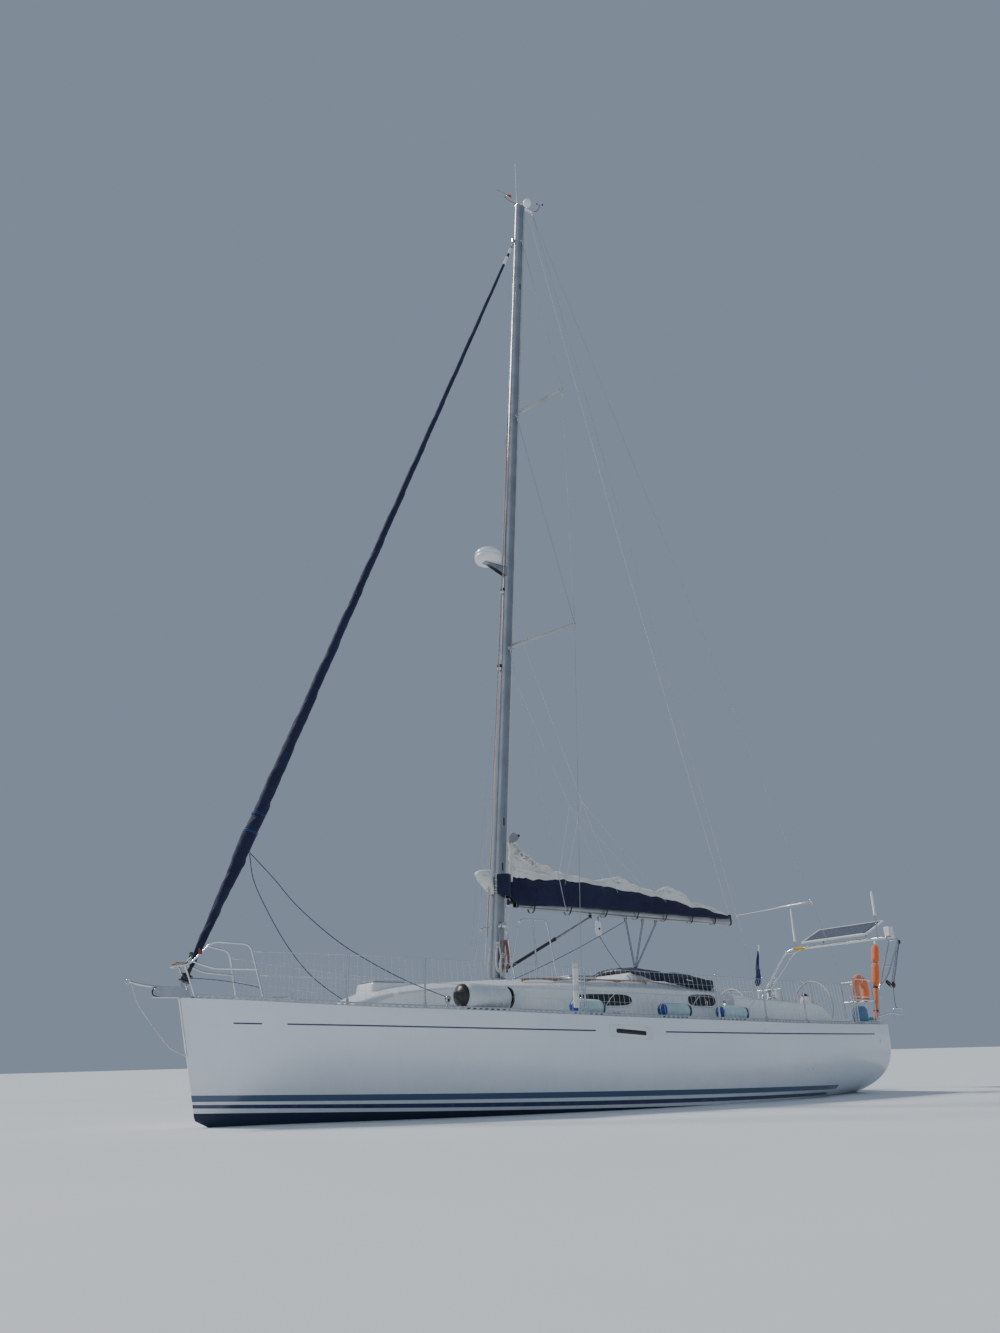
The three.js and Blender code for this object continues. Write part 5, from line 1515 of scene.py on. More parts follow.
@dataclass
class Coachroof:
    """The cabin's moulding with its windows, hatches, handrails, sliding hatch and garage."""

    hatchway: float = 0.345
    hatchway_fore: float = -1.78
    aft: float = -2.25
    garage: tuple[float, float, float, float] = (-1.05, -1.75, 0.429, 1.851)
    hatches: tuple = (("fore_hatch", 2.9, 1.668), ("saloon_hatch", -0.35, 1.792))
    windows: tuple = ((0.50, -0.50, 1.412, 0.076), (-1.56, -2.10, 1.412, 0.082))

    def build(self) -> None:
        """Makes and dresses the coachroof's pieces."""
        self.moulding()
        self.way_in()
        self.garage_top()
        for name, x, top in self.hatches:
            self.hatch(name, x, top)
        self.lights()
        self.handrails()

    def section(self, x: Array) -> Array:
        """Half sections from the deck up: a leaning side, a rounded shoulder, a crown that falls as a power.

        Args:
            x: places along the roof.

        Returns:
            A row of points for each place.
        """
        half, shoulder, _ = (v[:, None] for v in roof_row(x))
        low = np.concatenate(
            [0 * half + 0.95, np.linspace(0, 1, 7)[None] * (shoulder - 0.055 - 1.1) + 1.1], 1
        )
        side = joined(roof_side(x[:, None], low), low)
        turn = np.linspace(0.15, 1.0, 6)[None] * 1.25
        bend = joined(half - 0.03 + 0.05 * np.cos(turn), shoulder - 0.055 + 0.055 * np.sin(turn))
        gate = np.minimum(self.hatchway, 0.6 * (half - 0.03))
        outer = gate + (half - 0.045 - gate) * np.linspace(1, 0, 12)[None]
        inner = gate * np.linspace(1, 0, 6)[None, 1:]
        y = np.concatenate([outer, inner], 1)
        top = joined(y, roof_top(x[:, None], y))
        return np.concatenate([side, bend, top], 1)

    def moulding(self) -> None:
        """The roof as a grid of sections that is open at the hatchway, and its aft bulkhead."""
        x = np.concatenate(
            [np.linspace(3.62, 2.0, 36), np.linspace(1.9, -1.7, 40), [-1.78], np.linspace(-1.9, self.aft, 6)]
        )
        flat = self.section(x)
        half = np.concatenate([x[:, None, None] + 0 * flat[..., :1], flat], -1)
        whole = np.concatenate([half, mirrored(half[:, -2::-1], -1)], 1)
        middle = (whole[1:, 1:] + whole[:-1, :-1]) / 2
        hole = (middle[..., 0] < self.hatchway_fore) & (np.abs(middle[..., 1]) < self.hatchway)
        uv = joined(whole[..., 0], np.minimum(0.5, 0.9 * (flat[:, :1, 0] - np.abs(whole[..., 1]))))
        shape = Shape().grid(whole, keep=~hole, uv=uv)
        end = half[-1]
        end = end[end[:, 1] > 0.30]
        for side in SIDES.values():
            rows = np.stack([end, joined(end[:, 0], end[:, 1], 1.05)])
            shape.grid(mirrored(rows, side), uv=np.zeros((2, len(end), 2)))
        piece("coachroof_moulding", shape, DECK, replaces=["coachroof"], trim=Trim(sharp=46))

    def way_in(self) -> None:
        """The hatchway's lining, sill, steps, washboard, runners and the sliding hatch with its grip."""
        lining = Shape()
        x0, x1, y, low = -2.2, -1.78, 0.30, 0.43
        ring = arr([(x0, -y, low), (x0, y, low), (x1, y, low), (x1, -y, low)])
        top = ring * [1, 1, 0] + [0, 0, 1.74]
        top[:2, 2] = 1.14
        lining.grid(np.stack([ring, top]), closed=True)
        lining.grid(np.stack([ring[:2], ring[[3, 2]]]))
        lining.block((-2.25, -y, 0.98), (-2.2, y, 1.142))
        for side in SIDES.values():
            a, b = sorted([side * 0.30, side * 0.332])
            lining.block((-2.25, a, 1.05), (-2.2, b, 1.755))
        piece("hatchway_lining", lining, GELCOAT)
        steps = Shape()
        for k in range(3):
            steps.block((-2.19 + 0.1 * k, -0.26, 0.9 - 0.17 * k), (-2.0 + 0.1 * k, 0.26, 0.922 - 0.17 * k))
        piece("hatchway_steps", steps, TEAK, trim=Trim(bevel=0.004))
        board = Shape().block((-2.238, -0.2997, 1.143), (-2.22, 0.2997, 1.766))
        piece("washboard_panel", board, TEAK, replaces=["washboard"], trim=Trim(bevel=0.003))
        vents = Shape()
        for k in range(4):
            vents.block((-2.2405, -0.12, 1.52 + 0.03 * k), (-2.2378, 0.12, 1.535 + 0.03 * k))
        piece("washboard_vents", vents, BLACK)
        runners = Shape()
        for side in SIDES.values():
            a, b = sorted([side * 0.332, side * 0.362])
            runners.block((-2.25, a, 1.70), (-1.15, b, 1.774))
        piece("hatch_runners", runners, TRACK, trim=Trim(bevel=0.003))
        self.slab("sliding_hatch", "companionway_hatch", (-2.3, -1.705), 0.37, 1.7743, 0.034)
        grip = Shape().tube(
            rounded(
                [(-2.27, -0.16, 1.806), (-2.27, -0.15, 1.838), (-2.27, 0.15, 1.838), (-2.27, 0.16, 1.806)],
                0.02
            ), 0.007
        )
        piece("sliding_hatch_grip", grip, STEEL, "companionway_hatch")

    def slab(
        self, name: str, body: str, ends: tuple[float, float], half: float, low: float, thick: float
    ) -> None:
        """A hatch: rings of a rounded rectangle for the metal frame, and a slightly crowned pane inside it.

        Args:
            name: the name that the pieces start with.
            body: the body that it rides on.
            ends: its foremost and aftmost x.
            half: half its width.
            low: the height of its underside.
            thick: its thickness.
        """
        centre, long = sum(ends) / 2, (ends[1] - ends[0]) / 2
        turn = whole_turn(64)
        c, s = np.cos(turn), np.sin(turn)
        x = pressed(c, 0.24)
        y = pressed(s, 0.24)

        def ring(inset: float, z: float) -> Array:
            """The rounded rectangle, drawn in by an inset, at a height."""
            return joined(centre + x * (long - inset), y * (half - inset), z)

        top = low + thick
        rows = [
            (0.03, low), (0.0, low + 0.002), (0.0, top - 0.012), (0.006, top - 0.004), (0.018, top - 0.001),
            (0.036, top - 0.001), (0.04, top - 0.006), (0.04, low)
        ]
        metal = Shape().grid(np.stack([ring(*r) for r in rows]), closed=True)
        piece(name + "_frame", metal, SPAR, body, [body])
        rows = [
            (0.0405, low + 0.004), (0.0405, top - 0.005), (0.046, top - 0.002), (0.1, top),
            (0.2, top + 0.001), (min(half, long) - 0.0005, top + 0.001)
        ]
        pane = Shape().grid(np.stack([ring(*r) for r in rows]), closed=True)
        pane.grid(
            np.stack([ring(0.0405, low + 0.004), ring(min(half, long) - 0.001, low + 0.004)]), closed=True
        )
        piece(name + "_pane", pane, SMOKE, body)

    def hatch(self, name: str, x: float, top: float) -> None:
        """A hinged hatch: a moulded kerb with a dark well, the lid, and its hinges and catches.

        Args:
            name: the name that the pieces start with.
            x: its middle's x.
            top: the height of its top.
        """
        kerb = Shape()
        turn = whole_turn(64)
        c = pressed(np.cos(turn), 0.22)
        s = pressed(np.sin(turn), 0.22)

        def ring(half: float, z: float) -> Array:
            """The rounded square of a half width, at a height."""
            return joined(x + c * half, s * half, z)

        rows = [
            (0.285, top - 0.16), (0.272, top - 0.03), (0.262, top - 0.006), (0.258, top), (0.232, top),
            (0.228, top - 0.005), (0.228, top - 0.05)
        ]
        kerb.grid(np.stack([ring(*r) for r in rows]), closed=True)
        piece(name + "_kerb", kerb, GELCOAT)
        well = Shape().grid(np.stack([ring(0.2285, top - 0.048), ring(0.0005, top - 0.048)]), closed=True)
        piece(name + "_well", well, GREY)
        self.slab(name, name, (x - 0.25, x + 0.25), 0.25, top + 0.0003, 0.030)
        hinges, catches = Shape(), Shape()
        for y in (-0.15, 0.15):
            hinges.pin(0.007, 0.03, (x + 0.252, y, top + 0.006), (0, 1, 0), 12)
            catches.block((x - 0.2, y - 0.02, top + 0.0292), (x - 0.165, y + 0.02, top + 0.0335))
        piece(name + "_hinges", hinges, SPAR)
        piece(name + "_catches", catches, BLACK, name, trim=Trim(bevel=0.0015))

    def garage_top(self) -> None:
        """The cover that the hatch slides under: a rounded arch carried forward, drawn down at its front."""
        fore, aft, half, top = self.garage
        arch = rounded([(half, 1.62), (half, top), (-half, top), (-half, 1.62)], 0.05, 7)
        x = np.array([aft, aft + 0.3, fore - 0.06, fore - 0.035, fore - 0.018, fore - 0.012])
        inward = np.array([1, 1, 1, 0.985, 0.94, 0.0])
        centre = np.array([0, 1.62])
        section = centre + (arch[None] - centre) * inward[:, None, None]
        rows = np.concatenate([np.broadcast_to(x[:, None, None], section[..., :1].shape), section], -1)
        piece("hatch_garage", Shape().grid(rows), GELCOAT, trim=Trim(sharp=50, wall=0.02))

    def wall_rings(self, fore: float, aft: float, z: float, high: float, out: float, grow: float) -> Array:
        """Rings of a long oval on the coachroof's side, x and z as powers of cosine and sine.

        Args:
            fore: its foremost x.
            aft: its aftmost x.
            z: its middle's height.
            high: half its height.
            out: the distance outside the wall.
            grow: how much larger than the oval the ring is.

        Returns:
            A ring of points.
        """
        turn = np.linspace(0, 2 * math.pi, 73)
        r = np.array([0.0, 0.6, 0.9, 1.0])[:, None]
        long = (fore - aft) / 2 + grow
        x = (fore + aft) / 2 + r * long * pressed(np.cos(turn), 0.75 * high / long + 0.25)
        height = z + r * (high + grow) * pressed(np.sin(turn), 0.8)
        return joined(x, roof_side(x, height) + out, height)

    def lights(self) -> None:
        """The side windows: a smoked pane in a pale raised rim with a dark joint."""
        panes, rims, joints = Shape(), Shape(), Shape()
        for fore, aft, z, high in self.windows:
            for side in SIDES.values():
                panes.grid(mirrored(self.wall_rings(fore, aft, z, high, 0.004, 0.0), side))
                rims.hoop(
                    mirrored(self.wall_rings(fore, aft, z, high, 0.004, 0.012)[-1][:-1], side), 0.011, 10
                )
                joints.hoop(
                    mirrored(self.wall_rings(fore, aft, z, high, 0.004, 0.001)[-1][:-1], side), 0.0035, 6
                )
        piece("cabin_windows", panes, SMOKE)
        piece("cabin_window_rims", rims, PALE)
        piece("cabin_window_joints", joints, BLACK)

    def handrails(self) -> None:
        """Teak handrails: a bar that rises from foot to foot along the roof's shoulder."""
        shape = Shape()
        x = np.linspace(1.15, -1.0, 120)
        hump = np.abs(np.sin((x + 1.0) / 2.15 * 4 * math.pi)) ** 0.35
        for side in SIDES.values():
            y = roof_row(x)[0] - 0.21
            base = roof_top(x, y)
            path = joined(x, side * y, base + 0.046)
            low = joined(x, side * y, base + 0.034 * hump)
            rows = np.stack(
                [
                    path + [0, -0.013, 0], path + [0, -0.008, 0.007], path + [0, 0.008, 0.007],
                    path + [0, 0.013, 0], low + [0, 0.013, 0], low + [0, -0.013, 0]
                ], 1
            )
            shape.grid(rows, closed=True, caps=True)
        piece("roof_handrails", shape, TEAK_LONG)


@dataclass
class Cockpit:
    """The cockpit's tub, coamings, winches, seat lids and sole."""

    sole: float = 0.70
    seat: float = 0.99
    well: float = 0.42
    seat_half: float = 1.22
    helm_half: float = 1.385
    fore: float = -2.33
    seat_aft: float = -4.1
    aft: float = -5.18
    lid_hinges: tuple[float, float] = (-3.6, -2.95)
    coaming: Array = field(
        default_factory=lambda: arr(
            [  # minus x, inner face, outer face, top
                (2.262, 1.230, 1.415, 1.500),
                (2.700, 1.230, 1.425, 1.440),
                (3.600, 1.235, 1.440, 1.375),
                (4.140, 1.262, 1.440, 1.330),
                (4.330, 1.330, 1.436, 1.180),
            ]
        )
    )
    winch: tuple[float, float, float] = (-3.15, 1.335, 1.4133)

    def build(self) -> None:
        """Makes and dresses the cockpit's pieces."""
        self.tub()
        self.coamings()
        self.winches()
        self.lids()

    def tub(self) -> None:
        """Rounded profiles across, carried along: seats forward, a wide well aft, and walls at their ends."""
        shape = Shape()
        seat = [
            (self.seat_half, 1.2), (self.seat_half, self.seat), (self.well, self.seat),
            (self.well, self.sole), (0.0, self.sole)
        ]
        helm = [(self.helm_half, 1.13), (self.helm_half, self.sole), (0.0, self.sole)]

        def whole(profile: list) -> Array:
            """A half section with eased corners and its mirror image."""
            half = rounded(profile, 0.035, 6)
            return np.vstack([half, (half * [-1, 1])[-2::-1]])

        def at(x: float, profile: Array) -> Array:
            """A section's points at a place along the cockpit."""
            return np.column_stack([np.full(len(profile), x), profile])

        seats, helms = whole(seat), whole(helm)
        shape.grid(np.stack([at(x, seats) for x in np.linspace(self.fore, self.seat_aft, 12)]))
        shape.grid(np.stack([at(x, helms) for x in np.linspace(self.seat_aft, self.aft, 8)]))
        top = np.column_stack([seats[:, 0], np.full(len(seats), 1.19)])
        shape.grid(np.stack([at(self.fore, seats), at(self.fore, top)]))
        wide = np.vstack([[(self.helm_half, 1.12)], seats, [(-self.helm_half, 1.12)]])
        wide[1, 1] = wide[-2, 1] = 1.12
        down = np.column_stack([wide[:, 0], np.full(len(wide), self.sole)])
        shape.grid(np.stack([at(self.seat_aft, wide), at(self.seat_aft, down)]))
        top = np.column_stack([helms[:, 0], np.full(len(helms), 1.09)])
        shape.grid(np.stack([at(self.aft, helms), at(self.aft, top)]))
        piece("cockpit_tub", shape, GELCOAT, trim=Trim(sharp=50))
        boards = Shape()
        boards.block((-4.05, -0.37, self.sole + 0.001), (-2.40, 0.37, self.sole + 0.012))
        boards.block((-5.12, -0.80, self.sole + 0.001), (-4.14, 0.80, self.sole + 0.012))
        for side in SIDES.values():
            for x0, x1 in [(-2.66, -2.37), (-4.07, -3.88)]:
                a, b = sorted([side * 0.47, side * 1.16])
                boards.block((x0, a, self.seat + 0.001), (x1, b, self.seat + 0.011))
        piece("cockpit_boards", boards, TEAK, trim=Trim(bevel=0.003))
        drains = Shape()
        for y in (-0.3, 0.3):
            drains.lathe([(0, 0.0), (0.035, 0.0), (0.03, 0.004), (0, 0.003)], (-5.15, y, self.sole), sides=18)
        piece("cockpit_drains", drains, STEEL)

    def coamings(self) -> None:
        """Coamings: the table's faces and top read along the length, corners rounded and ends closed."""
        for name, side in SIDES.items():
            t = np.linspace(2.262, 4.33, 40)
            inner, outer, top = (
                hermite(self.coaming[:, 0], self.coaming[:, k], t)[:, None] for k in (1, 2, 3)
            )
            a = np.linspace(0, math.pi / 2, 5)[None]
            y = np.concatenate(
                [inner, inner + 0.02 * (1 - np.cos(a)), outer - 0.055 + 0.055 * np.sin(a), outer], 1
            )
            z = np.concatenate(
                [
                    0 * inner + 1.0, top - 0.02 + 0.02 * np.sin(a), top - 0.055 + 0.055 * np.cos(a),
                    0 * inner + 1.0
                ], 1
            )
            rows = joined(-t[:, None], side * y, z)
            shape = Shape().grid(rows, caps=True)
            x, yw, zw = self.winch
            shape.lathe(
                [(0.09, -0.1), (0.086, -0.01), (0.08, 0), (0, 0)], (x, side * yw, zw - 0.0005), sides=28
            )
            piece(
                "coaming_moulding_" + name, shape, GELCOAT, replaces=["coaming_" + name], trim=Trim(sharp=46)
            )

    def winches(self) -> None:
        """Winches: a turned base, a waisted ribbed drum, a self-tailing jaw and the socket on top."""
        x, y, z = self.winch
        base = [
            (0, 0), (0.072, 0), (0.072, 0.008), (0.068, 0.014), (0.068, 0.022), (0.056, 0.034), (0.052, 0.04)
        ]
        drum = base + [
            (0.049, 0.05), (0.0475, 0.07), (0.048, 0.09), (0.052, 0.105), (0.058, 0.118), (0.06, 0.126)
        ]
        jaw = drum + [
            (0.05, 0.128), (0.05, 0.133), (0.062, 0.136), (0.062, 0.147), (0.05, 0.152), (0.024, 0.158),
            (0.014, 0.160), (0.012, 0.152), (0, 0.152)
        ]
        for name, side in SIDES.items():
            shape = Shape().lathe(jaw, (x, side * y, z), sides=36)
            turn = np.arange(18) / 18 * 2 * math.pi
            ring = joined(np.cos(turn), np.sin(turn))
            foot = np.concatenate([arr([x, side * y])[None] + 0.0495 * ring, np.full((18, 1), z + 0.05)], 1)
            path = np.stack(
                [
                    foot + [0, 0, h] + np.column_stack([ring * w, np.zeros(18)]) for h,
                    w in [(0, 0.0), (0.03, -0.0025), (0.06, 0.004)]
                ], 1
            )
            shape.strands(path, 0.0018, 4)
            piece("winch_drum_" + name, shape, STEEL, replaces=["winch_" + name], trim=Trim(sharp=35))

    def lids(self) -> None:
        """Seat lids: laid teak on a thin tray, with a drain groove round it and two hinges outboard."""
        for name, side in SIDES.items():
            body = "locker_lid_" + name
            a, b = sorted([side * 0.472, side * 1.158])
            tray = Shape().block((-3.848, a, 0.9904), (-2.702, b, 1.004))
            piece("seat_lid_tray_" + name, tray, GELCOAT, body, trim=Trim(bevel=0.003))
            a, b = sorted([side * 0.485, side * 1.145])
            top = Shape().block((-3.835, a, 1.004), (-2.715, b, 1.0178))
            piece("seat_lid_" + name, top, TEAK, body, [body], trim=Trim(bevel=0.003))
            hinges = Shape()
            for x in self.lid_hinges:
                hinges.pin(0.006, 0.03, (x, side * 1.163, 1.012), (1, 0, 0), 12)
            piece("seat_lid_hinges_" + name, hinges, STEEL)


# Rails, bow and stern


def bent(points: Sequence[Point], side: float = 1.0, ease: float = 0.07) -> Array:
    """A bar's path with eased bends, on one side."""
    return mirrored(rounded(points, ease, 7), side)


def flange(shape: Shape, at: Point, radius: float = 0.036, high: float = 0.006) -> None:
    """Adds a bar's foot: a thin round plate with a short collar."""
    profile = [
        (0, -0.012), (radius, -0.012), (radius, high * 0.6), (radius * 0.92, high), (0.019, high),
        (0.017, high + 0.02), (0.0, high + 0.02)
    ]
    shape.lathe(profile, at, sides=20)


@dataclass
class Rails:
    """Toerails, stanchions, lifelines and the net between them, on both sides."""

    posts: tuple[float, ...] = (3.82, 2.90, 0.70, -1.56, -2.52, -3.43, -4.75)
    inset: float = 0.062
    high: float = 0.62
    ends: tuple[float, float] = (5.455, -5.455)
    slot_pitch: float = 0.078
    net_pitch: float = 0.082

    def build(self) -> None:
        """Makes each side's rail."""
        for name, side in SIDES.items():
            self.toerail(name, side)
            self.stanchions(name, side)
            self.lines(name, side)
            self.lead(name, side)
        self.cleats()

    def toerail(self, name: str, side: float) -> None:
        """A flange and a bulb along the deck's edge, and between them a fin with a slot each pitch.

        Args:
            name: the name that the pieces start with.
            side: 1 for port, -1 for starboard.
        """
        start = np.arange(self.ends[0], self.ends[1], -self.slot_pitch)[:, None]
        x = (start - np.array([0.0, 0.019, 0.061])).ravel()
        high = np.array([-0.002, 0.013, 0.029, 0.040])
        rows = joined(x[:, None], side * (FORM.half(x)[:, None] - 0.009), FORM.edge(x)[:, None] + high)
        keep = np.ones((len(x) - 1, 3), bool)
        keep[1::3, 1] = False
        piece("toerail_fin_" + name, Shape().grid(rows, keep=keep), TOERAIL, trim=Trim(wall=0.005))
        x = np.linspace(*self.ends, 90)
        y, z = FORM.half(x) - 0.009, FORM.edge(x)
        shape = Shape().tube(joined(x, side * y, z + 0.041), 0.0062, 10)
        ring = [(0.006, -0.004), (0.006, 0.004), (-0.026, 0.006), (-0.027, -0.002)]
        shape.grid(np.stack([joined(x, side * (y + a), z + b) for a, b in ring], 1), closed=True, caps=True)
        piece("toerail_" + name, shape, TOERAIL, replaces=["rail_" + name])

    def post_points(self, x: Array, high: float) -> Array:
        """The point of each post at a height above the deck, leaning in a little."""
        y = FORM.half(x) - self.inset
        return joined(x, y - 0.008 * high / self.high, FORM.deck(x, y) + high)

    def stanchions(self, name: str, side: float) -> None:
        """Posts in sockets on bolted feet, each with a domed cap and eyes for the lines.

        Args:
            name: the name that the pieces start with.
            side: 1 for port, -1 for starboard.
        """
        x = arr(self.posts)
        low, top = self.post_points(x, 0.0), self.post_points(x, self.high)
        shape = Shape()
        for a, b in zip(mirrored(low, side), mirrored(top, side)):
            along = b - a
            shape.lathe(
                [
                    (0, 0.0), (0.0125, 0.0), (0.0125, self.high - 0.006), (0.009, self.high),
                    (0, self.high + 0.002)
                ], a, along, 14
            )
            for share in (0.5, 0.975):
                shape.pin(0.006, 0.022, a + along * share, (0, 1, 0), 8)
        piece("stanchions_" + name, shape, STEEL)
        feet = Shape()
        for a in mirrored(low, side):
            feet.lathe(
                [(0.0, 0.004), (0.019, 0.004), (0.0185, 0.075), (0.0165, 0.085), (0.0126, 0.086)], a, sides=18
            )
            feet.bar(a + [0.034, 0, 0.004], a + [-0.034, 0, 0.004], 0.075, 0.008)
            feet.bar(a + [0.028, side * 0.035, 0.012], a + [-0.028, side * 0.035, 0.012], 0.008, 0.03)
        piece("stanchion_feet_" + name, feet, TOERAIL, trim=Trim(bevel=0.0015))

    def line_points(self, high: float, bow: Point, stern: Point) -> Array:
        """A line's corners: the bow rail, each post at a height, and the stern rail."""
        return np.vstack([bow, self.post_points(arr(self.posts), high), stern])

    def lines(self, name: str, side: float) -> None:
        """Two lifelines with their end screws, and a net of upright cords and three long ones.

        Args:
            name: the name that the pieces start with.
            side: 1 for port, -1 for starboard.
        """
        top = self.line_points(0.605, (4.894, 0.441, 2.0), (-4.83, 1.545, 1.735))
        middle = self.line_points(0.31, (4.815, 0.476, 1.715), (-4.83, 1.545, 1.42))
        shape = Shape().tube(mirrored(top, side), 0.0032, 8).tube(mirrored(middle, side), 0.0028, 8)
        piece("lifelines_" + name, shape, WIRE)
        screws = Shape()
        for line in (top, middle):
            for a, b in ((line[0], line[1]), (line[-1], line[-3])):
                way = unit(b - a)
                profile = [
                    (0, 0.02), (0.004, 0.02), (0.004, 0.05), (0.0075, 0.055), (0.0075, 0.15), (0.004, 0.155),
                    (0.004, 0.21), (0, 0.21)
                ]
                screws.lathe(profile, mirrored(a, side), mirrored(way, side), 12)
        piece("lifeline_screws_" + name, screws, STEEL)
        x = np.arange(4.86, -4.80, -self.net_pitch)
        order = np.argsort(top[:, 0])
        high = np.stack([x] + [np.interp(x, top[order, 0], top[order, k]) for k in (1, 2)], -1)
        low = joined(x, FORM.half(x) - 0.014, FORM.edge(x) + 0.036)
        t = np.array([0.0, 0.33, 0.66, 1.0])[None, :, None]
        wander = 0.006 * np.sin(np.arange(len(x)) * 2.4)[:, None, None] * np.sin(t * math.pi)
        paths = low[:, None] * (1 - t) + high[:, None] * t + wander * np.array([1.0, 0.2, 0])
        net = Shape().strands(mirrored(paths, side), 0.0019, 3, (1.0, 0.3, 0.0))
        share = np.array([0.26, 0.5, 0.76])[:, None, None]
        ripple = 0.007 * np.sin(np.arange(len(x)) * math.pi)[None, :, None] * np.array([0, 0, 1])
        net.strands(mirrored(low[None] * (1 - share) + high[None] * share + ripple, side), 0.0016, 3)
        piece("guard_net_" + name, net, NETTING)

    def lead(self, name: str, side: float) -> None:
        """The sheet's stand-up block: a slide on the rail, a stem, two cheeks and the wheel between them.

        Args:
            name: the name that the pieces start with.
            side: 1 for port, -1 for starboard.
        """
        at = np.array([2.615, side * 1.352, 1.400])
        block = Shape().sheave(0.034, 0.03, 0.011, at, (0, 1, 0), 28)
        piece("sheet_block_wheel_" + name, block, BLACK)
        metal = Shape()
        for y in (-0.0165, 0.0165):
            metal.sheave(0.036, 0.04, 0.003, at + [0, y, 0], (0, 1, 0), 28)
            metal.bar(at + [0, y, 0.0], at + [0, y, -0.06], 0.034, 0.006, (0, 1, 0))
        metal.lathe(
            [(0, -0.05), (0.012, -0.05), (0.012, -0.075), (0.02, -0.08), (0.02, -0.095), (0, -0.095)], at,
            sides=16
        )
        y = side * (float(FORM.half(2.615)) - 0.02)
        metal.bar((2.67, y, 1.318), (2.56, y, 1.318), 0.045, 0.022)
        piece("sheet_block_" + name, metal, STEEL, trim=Trim(bevel=0.001))

    def cleats(self) -> None:
        """Mooring cleats: two feet under a bar whose horns taper."""
        shape = Shape()
        for x in (4.55, 0.2, -5.3):
            for side in SIDES.values():
                y = float(FORM.half(x)) - 0.075
                z = float(FORM.deck(x, y))
                t = np.linspace(-1, 1, 17)
                path = joined(x + 0.13 * t, side * y, z + 0.052 + 0.012 * t**2)
                shape.tube(path, 0.0125 * np.sqrt(np.clip(1.06 - np.abs(t) ** 3, 0.02, 1)), 10)
                for dx in (-0.035, 0.035):
                    shape.lathe(
                        [(0.021, -0.004), (0.02, 0.004), (0.011, 0.02), (0.011, 0.05)], (x + dx, side * y, z),
                        sides=14
                    )
        piece("deck_cleats", shape, STEEL)


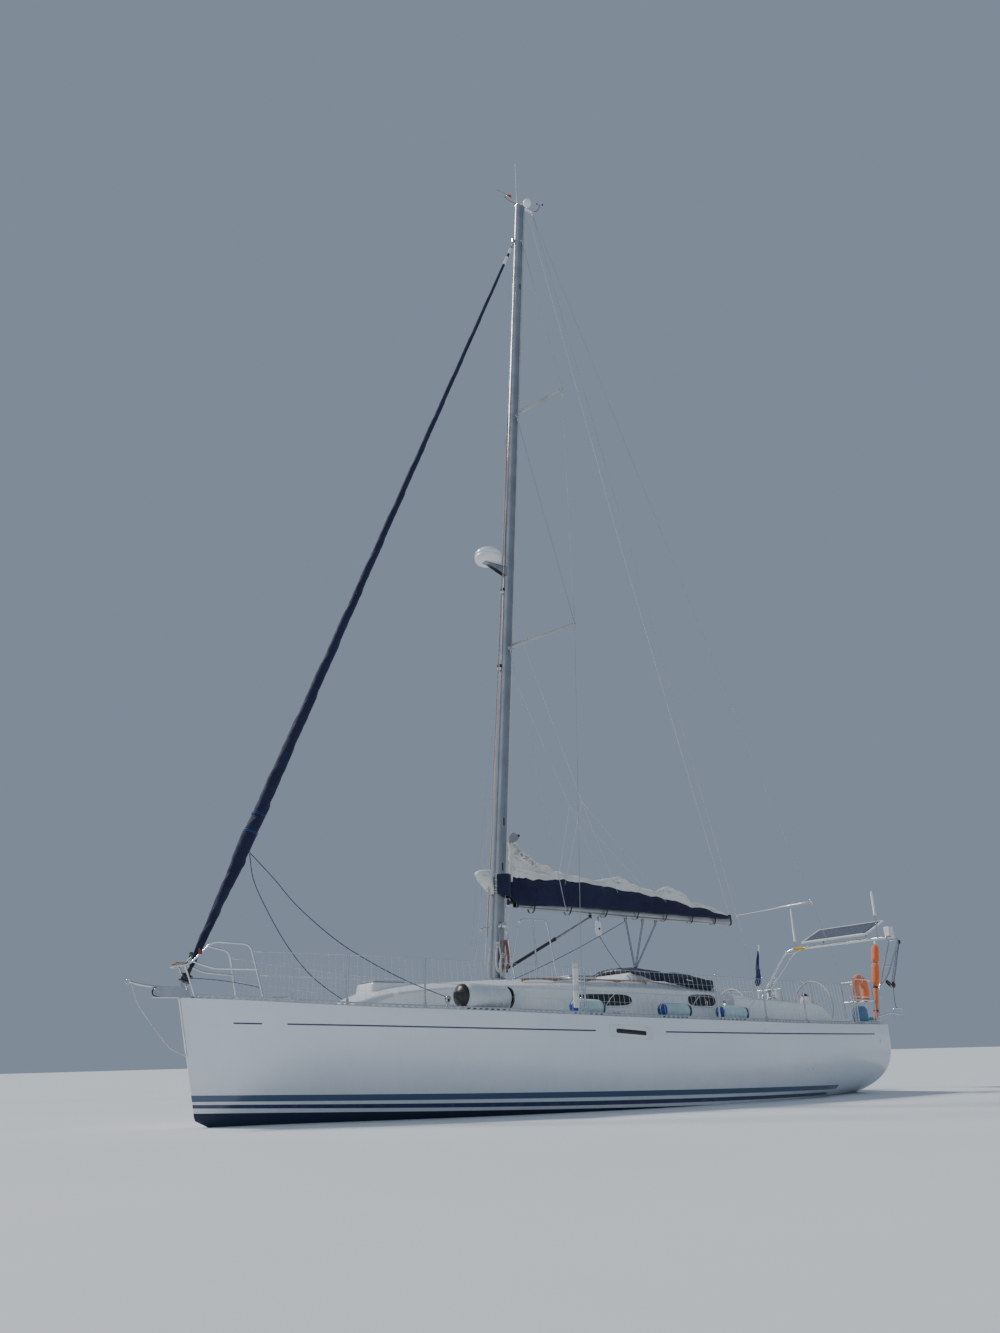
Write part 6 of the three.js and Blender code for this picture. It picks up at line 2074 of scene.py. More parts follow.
@dataclass
class Bow:
    """The bow fitting with its roller and pole, the stem strap and the pulpit with its seat."""

    pulpit: dict = field(
        default_factory=lambda: {
            "aft_foot": (4.722, 0.520, 1.380),
            "aft_top": (4.915, 0.430, 2.085),
            "fore_top": (5.330, 0.215, 2.130),
            "brow": (5.580, 0.150, 1.850),
            "nose": (5.735, 0.090, 1.838),
            "nose_foot": (5.440, 0.072, 1.430),
            "mid_aft": (4.820, 0.474, 1.785),
            "mid_fore": (5.300, 0.250, 1.800),
        }
    )
    bar: float = 0.0125

    def build(self) -> None:
        """Makes and dresses the bow's pieces."""
        self.roller()
        self.strap()
        self.rail()
        self.seat()
        self.lanterns()

    def roller(self) -> None:
        """Cheeks from an eased outline, a base, pins, the grooved roller and the bent pole with its ring."""
        shape = Shape()
        for side in SIDES.values():
            outline = loop(
                [
                    (5.48, 1.476), (5.49, 1.54), (5.64, 1.604), (5.90, 1.604), (5.958, 1.57), (5.952, 1.50),
                    (5.86, 1.476)
                ], 0.03, 5
            )
            flat = np.column_stack([outline[:, 0], np.full(len(outline), side * 0.043), outline[:, 1]])
            shape.prism(flat, (0, side * 0.006, 0))
        shape.block((5.33, -0.05, 1.4715), (5.955, 0.05, 1.4795))
        shape.pin(0.009, 0.054, (5.79, 0, 1.592), (0, 1, 0), 14)
        shape.pin(0.011, 0.056, (5.90, 0, 1.548), (0, 1, 0), 14)
        path = spline(arr([(5.70, 0, 1.586), (5.90, 0, 1.598), (6.09, 0, 1.62), (6.225, 0, 1.65)]), 6)
        shape.tube(path, 0.015, 14)
        shape.ball((6.226, 0, 1.650), 0.0165)
        turn = whole_turn(28)
        ring = joined(6.252 + 0.026 * np.cos(turn), 0.0, 1.655 + 0.026 * np.sin(turn))
        shape.hoop(ring, 0.006, 10)
        for x in (5.40, 5.66):
            for y in (-0.03, 0.03):
                shape.lathe([(0.009, 0.0), (0.008, 0.003), (0, 0.004)], (x, y, 1.4795), sides=10)
        piece("bow_roller_frame", shape, STEEL, replaces=["bow_fitting"], trim=Trim(bevel=0.0012))
        wheel = [
            (0.01, -0.039), (0.036, -0.039), (0.036, -0.03), (0.023, -0.008), (0.021, 0), (0.023, 0.008),
            (0.036, 0.03), (0.036, 0.039), (0.01, 0.039)
        ]
        piece("bow_roller", Shape().lathe(wheel, (5.90, 0, 1.548), (0, 1, 0), 28), BLACK)
        shackle = Shape().pin(0.005, 0.006, (6.21, 0, 1.634), (0, 1, 0), 10)
        piece("bow_rope_eye", shackle, STEEL)

    def strap(self) -> None:
        """A steel strap down the stem: its face bows forward with the square of y."""
        z = np.linspace(1.472, 0.79, 40)[:, None]
        y = np.linspace(-0.025, 0.025, 9)[None]
        x = FORM.bow - FORM.shift(0.0, (1.470 - z) / 1.6) + 0.0125 - 14.0 * y**2
        shape = Shape().grid(joined(x, y, z))
        piece("stem_strap", shape, STEEL, trim=Trim(wall=0.003))

    def rail(self) -> None:
        """Bent bars of both sides, the cross bar at the nose, and round feet."""
        p = {k: arr(v) for k, v in self.pulpit.items()}
        shape = Shape()
        for side in SIDES.values():
            shape.tube(
                bent([p["aft_foot"], p["aft_top"], p["fore_top"], p["brow"], p["nose"]], side, 0.09),
                self.bar, 14
            )
            end = p["fore_top"] + (p["brow"] - p["fore_top"]) * 0.86
            shape.tube(bent([p["mid_aft"], p["mid_fore"], end], side, 0.1), self.bar, 14)
            head = p["brow"] + (p["nose"] - p["brow"]) * 0.3
            shape.tube(bent([p["nose_foot"], head], side), self.bar, 14)
            shape.ball(mirrored(p["nose"], side), self.bar)
            for x, y in ((4.722, 0.520), (5.440, 0.072)):
                flange(shape, (x, side * y, float(FORM.deck(x, y))))
        x, y, z = self.pulpit["nose"]
        shape.tube([(x, -y - 0.004, z), (x, 0, z), (x, y + 0.004, z)], self.bar, 14)
        piece("pulpit_rail", shape, STEEL, replaces=["pulpit"])

    def seat(self) -> None:
        """The seat: three pale slats with eased edges on the nose bars, and their clamps."""
        slats = Shape()
        for k in range(3):
            x = 5.594 + 0.0535 * k
            slats.block((x, -0.147, 1.8645), (x + 0.047, 0.147, 1.8815))
        piece("pulpit_seat_slats", slats, TEAK, replaces=["pulpit_seat"], trim=Trim(bevel=0.004))
        clamps = Shape()
        for y in (-0.118, 0.118):
            clamps.block((5.60, y - 0.012, 1.8605), (5.745, y + 0.012, 1.8648))
        piece("pulpit_seat_clamps", clamps, STEEL)

    def lanterns(self) -> None:
        """Side lights: a black case with a coloured lens that looks forward and out."""
        for name, side, lens in (("port", 1.0, RED_LENS), ("starboard", -1.0, GREEN_LENS)):
            at = mirrored(arr((5.452, 0.186, 2.006)), side)
            case = Shape().lathe(
                [(0, -0.03), (0.024, -0.03), (0.026, -0.02), (0.026, -0.016), (0, -0.016)],
                at + [0.02, side * 0.02, 0.0]
            )
            case.lathe(
                [(0, 0.016), (0.026, 0.016), (0.026, 0.02), (0.02, 0.03), (0, 0.032)],
                at + [0.02, side * 0.02, 0.0]
            )
            case.bar(at, at + [0.02, side * 0.02, 0.0], 0.02, 0.05)
            piece("side_light_case_" + name, case, BLACK)
            glass = Shape().lathe(
                [(0, -0.017), (0.022, -0.017), (0.0245, 0.0), (0.022, 0.017), (0, 0.017)],
                at + [0.02, side * 0.02, 0.0]
            )
            piece("side_light_lens_" + name, glass, lens)


@dataclass
class Stern:
    """Pushpits, the arch with its panel and aerials, the rescue gear and what hangs on the rails."""

    pushpit: tuple = ((-4.830, 1.545), (-5.440, 1.420), (-5.530, 1.290), (-5.530, 0.700))
    levels: tuple[float, float, float] = (1.742, 1.420, 1.020)
    arch_half: float = 1.210
    arch_top: tuple[float, float] = (-6.36, 2.505)
    arch_back: tuple[float, float] = (-6.62, 2.525)
    panel_fore: tuple[float, float] = (-6.30, 2.575)
    panel_aft: tuple[float, float] = (-6.85, 2.835)
    panel_half: float = 0.76
    panel_thick: float = 0.035
    aerial_y: float = 0.97
    pole: float = 0.017

    def build(self) -> None:
        """Makes and dresses the stern's pieces."""
        self.rails()
        self.arch()
        self.panel()
        self.aerials()
        self.horseshoe()
        self.marker_buoy()
        self.hung_gear()

    def rails(self) -> None:
        """Two bent rails a side on three posts, with round feet."""
        top, middle, foot = self.levels
        for name, side in SIDES.items():
            shape = Shape()
            for z in (top, middle):
                shape.tube(bent([(x, y, z) for x, y in self.pushpit], side, 0.1), 0.0125, 14)
            for k in (0, 1, 3):
                x, y = self.pushpit[k]
                if k == 1:
                    x, y = x + 0.012, y - 0.006
                shape.tube(mirrored(arr([(x, y, foot + 0.02), (x, y, 1.4), (x, y, top)]), side), 0.0125, 14)
                flange(shape, (x, side * y, float(FORM.deck(x, y))))
            piece("pushpit_rail_" + name, shape, STEEL, replaces=["pushpit_" + name])

    def arch(self) -> None:
        """Leaning legs with eased bends, their struts, two cross beams and the panel's posts."""
        shape = Shape()
        (top_x, top_z), (back_x, back_z) = self.arch_top, self.arch_back
        foot, knee, top = (
            arr((-5.56, 1.35, 1.03)), arr((-5.70, 1.355, 1.64)), arr((top_x, self.arch_half, top_z))
        )
        strut, back = arr((-5.96, 1.35, 1.81)), arr((back_x, self.arch_half, back_z))
        for run in ([foot, knee, top], [knee, strut, back]):
            half = rounded(run, 0.12, 7)[:-1]
            over = rounded([half[-1], run[-1], mirrored(run[-1], -1.0), mirrored(half[-1], -1.0)], 0.2, 11)
            whole = np.vstack([half[:-1], over, mirrored(half[:-1][::-1], -1.0)])
            shape.tube(whole, self.pole, 16)
        for side in SIDES.values():
            shape.tube(
                np.linspace(
                    mirrored(top, side) + [0.055, 0.0, -0.07], mirrored(back, side) + [0.05, 0.0, -0.055], 3
                ), self.pole * 0.8, 12
            )
            shape.tube(
                bent([(-5.96, 1.295, 1.988), (-6.03, 1.304, 1.987), (-6.105, 1.313, 1.985)], side), 0.012, 12
            )
            flange(shape, (-5.558, side * 1.35, float(FORM.deck(-5.558, 1.35))), 0.045)
            (fore_x, fore_z), (aft_x, aft_z) = self.panel_fore, self.panel_aft
            for x, z in (self.arch_top, self.arch_back):
                under = fore_z + (x + 0.0104 - fore_x) * (aft_z - fore_z) / (aft_x - fore_x)
                shape.tube(
                    [(x, side * 0.5, z), (x, side * 0.5, (z + under) / 2), (x, side * 0.5, under - 0.0003)],
                    0.012, 12
                )
        piece("stern_arch", shape, STEEL, replaces=["arch"])

    def panel(self) -> None:
        """The panel: a metal frame round a plate of cells, its face on the slope between two edges."""
        fore, aft, half = arr(self.panel_fore), arr(self.panel_aft), self.panel_half
        way = unit(aft - fore)
        up = np.array([way[1], -way[0]])
        up = up if up[1] > 0 else -up
        long = float(np.linalg.norm(aft - fore))
        lift = self.panel_thick * 0.88
        shape = Shape()
        for a, b in ((0.0, 0.03), (long - 0.03, long)):
            ring = [fore + way * s + up * h for s, h in ((a, 0.0), (b, 0.0), (b, lift), (a, lift))]
            shape.grid(
                np.stack([arr([(f[0], y, f[1]) for f in ring]) for y in (-half, half)]), closed=True,
                caps=True
            )
        for y0, y1 in ((-half, -half + 0.03), (half - 0.03, half)):
            ring = [
                fore + way * s + up * h for s,
                h in ((0.03, 0.0), (long - 0.03, 0.0), (long - 0.03, lift), (0.03, lift))
            ]
            shape.grid(
                np.stack([arr([(f[0], y, f[1]) for f in ring]) for y in (y0, y1)]), closed=True, caps=True
            )
        piece("solar_panel_frame", shape, PALE, replaces=["solar_panel"], trim=Trim(bevel=0.0015))
        s = np.linspace(0.03, long - 0.03, 9)
        y = np.linspace(-half + 0.03, half - 0.03, 19)
        base = fore + way * s[:, None] + up * (lift - 0.004)
        face = joined(base[:, None, 0], y, base[:, None, 1])
        piece("solar_panel_cells", Shape().grid(face), PANEL_CELLS, trim=Trim(wall=0.004))
        back = face - np.array([up[0], 0, up[1]]) * 0.010
        piece("solar_panel_back", Shape().grid(back), BLACK, trim=Trim(wall=0.002))
        junction = Shape().block((-6.62, -0.06, 2.665), (-6.50, 0.06, 2.69))
        piece("solar_panel_box", junction, BLACK, trim=Trim(bevel=0.004))

    def aerials(self) -> None:
        """Poles on the arch with their aerials, a stern light and the pale case at the arch's back."""
        shape, heads = Shape(), Shape()
        pole_x, foot = self.arch_top
        for side, high in ((1.0, 2.92), (-1.0, 2.66)):
            at = (pole_x, side * self.aerial_y, foot)
            shape.lathe([(0, 0.0), (0.0125, 0.0), (0.0125, high - foot), (0, high - foot)], at, sides=14)
            shape.lathe(
                [(0.0130, 0.0), (0.024, 0.0), (0.024, 0.03), (0.0130, 0.03)], (at[0], at[1], foot + 0.005),
                sides=14
            )
        piece("aerial_poles", shape, STEEL)
        for side, low, high in ((1.0, 2.90, 3.33), (-1.0, 2.64, 3.26)):
            rod = [
                (0, 0), (0.026, 0), (0.028, 0.01), (0.028, 0.05), (0.024, 0.06), (0.0215, high - low - 0.03),
                (0.012, high - low), (0, high - low + 0.004)
            ]
            heads.lathe(rod, (pole_x, side * self.aerial_y, low), sides=20)
        piece("aerial_heads", heads, PALE)
        turn = np.linspace(0, 10 * 2 * math.pi, 180)
        wrap = joined(
            pole_x + 0.0225 * np.cos(turn), -1.03 + 0.028 * turn / math.pi / 2, foot + 0.0225 * np.sin(turn)
        )
        piece("arch_webbing", Shape().strands(wrap[None], 0.009, 6, (0, 1, 0.05)), YELLOW)
        case = Shape().block((-6.70, 0.93, 2.542), (-6.58, 1.05, 2.71))
        piece("arch_case", case, PALE, trim=Trim(bevel=0.012))
        lamp = Shape().lathe(
            [(0, -0.02), (0.028, -0.02), (0.03, 0.0), (0.022, 0.03), (0, 0.035)], (-6.655, 0.0, 2.525),
            (-1, 0, 0), 20
        )
        piece("stern_light", lamp, PALE)

    def horseshoe(self) -> None:
        """The horseshoe buoy: a rounded section carried round an open ring, lashed inside the rail."""
        leg, middle = 0.2, 0.163
        run = np.linspace(-leg, math.pi * middle + leg, 66)
        turn = np.clip(run / middle, 0, math.pi)
        drop = np.maximum(np.maximum(-run, run - math.pi * middle), 0)
        share = 2 * (run + leg) / (math.pi * middle + 2 * leg) - 1
        ease = np.sqrt(np.clip(1 - np.abs(share) ** 16, 0.01, 1))
        section = whole_turn(20)
        a = 0.076 * pressed(np.cos(section), 0.7)
        b = 0.049 * pressed(np.sin(section), 0.7)
        seam = 1 - 0.05 * np.exp(
            -(((turn[:, None] - np.array([0.12, 0.8, 1.57, 2.34, 3.02])) / 0.04) ** 2)
        ).sum(1)
        wide = a[None] * (ease * seam)[:, None]
        x = (
            (middle + wide) * np.cos(turn)[:, None]
            - 0.02 * (drop / leg)[:, None] * np.sign(np.cos(turn))[:, None]
        )
        z = (middle + wide) * np.sin(turn)[:, None] - drop[:, None]
        y = -0.063 + b[None] * (ease * seam)[:, None]
        (x0, y0), (x1, y1) = self.pushpit[:2]
        heading = math.atan2(y0 - y1, x0 - x1)
        c, s = math.cos(heading), math.sin(heading)
        at_x = -5.135
        at_y = y1 + (at_x - x1) / (x0 - x1) * (y0 - y1)
        points = joined(at_x + x * c - y * s, at_y + x * s + y * c, 1.59 + z)
        made = piece(
            "horseshoe_float", Shape().grid(points, closed=True, caps=True), ORANGE,
            replaces=["horseshoe_buoy"]
        )
        bands = Shape()
        for k in (5, 33, 59):
            ring = points[k] + (points[k] - points[k].mean(0)) * 0.04
            near = points[k + 1] + (points[k + 1] - points[k + 1].mean(0)) * 0.04
            bands.grid(np.stack([ring, near]), closed=True)
        piece("horseshoe_bands", bands, PALE, trim=Trim(wall=0.002))
        ends = points[2].mean(0), points[-3].mean(0)
        line = rounded(
            [
                ends[0], ends[0] - [0.0, 0.0, 0.1], (ends[0] + ends[1]) / 2 - [0.0, 0.0, 0.15],
                ends[1] - [0.0, 0.0, 0.1], ends[1]
            ], 0.07, 8
        )
        piece("horseshoe_line", Shape().tube(line, 0.004, 8), LINE_WHITE)

    def marker_buoy(self) -> None:
        """The marker buoy in its long bag, with a lamp on top and straps to the rail and the leg."""
        foot, head = arr((-5.4691, 1.3658, 1.100)), arr((-5.7771, 1.3408, 2.395))
        long = float(np.linalg.norm(head - foot))
        t = np.linspace(0, 1, 60)
        floats = sum(
            0.026 * np.clip(1 - (np.abs(t - at) / half) ** 8, 0, 1) ** 0.5 for at,
            half in ((0.60, 0.135), (0.865, 0.118))
        )
        radius = (
            (0.036 + floats) * np.clip(1 - np.abs(2 * t - 1) ** 22, 0.02, 1) ** 0.5
            * (1 + 0.03 * np.sin(t * 41) * np.sin(t * 17 + 1))
        )
        profile = np.column_stack([radius, t * (long - 0.05)])
        profile = np.vstack([[0, 0], profile, [0, long - 0.05]])
        piece(
            "marker_buoy_bag", Shape().lathe(profile, foot, head - foot, 24), ORANGE, replaces=["danbuoy"],
            trim=Trim(sharp=60)
        )
        lamp = Shape().lathe(
            [(0.0, -0.05), (0.018, -0.05), (0.018, -0.01), (0.013, 0.0), (0, 0.004)], head, head - foot, 16
        )
        piece("marker_buoy_lamp", lamp, PALE)
        straps = Shape()
        for share in (0.12, 0.41, 0.705):
            at = foot + (head - foot) * share
            straps.lathe(
                [(0.030, -0.016), (0.0405, -0.013), (0.0405, 0.013), (0.030, 0.016)], at, head - foot, 24
            )
        piece("marker_buoy_straps", straps, BLACK)

    def hung_gear(self) -> None:
        """Gear on the rails: the rolled flag on its staff, a folded step frame, an engine clamp and bags."""
        foot, head = arr((-5.548, -1.33, 1.42)), arr((-5.74, -1.33, 2.57))
        staff = Shape().tube(np.linspace(foot, head, 3), 0.0125, 12)
        staff.ball(head, 0.02)
        for z in (1.43, 1.74):
            staff.pin(0.021, 0.022, foot + (head - foot) * (z - 1.42) / 1.15, tuple(head - foot), 14)
        piece("flag_staff", staff, PALE)
        t = np.linspace(0, 1, 48)[:, None]
        turn = whole_turn(24)
        wide = (
            (0.012 + 0.055 * t**0.8 * np.clip((1 - t) / 0.08, 0.15, 1) ** 0.5)
            * (1 + 0.25 * np.sin(3 * turn + 9 * t) + 0.1 * np.sin(7 * turn - 13 * t))
        )
        spot = head + (foot - head) * (0.08 + 0.56 * t)[..., None]
        fold = joined(wide * np.cos(turn) + 0.028, 0.55 * wide * np.sin(turn), 0.0)
        flag = piece(
            "rolled_flag", Shape().grid(spot + fold, closed=True, caps=True), UV_STRIP, trim=Trim(sharp=70)
        )
        self.bags()
        self.board()
        metal = Shape()
        metal.tube(
            rounded(
                [(-5.92, 1.395, 1.13), (-5.92, 1.395, 1.30), (-6.12, 1.395, 1.30), (-6.12, 1.395, 1.13)], 0.03
            ), 0.009, 10
        )
        metal.tube([(-5.92, 1.395, 1.20), (-6.02, 1.395, 1.20), (-6.12, 1.395, 1.20)], 0.008, 10)
        metal.tube(
            rounded([(-5.552, 1.36, 1.17), (-5.75, 1.395, 1.215), (-5.93, 1.395, 1.215)], 0.05), 0.01, 10
        )
        piece("step_frame", metal, STEEL)
        self.hoist()

    def hoist(self) -> None:
        """The engine hoist: a block under the arch's end, its falls, a lower block by the leg, its tail."""
        high, low = arr((-6.585, 1.215, 2.455)), arr((-6.02, 1.372, 1.675))
        way = unit(high - low)
        wheels, cheeks, falls = Shape(), Shape(), Shape()
        for at, grow in ((high - way * 0.05, 0.8), (low, 1.25)):
            wheels.sheave(0.034 * grow, 0.029 * grow, 0.014, at, (0.1, 1, 0), 24)
            for y in (-0.019, 0.019):
                cheeks.sheave(0.034 * grow, 0.038 * grow, 0.003, at + [0, y, 0], (0.1, 1, 0), 24)
                cheeks.bar(at + [0, y, 0], at + way * 0.055 * grow + [0, y, 0], 0.022, 0.005, (0, 1, 0))
            cheeks.bar(
                at + way * 0.05 * grow - [0, 0.021, 0], at + way * 0.05 * grow + [0, 0.021, 0], 0.018, 0.012
            )
        side = unit(np.cross(way, (0, 1, 0)))
        for k in (-1, 0.2, 1):
            falls.tube(
                np.linspace(low + side * 0.03 * k + way * 0.03, high + side * 0.022 * k - way * 0.06, 3),
                0.0045, 7
            )
        tail = arr(
            [low + [0.0, 0.01, -0.03], (-5.99, 1.39, 1.50), (-5.975, 1.398, 1.36), (-6.0, 1.395, 1.306)]
        )
        falls.tube(spline(tail, 6), 0.0045, 7)
        strap = whole_turn(24)
        tie = (
            arr((-5.955, 1.352, 1.70))
            + joined(0.075 * np.cos(strap), 0.028 * np.sin(strap), 0.05 * np.cos(strap))
        )
        piece(
            "hoist_strap", Shape().grid(np.stack([tie - [0, 0, 0.02], tie + [0, 0, 0.02]]), closed=True),
            BLACK, trim=Trim(wall=0.003)
        )
        piece("hoist_wheels", wheels, PALE)
        piece("hoist_cheeks", cheeks, BLACK)
        piece("hoist_falls", falls, LINE_DARK)

    def board(self) -> None:
        """A narrow pale board that stands lashed to the port rail, its edges eased."""
        low, high = arr((0.775, 1.575, 1.285)), arr((0.768, 1.58, 1.85))
        shape = Shape().bar(low, high, 0.085, 0.026, (0, 1, 0))
        piece("lashed_board", shape, PALE, trim=Trim(bevel=0.006))
        turn = np.linspace(0, 3 * 2 * math.pi, 60)
        ties = Shape()
        for share in (0.42, 0.93):
            at = low + (high - low) * share
            wrap = joined(
                at[0] + 0.05 * np.cos(turn), at[1] + 0.024 * np.sin(turn),
                at[2] - 0.02 + 0.012 * turn / math.pi
            )
            ties.tube(wrap, 0.004, 6)
        piece("lashed_board_cords", ties, LINE_WHITE)

    def bags(self) -> None:
        """Soft bags tied to the stern rails: rounded boxes that wrinkle with sines of height and turn."""
        rows = (
            ("rail_bag_pale", (-5.475, -0.86, 1.53), (0.05, 0.14, 0.20), SAIL),
            ("rail_bag_yellow", (-5.475, -1.06, 1.46), (0.045, 0.075, 0.12), YELLOW_CLOTH),
            ("rail_bag_blue", (-5.055, 1.40, 1.20), (0.17, 0.055, 0.14), TEAL_NET),
            ("rail_bag_teal", (-5.36, 1.32, 1.10), (0.075, 0.06, 0.075), TEAL),
            ("rail_bag_dark", (-5.30, 1.14, 1.085), (0.09, 0.09, 0.062), HOOD),
        )
        t = np.linspace(-1, 1, 30)[:, None]
        turn = whole_turn(36)
        for k, (name, centre, size, finish) in enumerate(rows):
            c = pressed(np.cos(turn), 0.6)
            s = pressed(np.sin(turn), 0.6)
            swell = (
                np.clip(1 - np.abs(t) ** 5, 0.03, 1) ** 0.5
                * (0.94 + 0.06 * np.sin(5 * turn + 7 * t + k) * np.sin(3 * turn - 5 * t))
            )
            x, y, z = (centre[i] + size[i] * v for i, v in enumerate((swell * c, swell * s, t + 0 * turn)))
            bag = piece(
                name, Shape().grid(joined(x, y, z), closed=True, caps=True), finish, trim=Trim(sharp=70)
            )


# Rig


MAST_FOOT_X = 1.059
MAST_FOOT_Z = 1.748
MAST_LEAN = 0.0657
MAST_TOP = 17.087
HOUNDS = 16.065
PIN_AFT = 0.172  # how far the boom's swing axis stands aft of the mast's middle
PIN_AXIS = (-0.0656, 0, 0.998)
BOOM_PIN_Z = 2.88
VANG_PIN_Z = 1.905
BOOM_FORE = (0.7, 2.88)
BOOM_AFT = (-3.73, 2.80)


def mast_x(z: Array) -> Array:
    """Where the mast's middle stands at a height; it leans aft evenly."""
    return MAST_FOOT_X - (np.asarray(z, float) - MAST_FOOT_Z) * MAST_LEAN


def mast_at(z: float) -> float:
    """The mast's middle at one height, as a plain number."""
    return float(mast_x(z))


def stay_ends() -> tuple[Array, Array]:
    """The forestay's lower and upper end."""
    return arr((5.592, 0, 1.640)), arr((mast_at(HOUNDS) + 0.122, 0, HOUNDS - 0.0043))


def beside_mast(z: float, local: Array) -> Array:
    """Points given about the boom's pin axis at a height, in the leaning mast's own directions.

    Args:
        z: the height on the axis.
        local: the points, about that place.

    Returns:
        The points in the shared frame.
    """
    tilt = math.atan(MAST_LEAN)
    c, s = math.cos(tilt), math.sin(tilt)
    x, y, up = local[..., 0], local[..., 1], local[..., 2]
    return joined(x * c - up * s + mast_at(z) - PIN_AFT, y, z + x * s + up * c)


def boom_z(x: float | Array) -> float | Array:
    """The height of the boom's middle at a place."""
    (x0, z0), (x1, z1) = BOOM_FORE, BOOM_AFT
    return z0 + (x - x0) / (x1 - x0) * (z1 - z0)


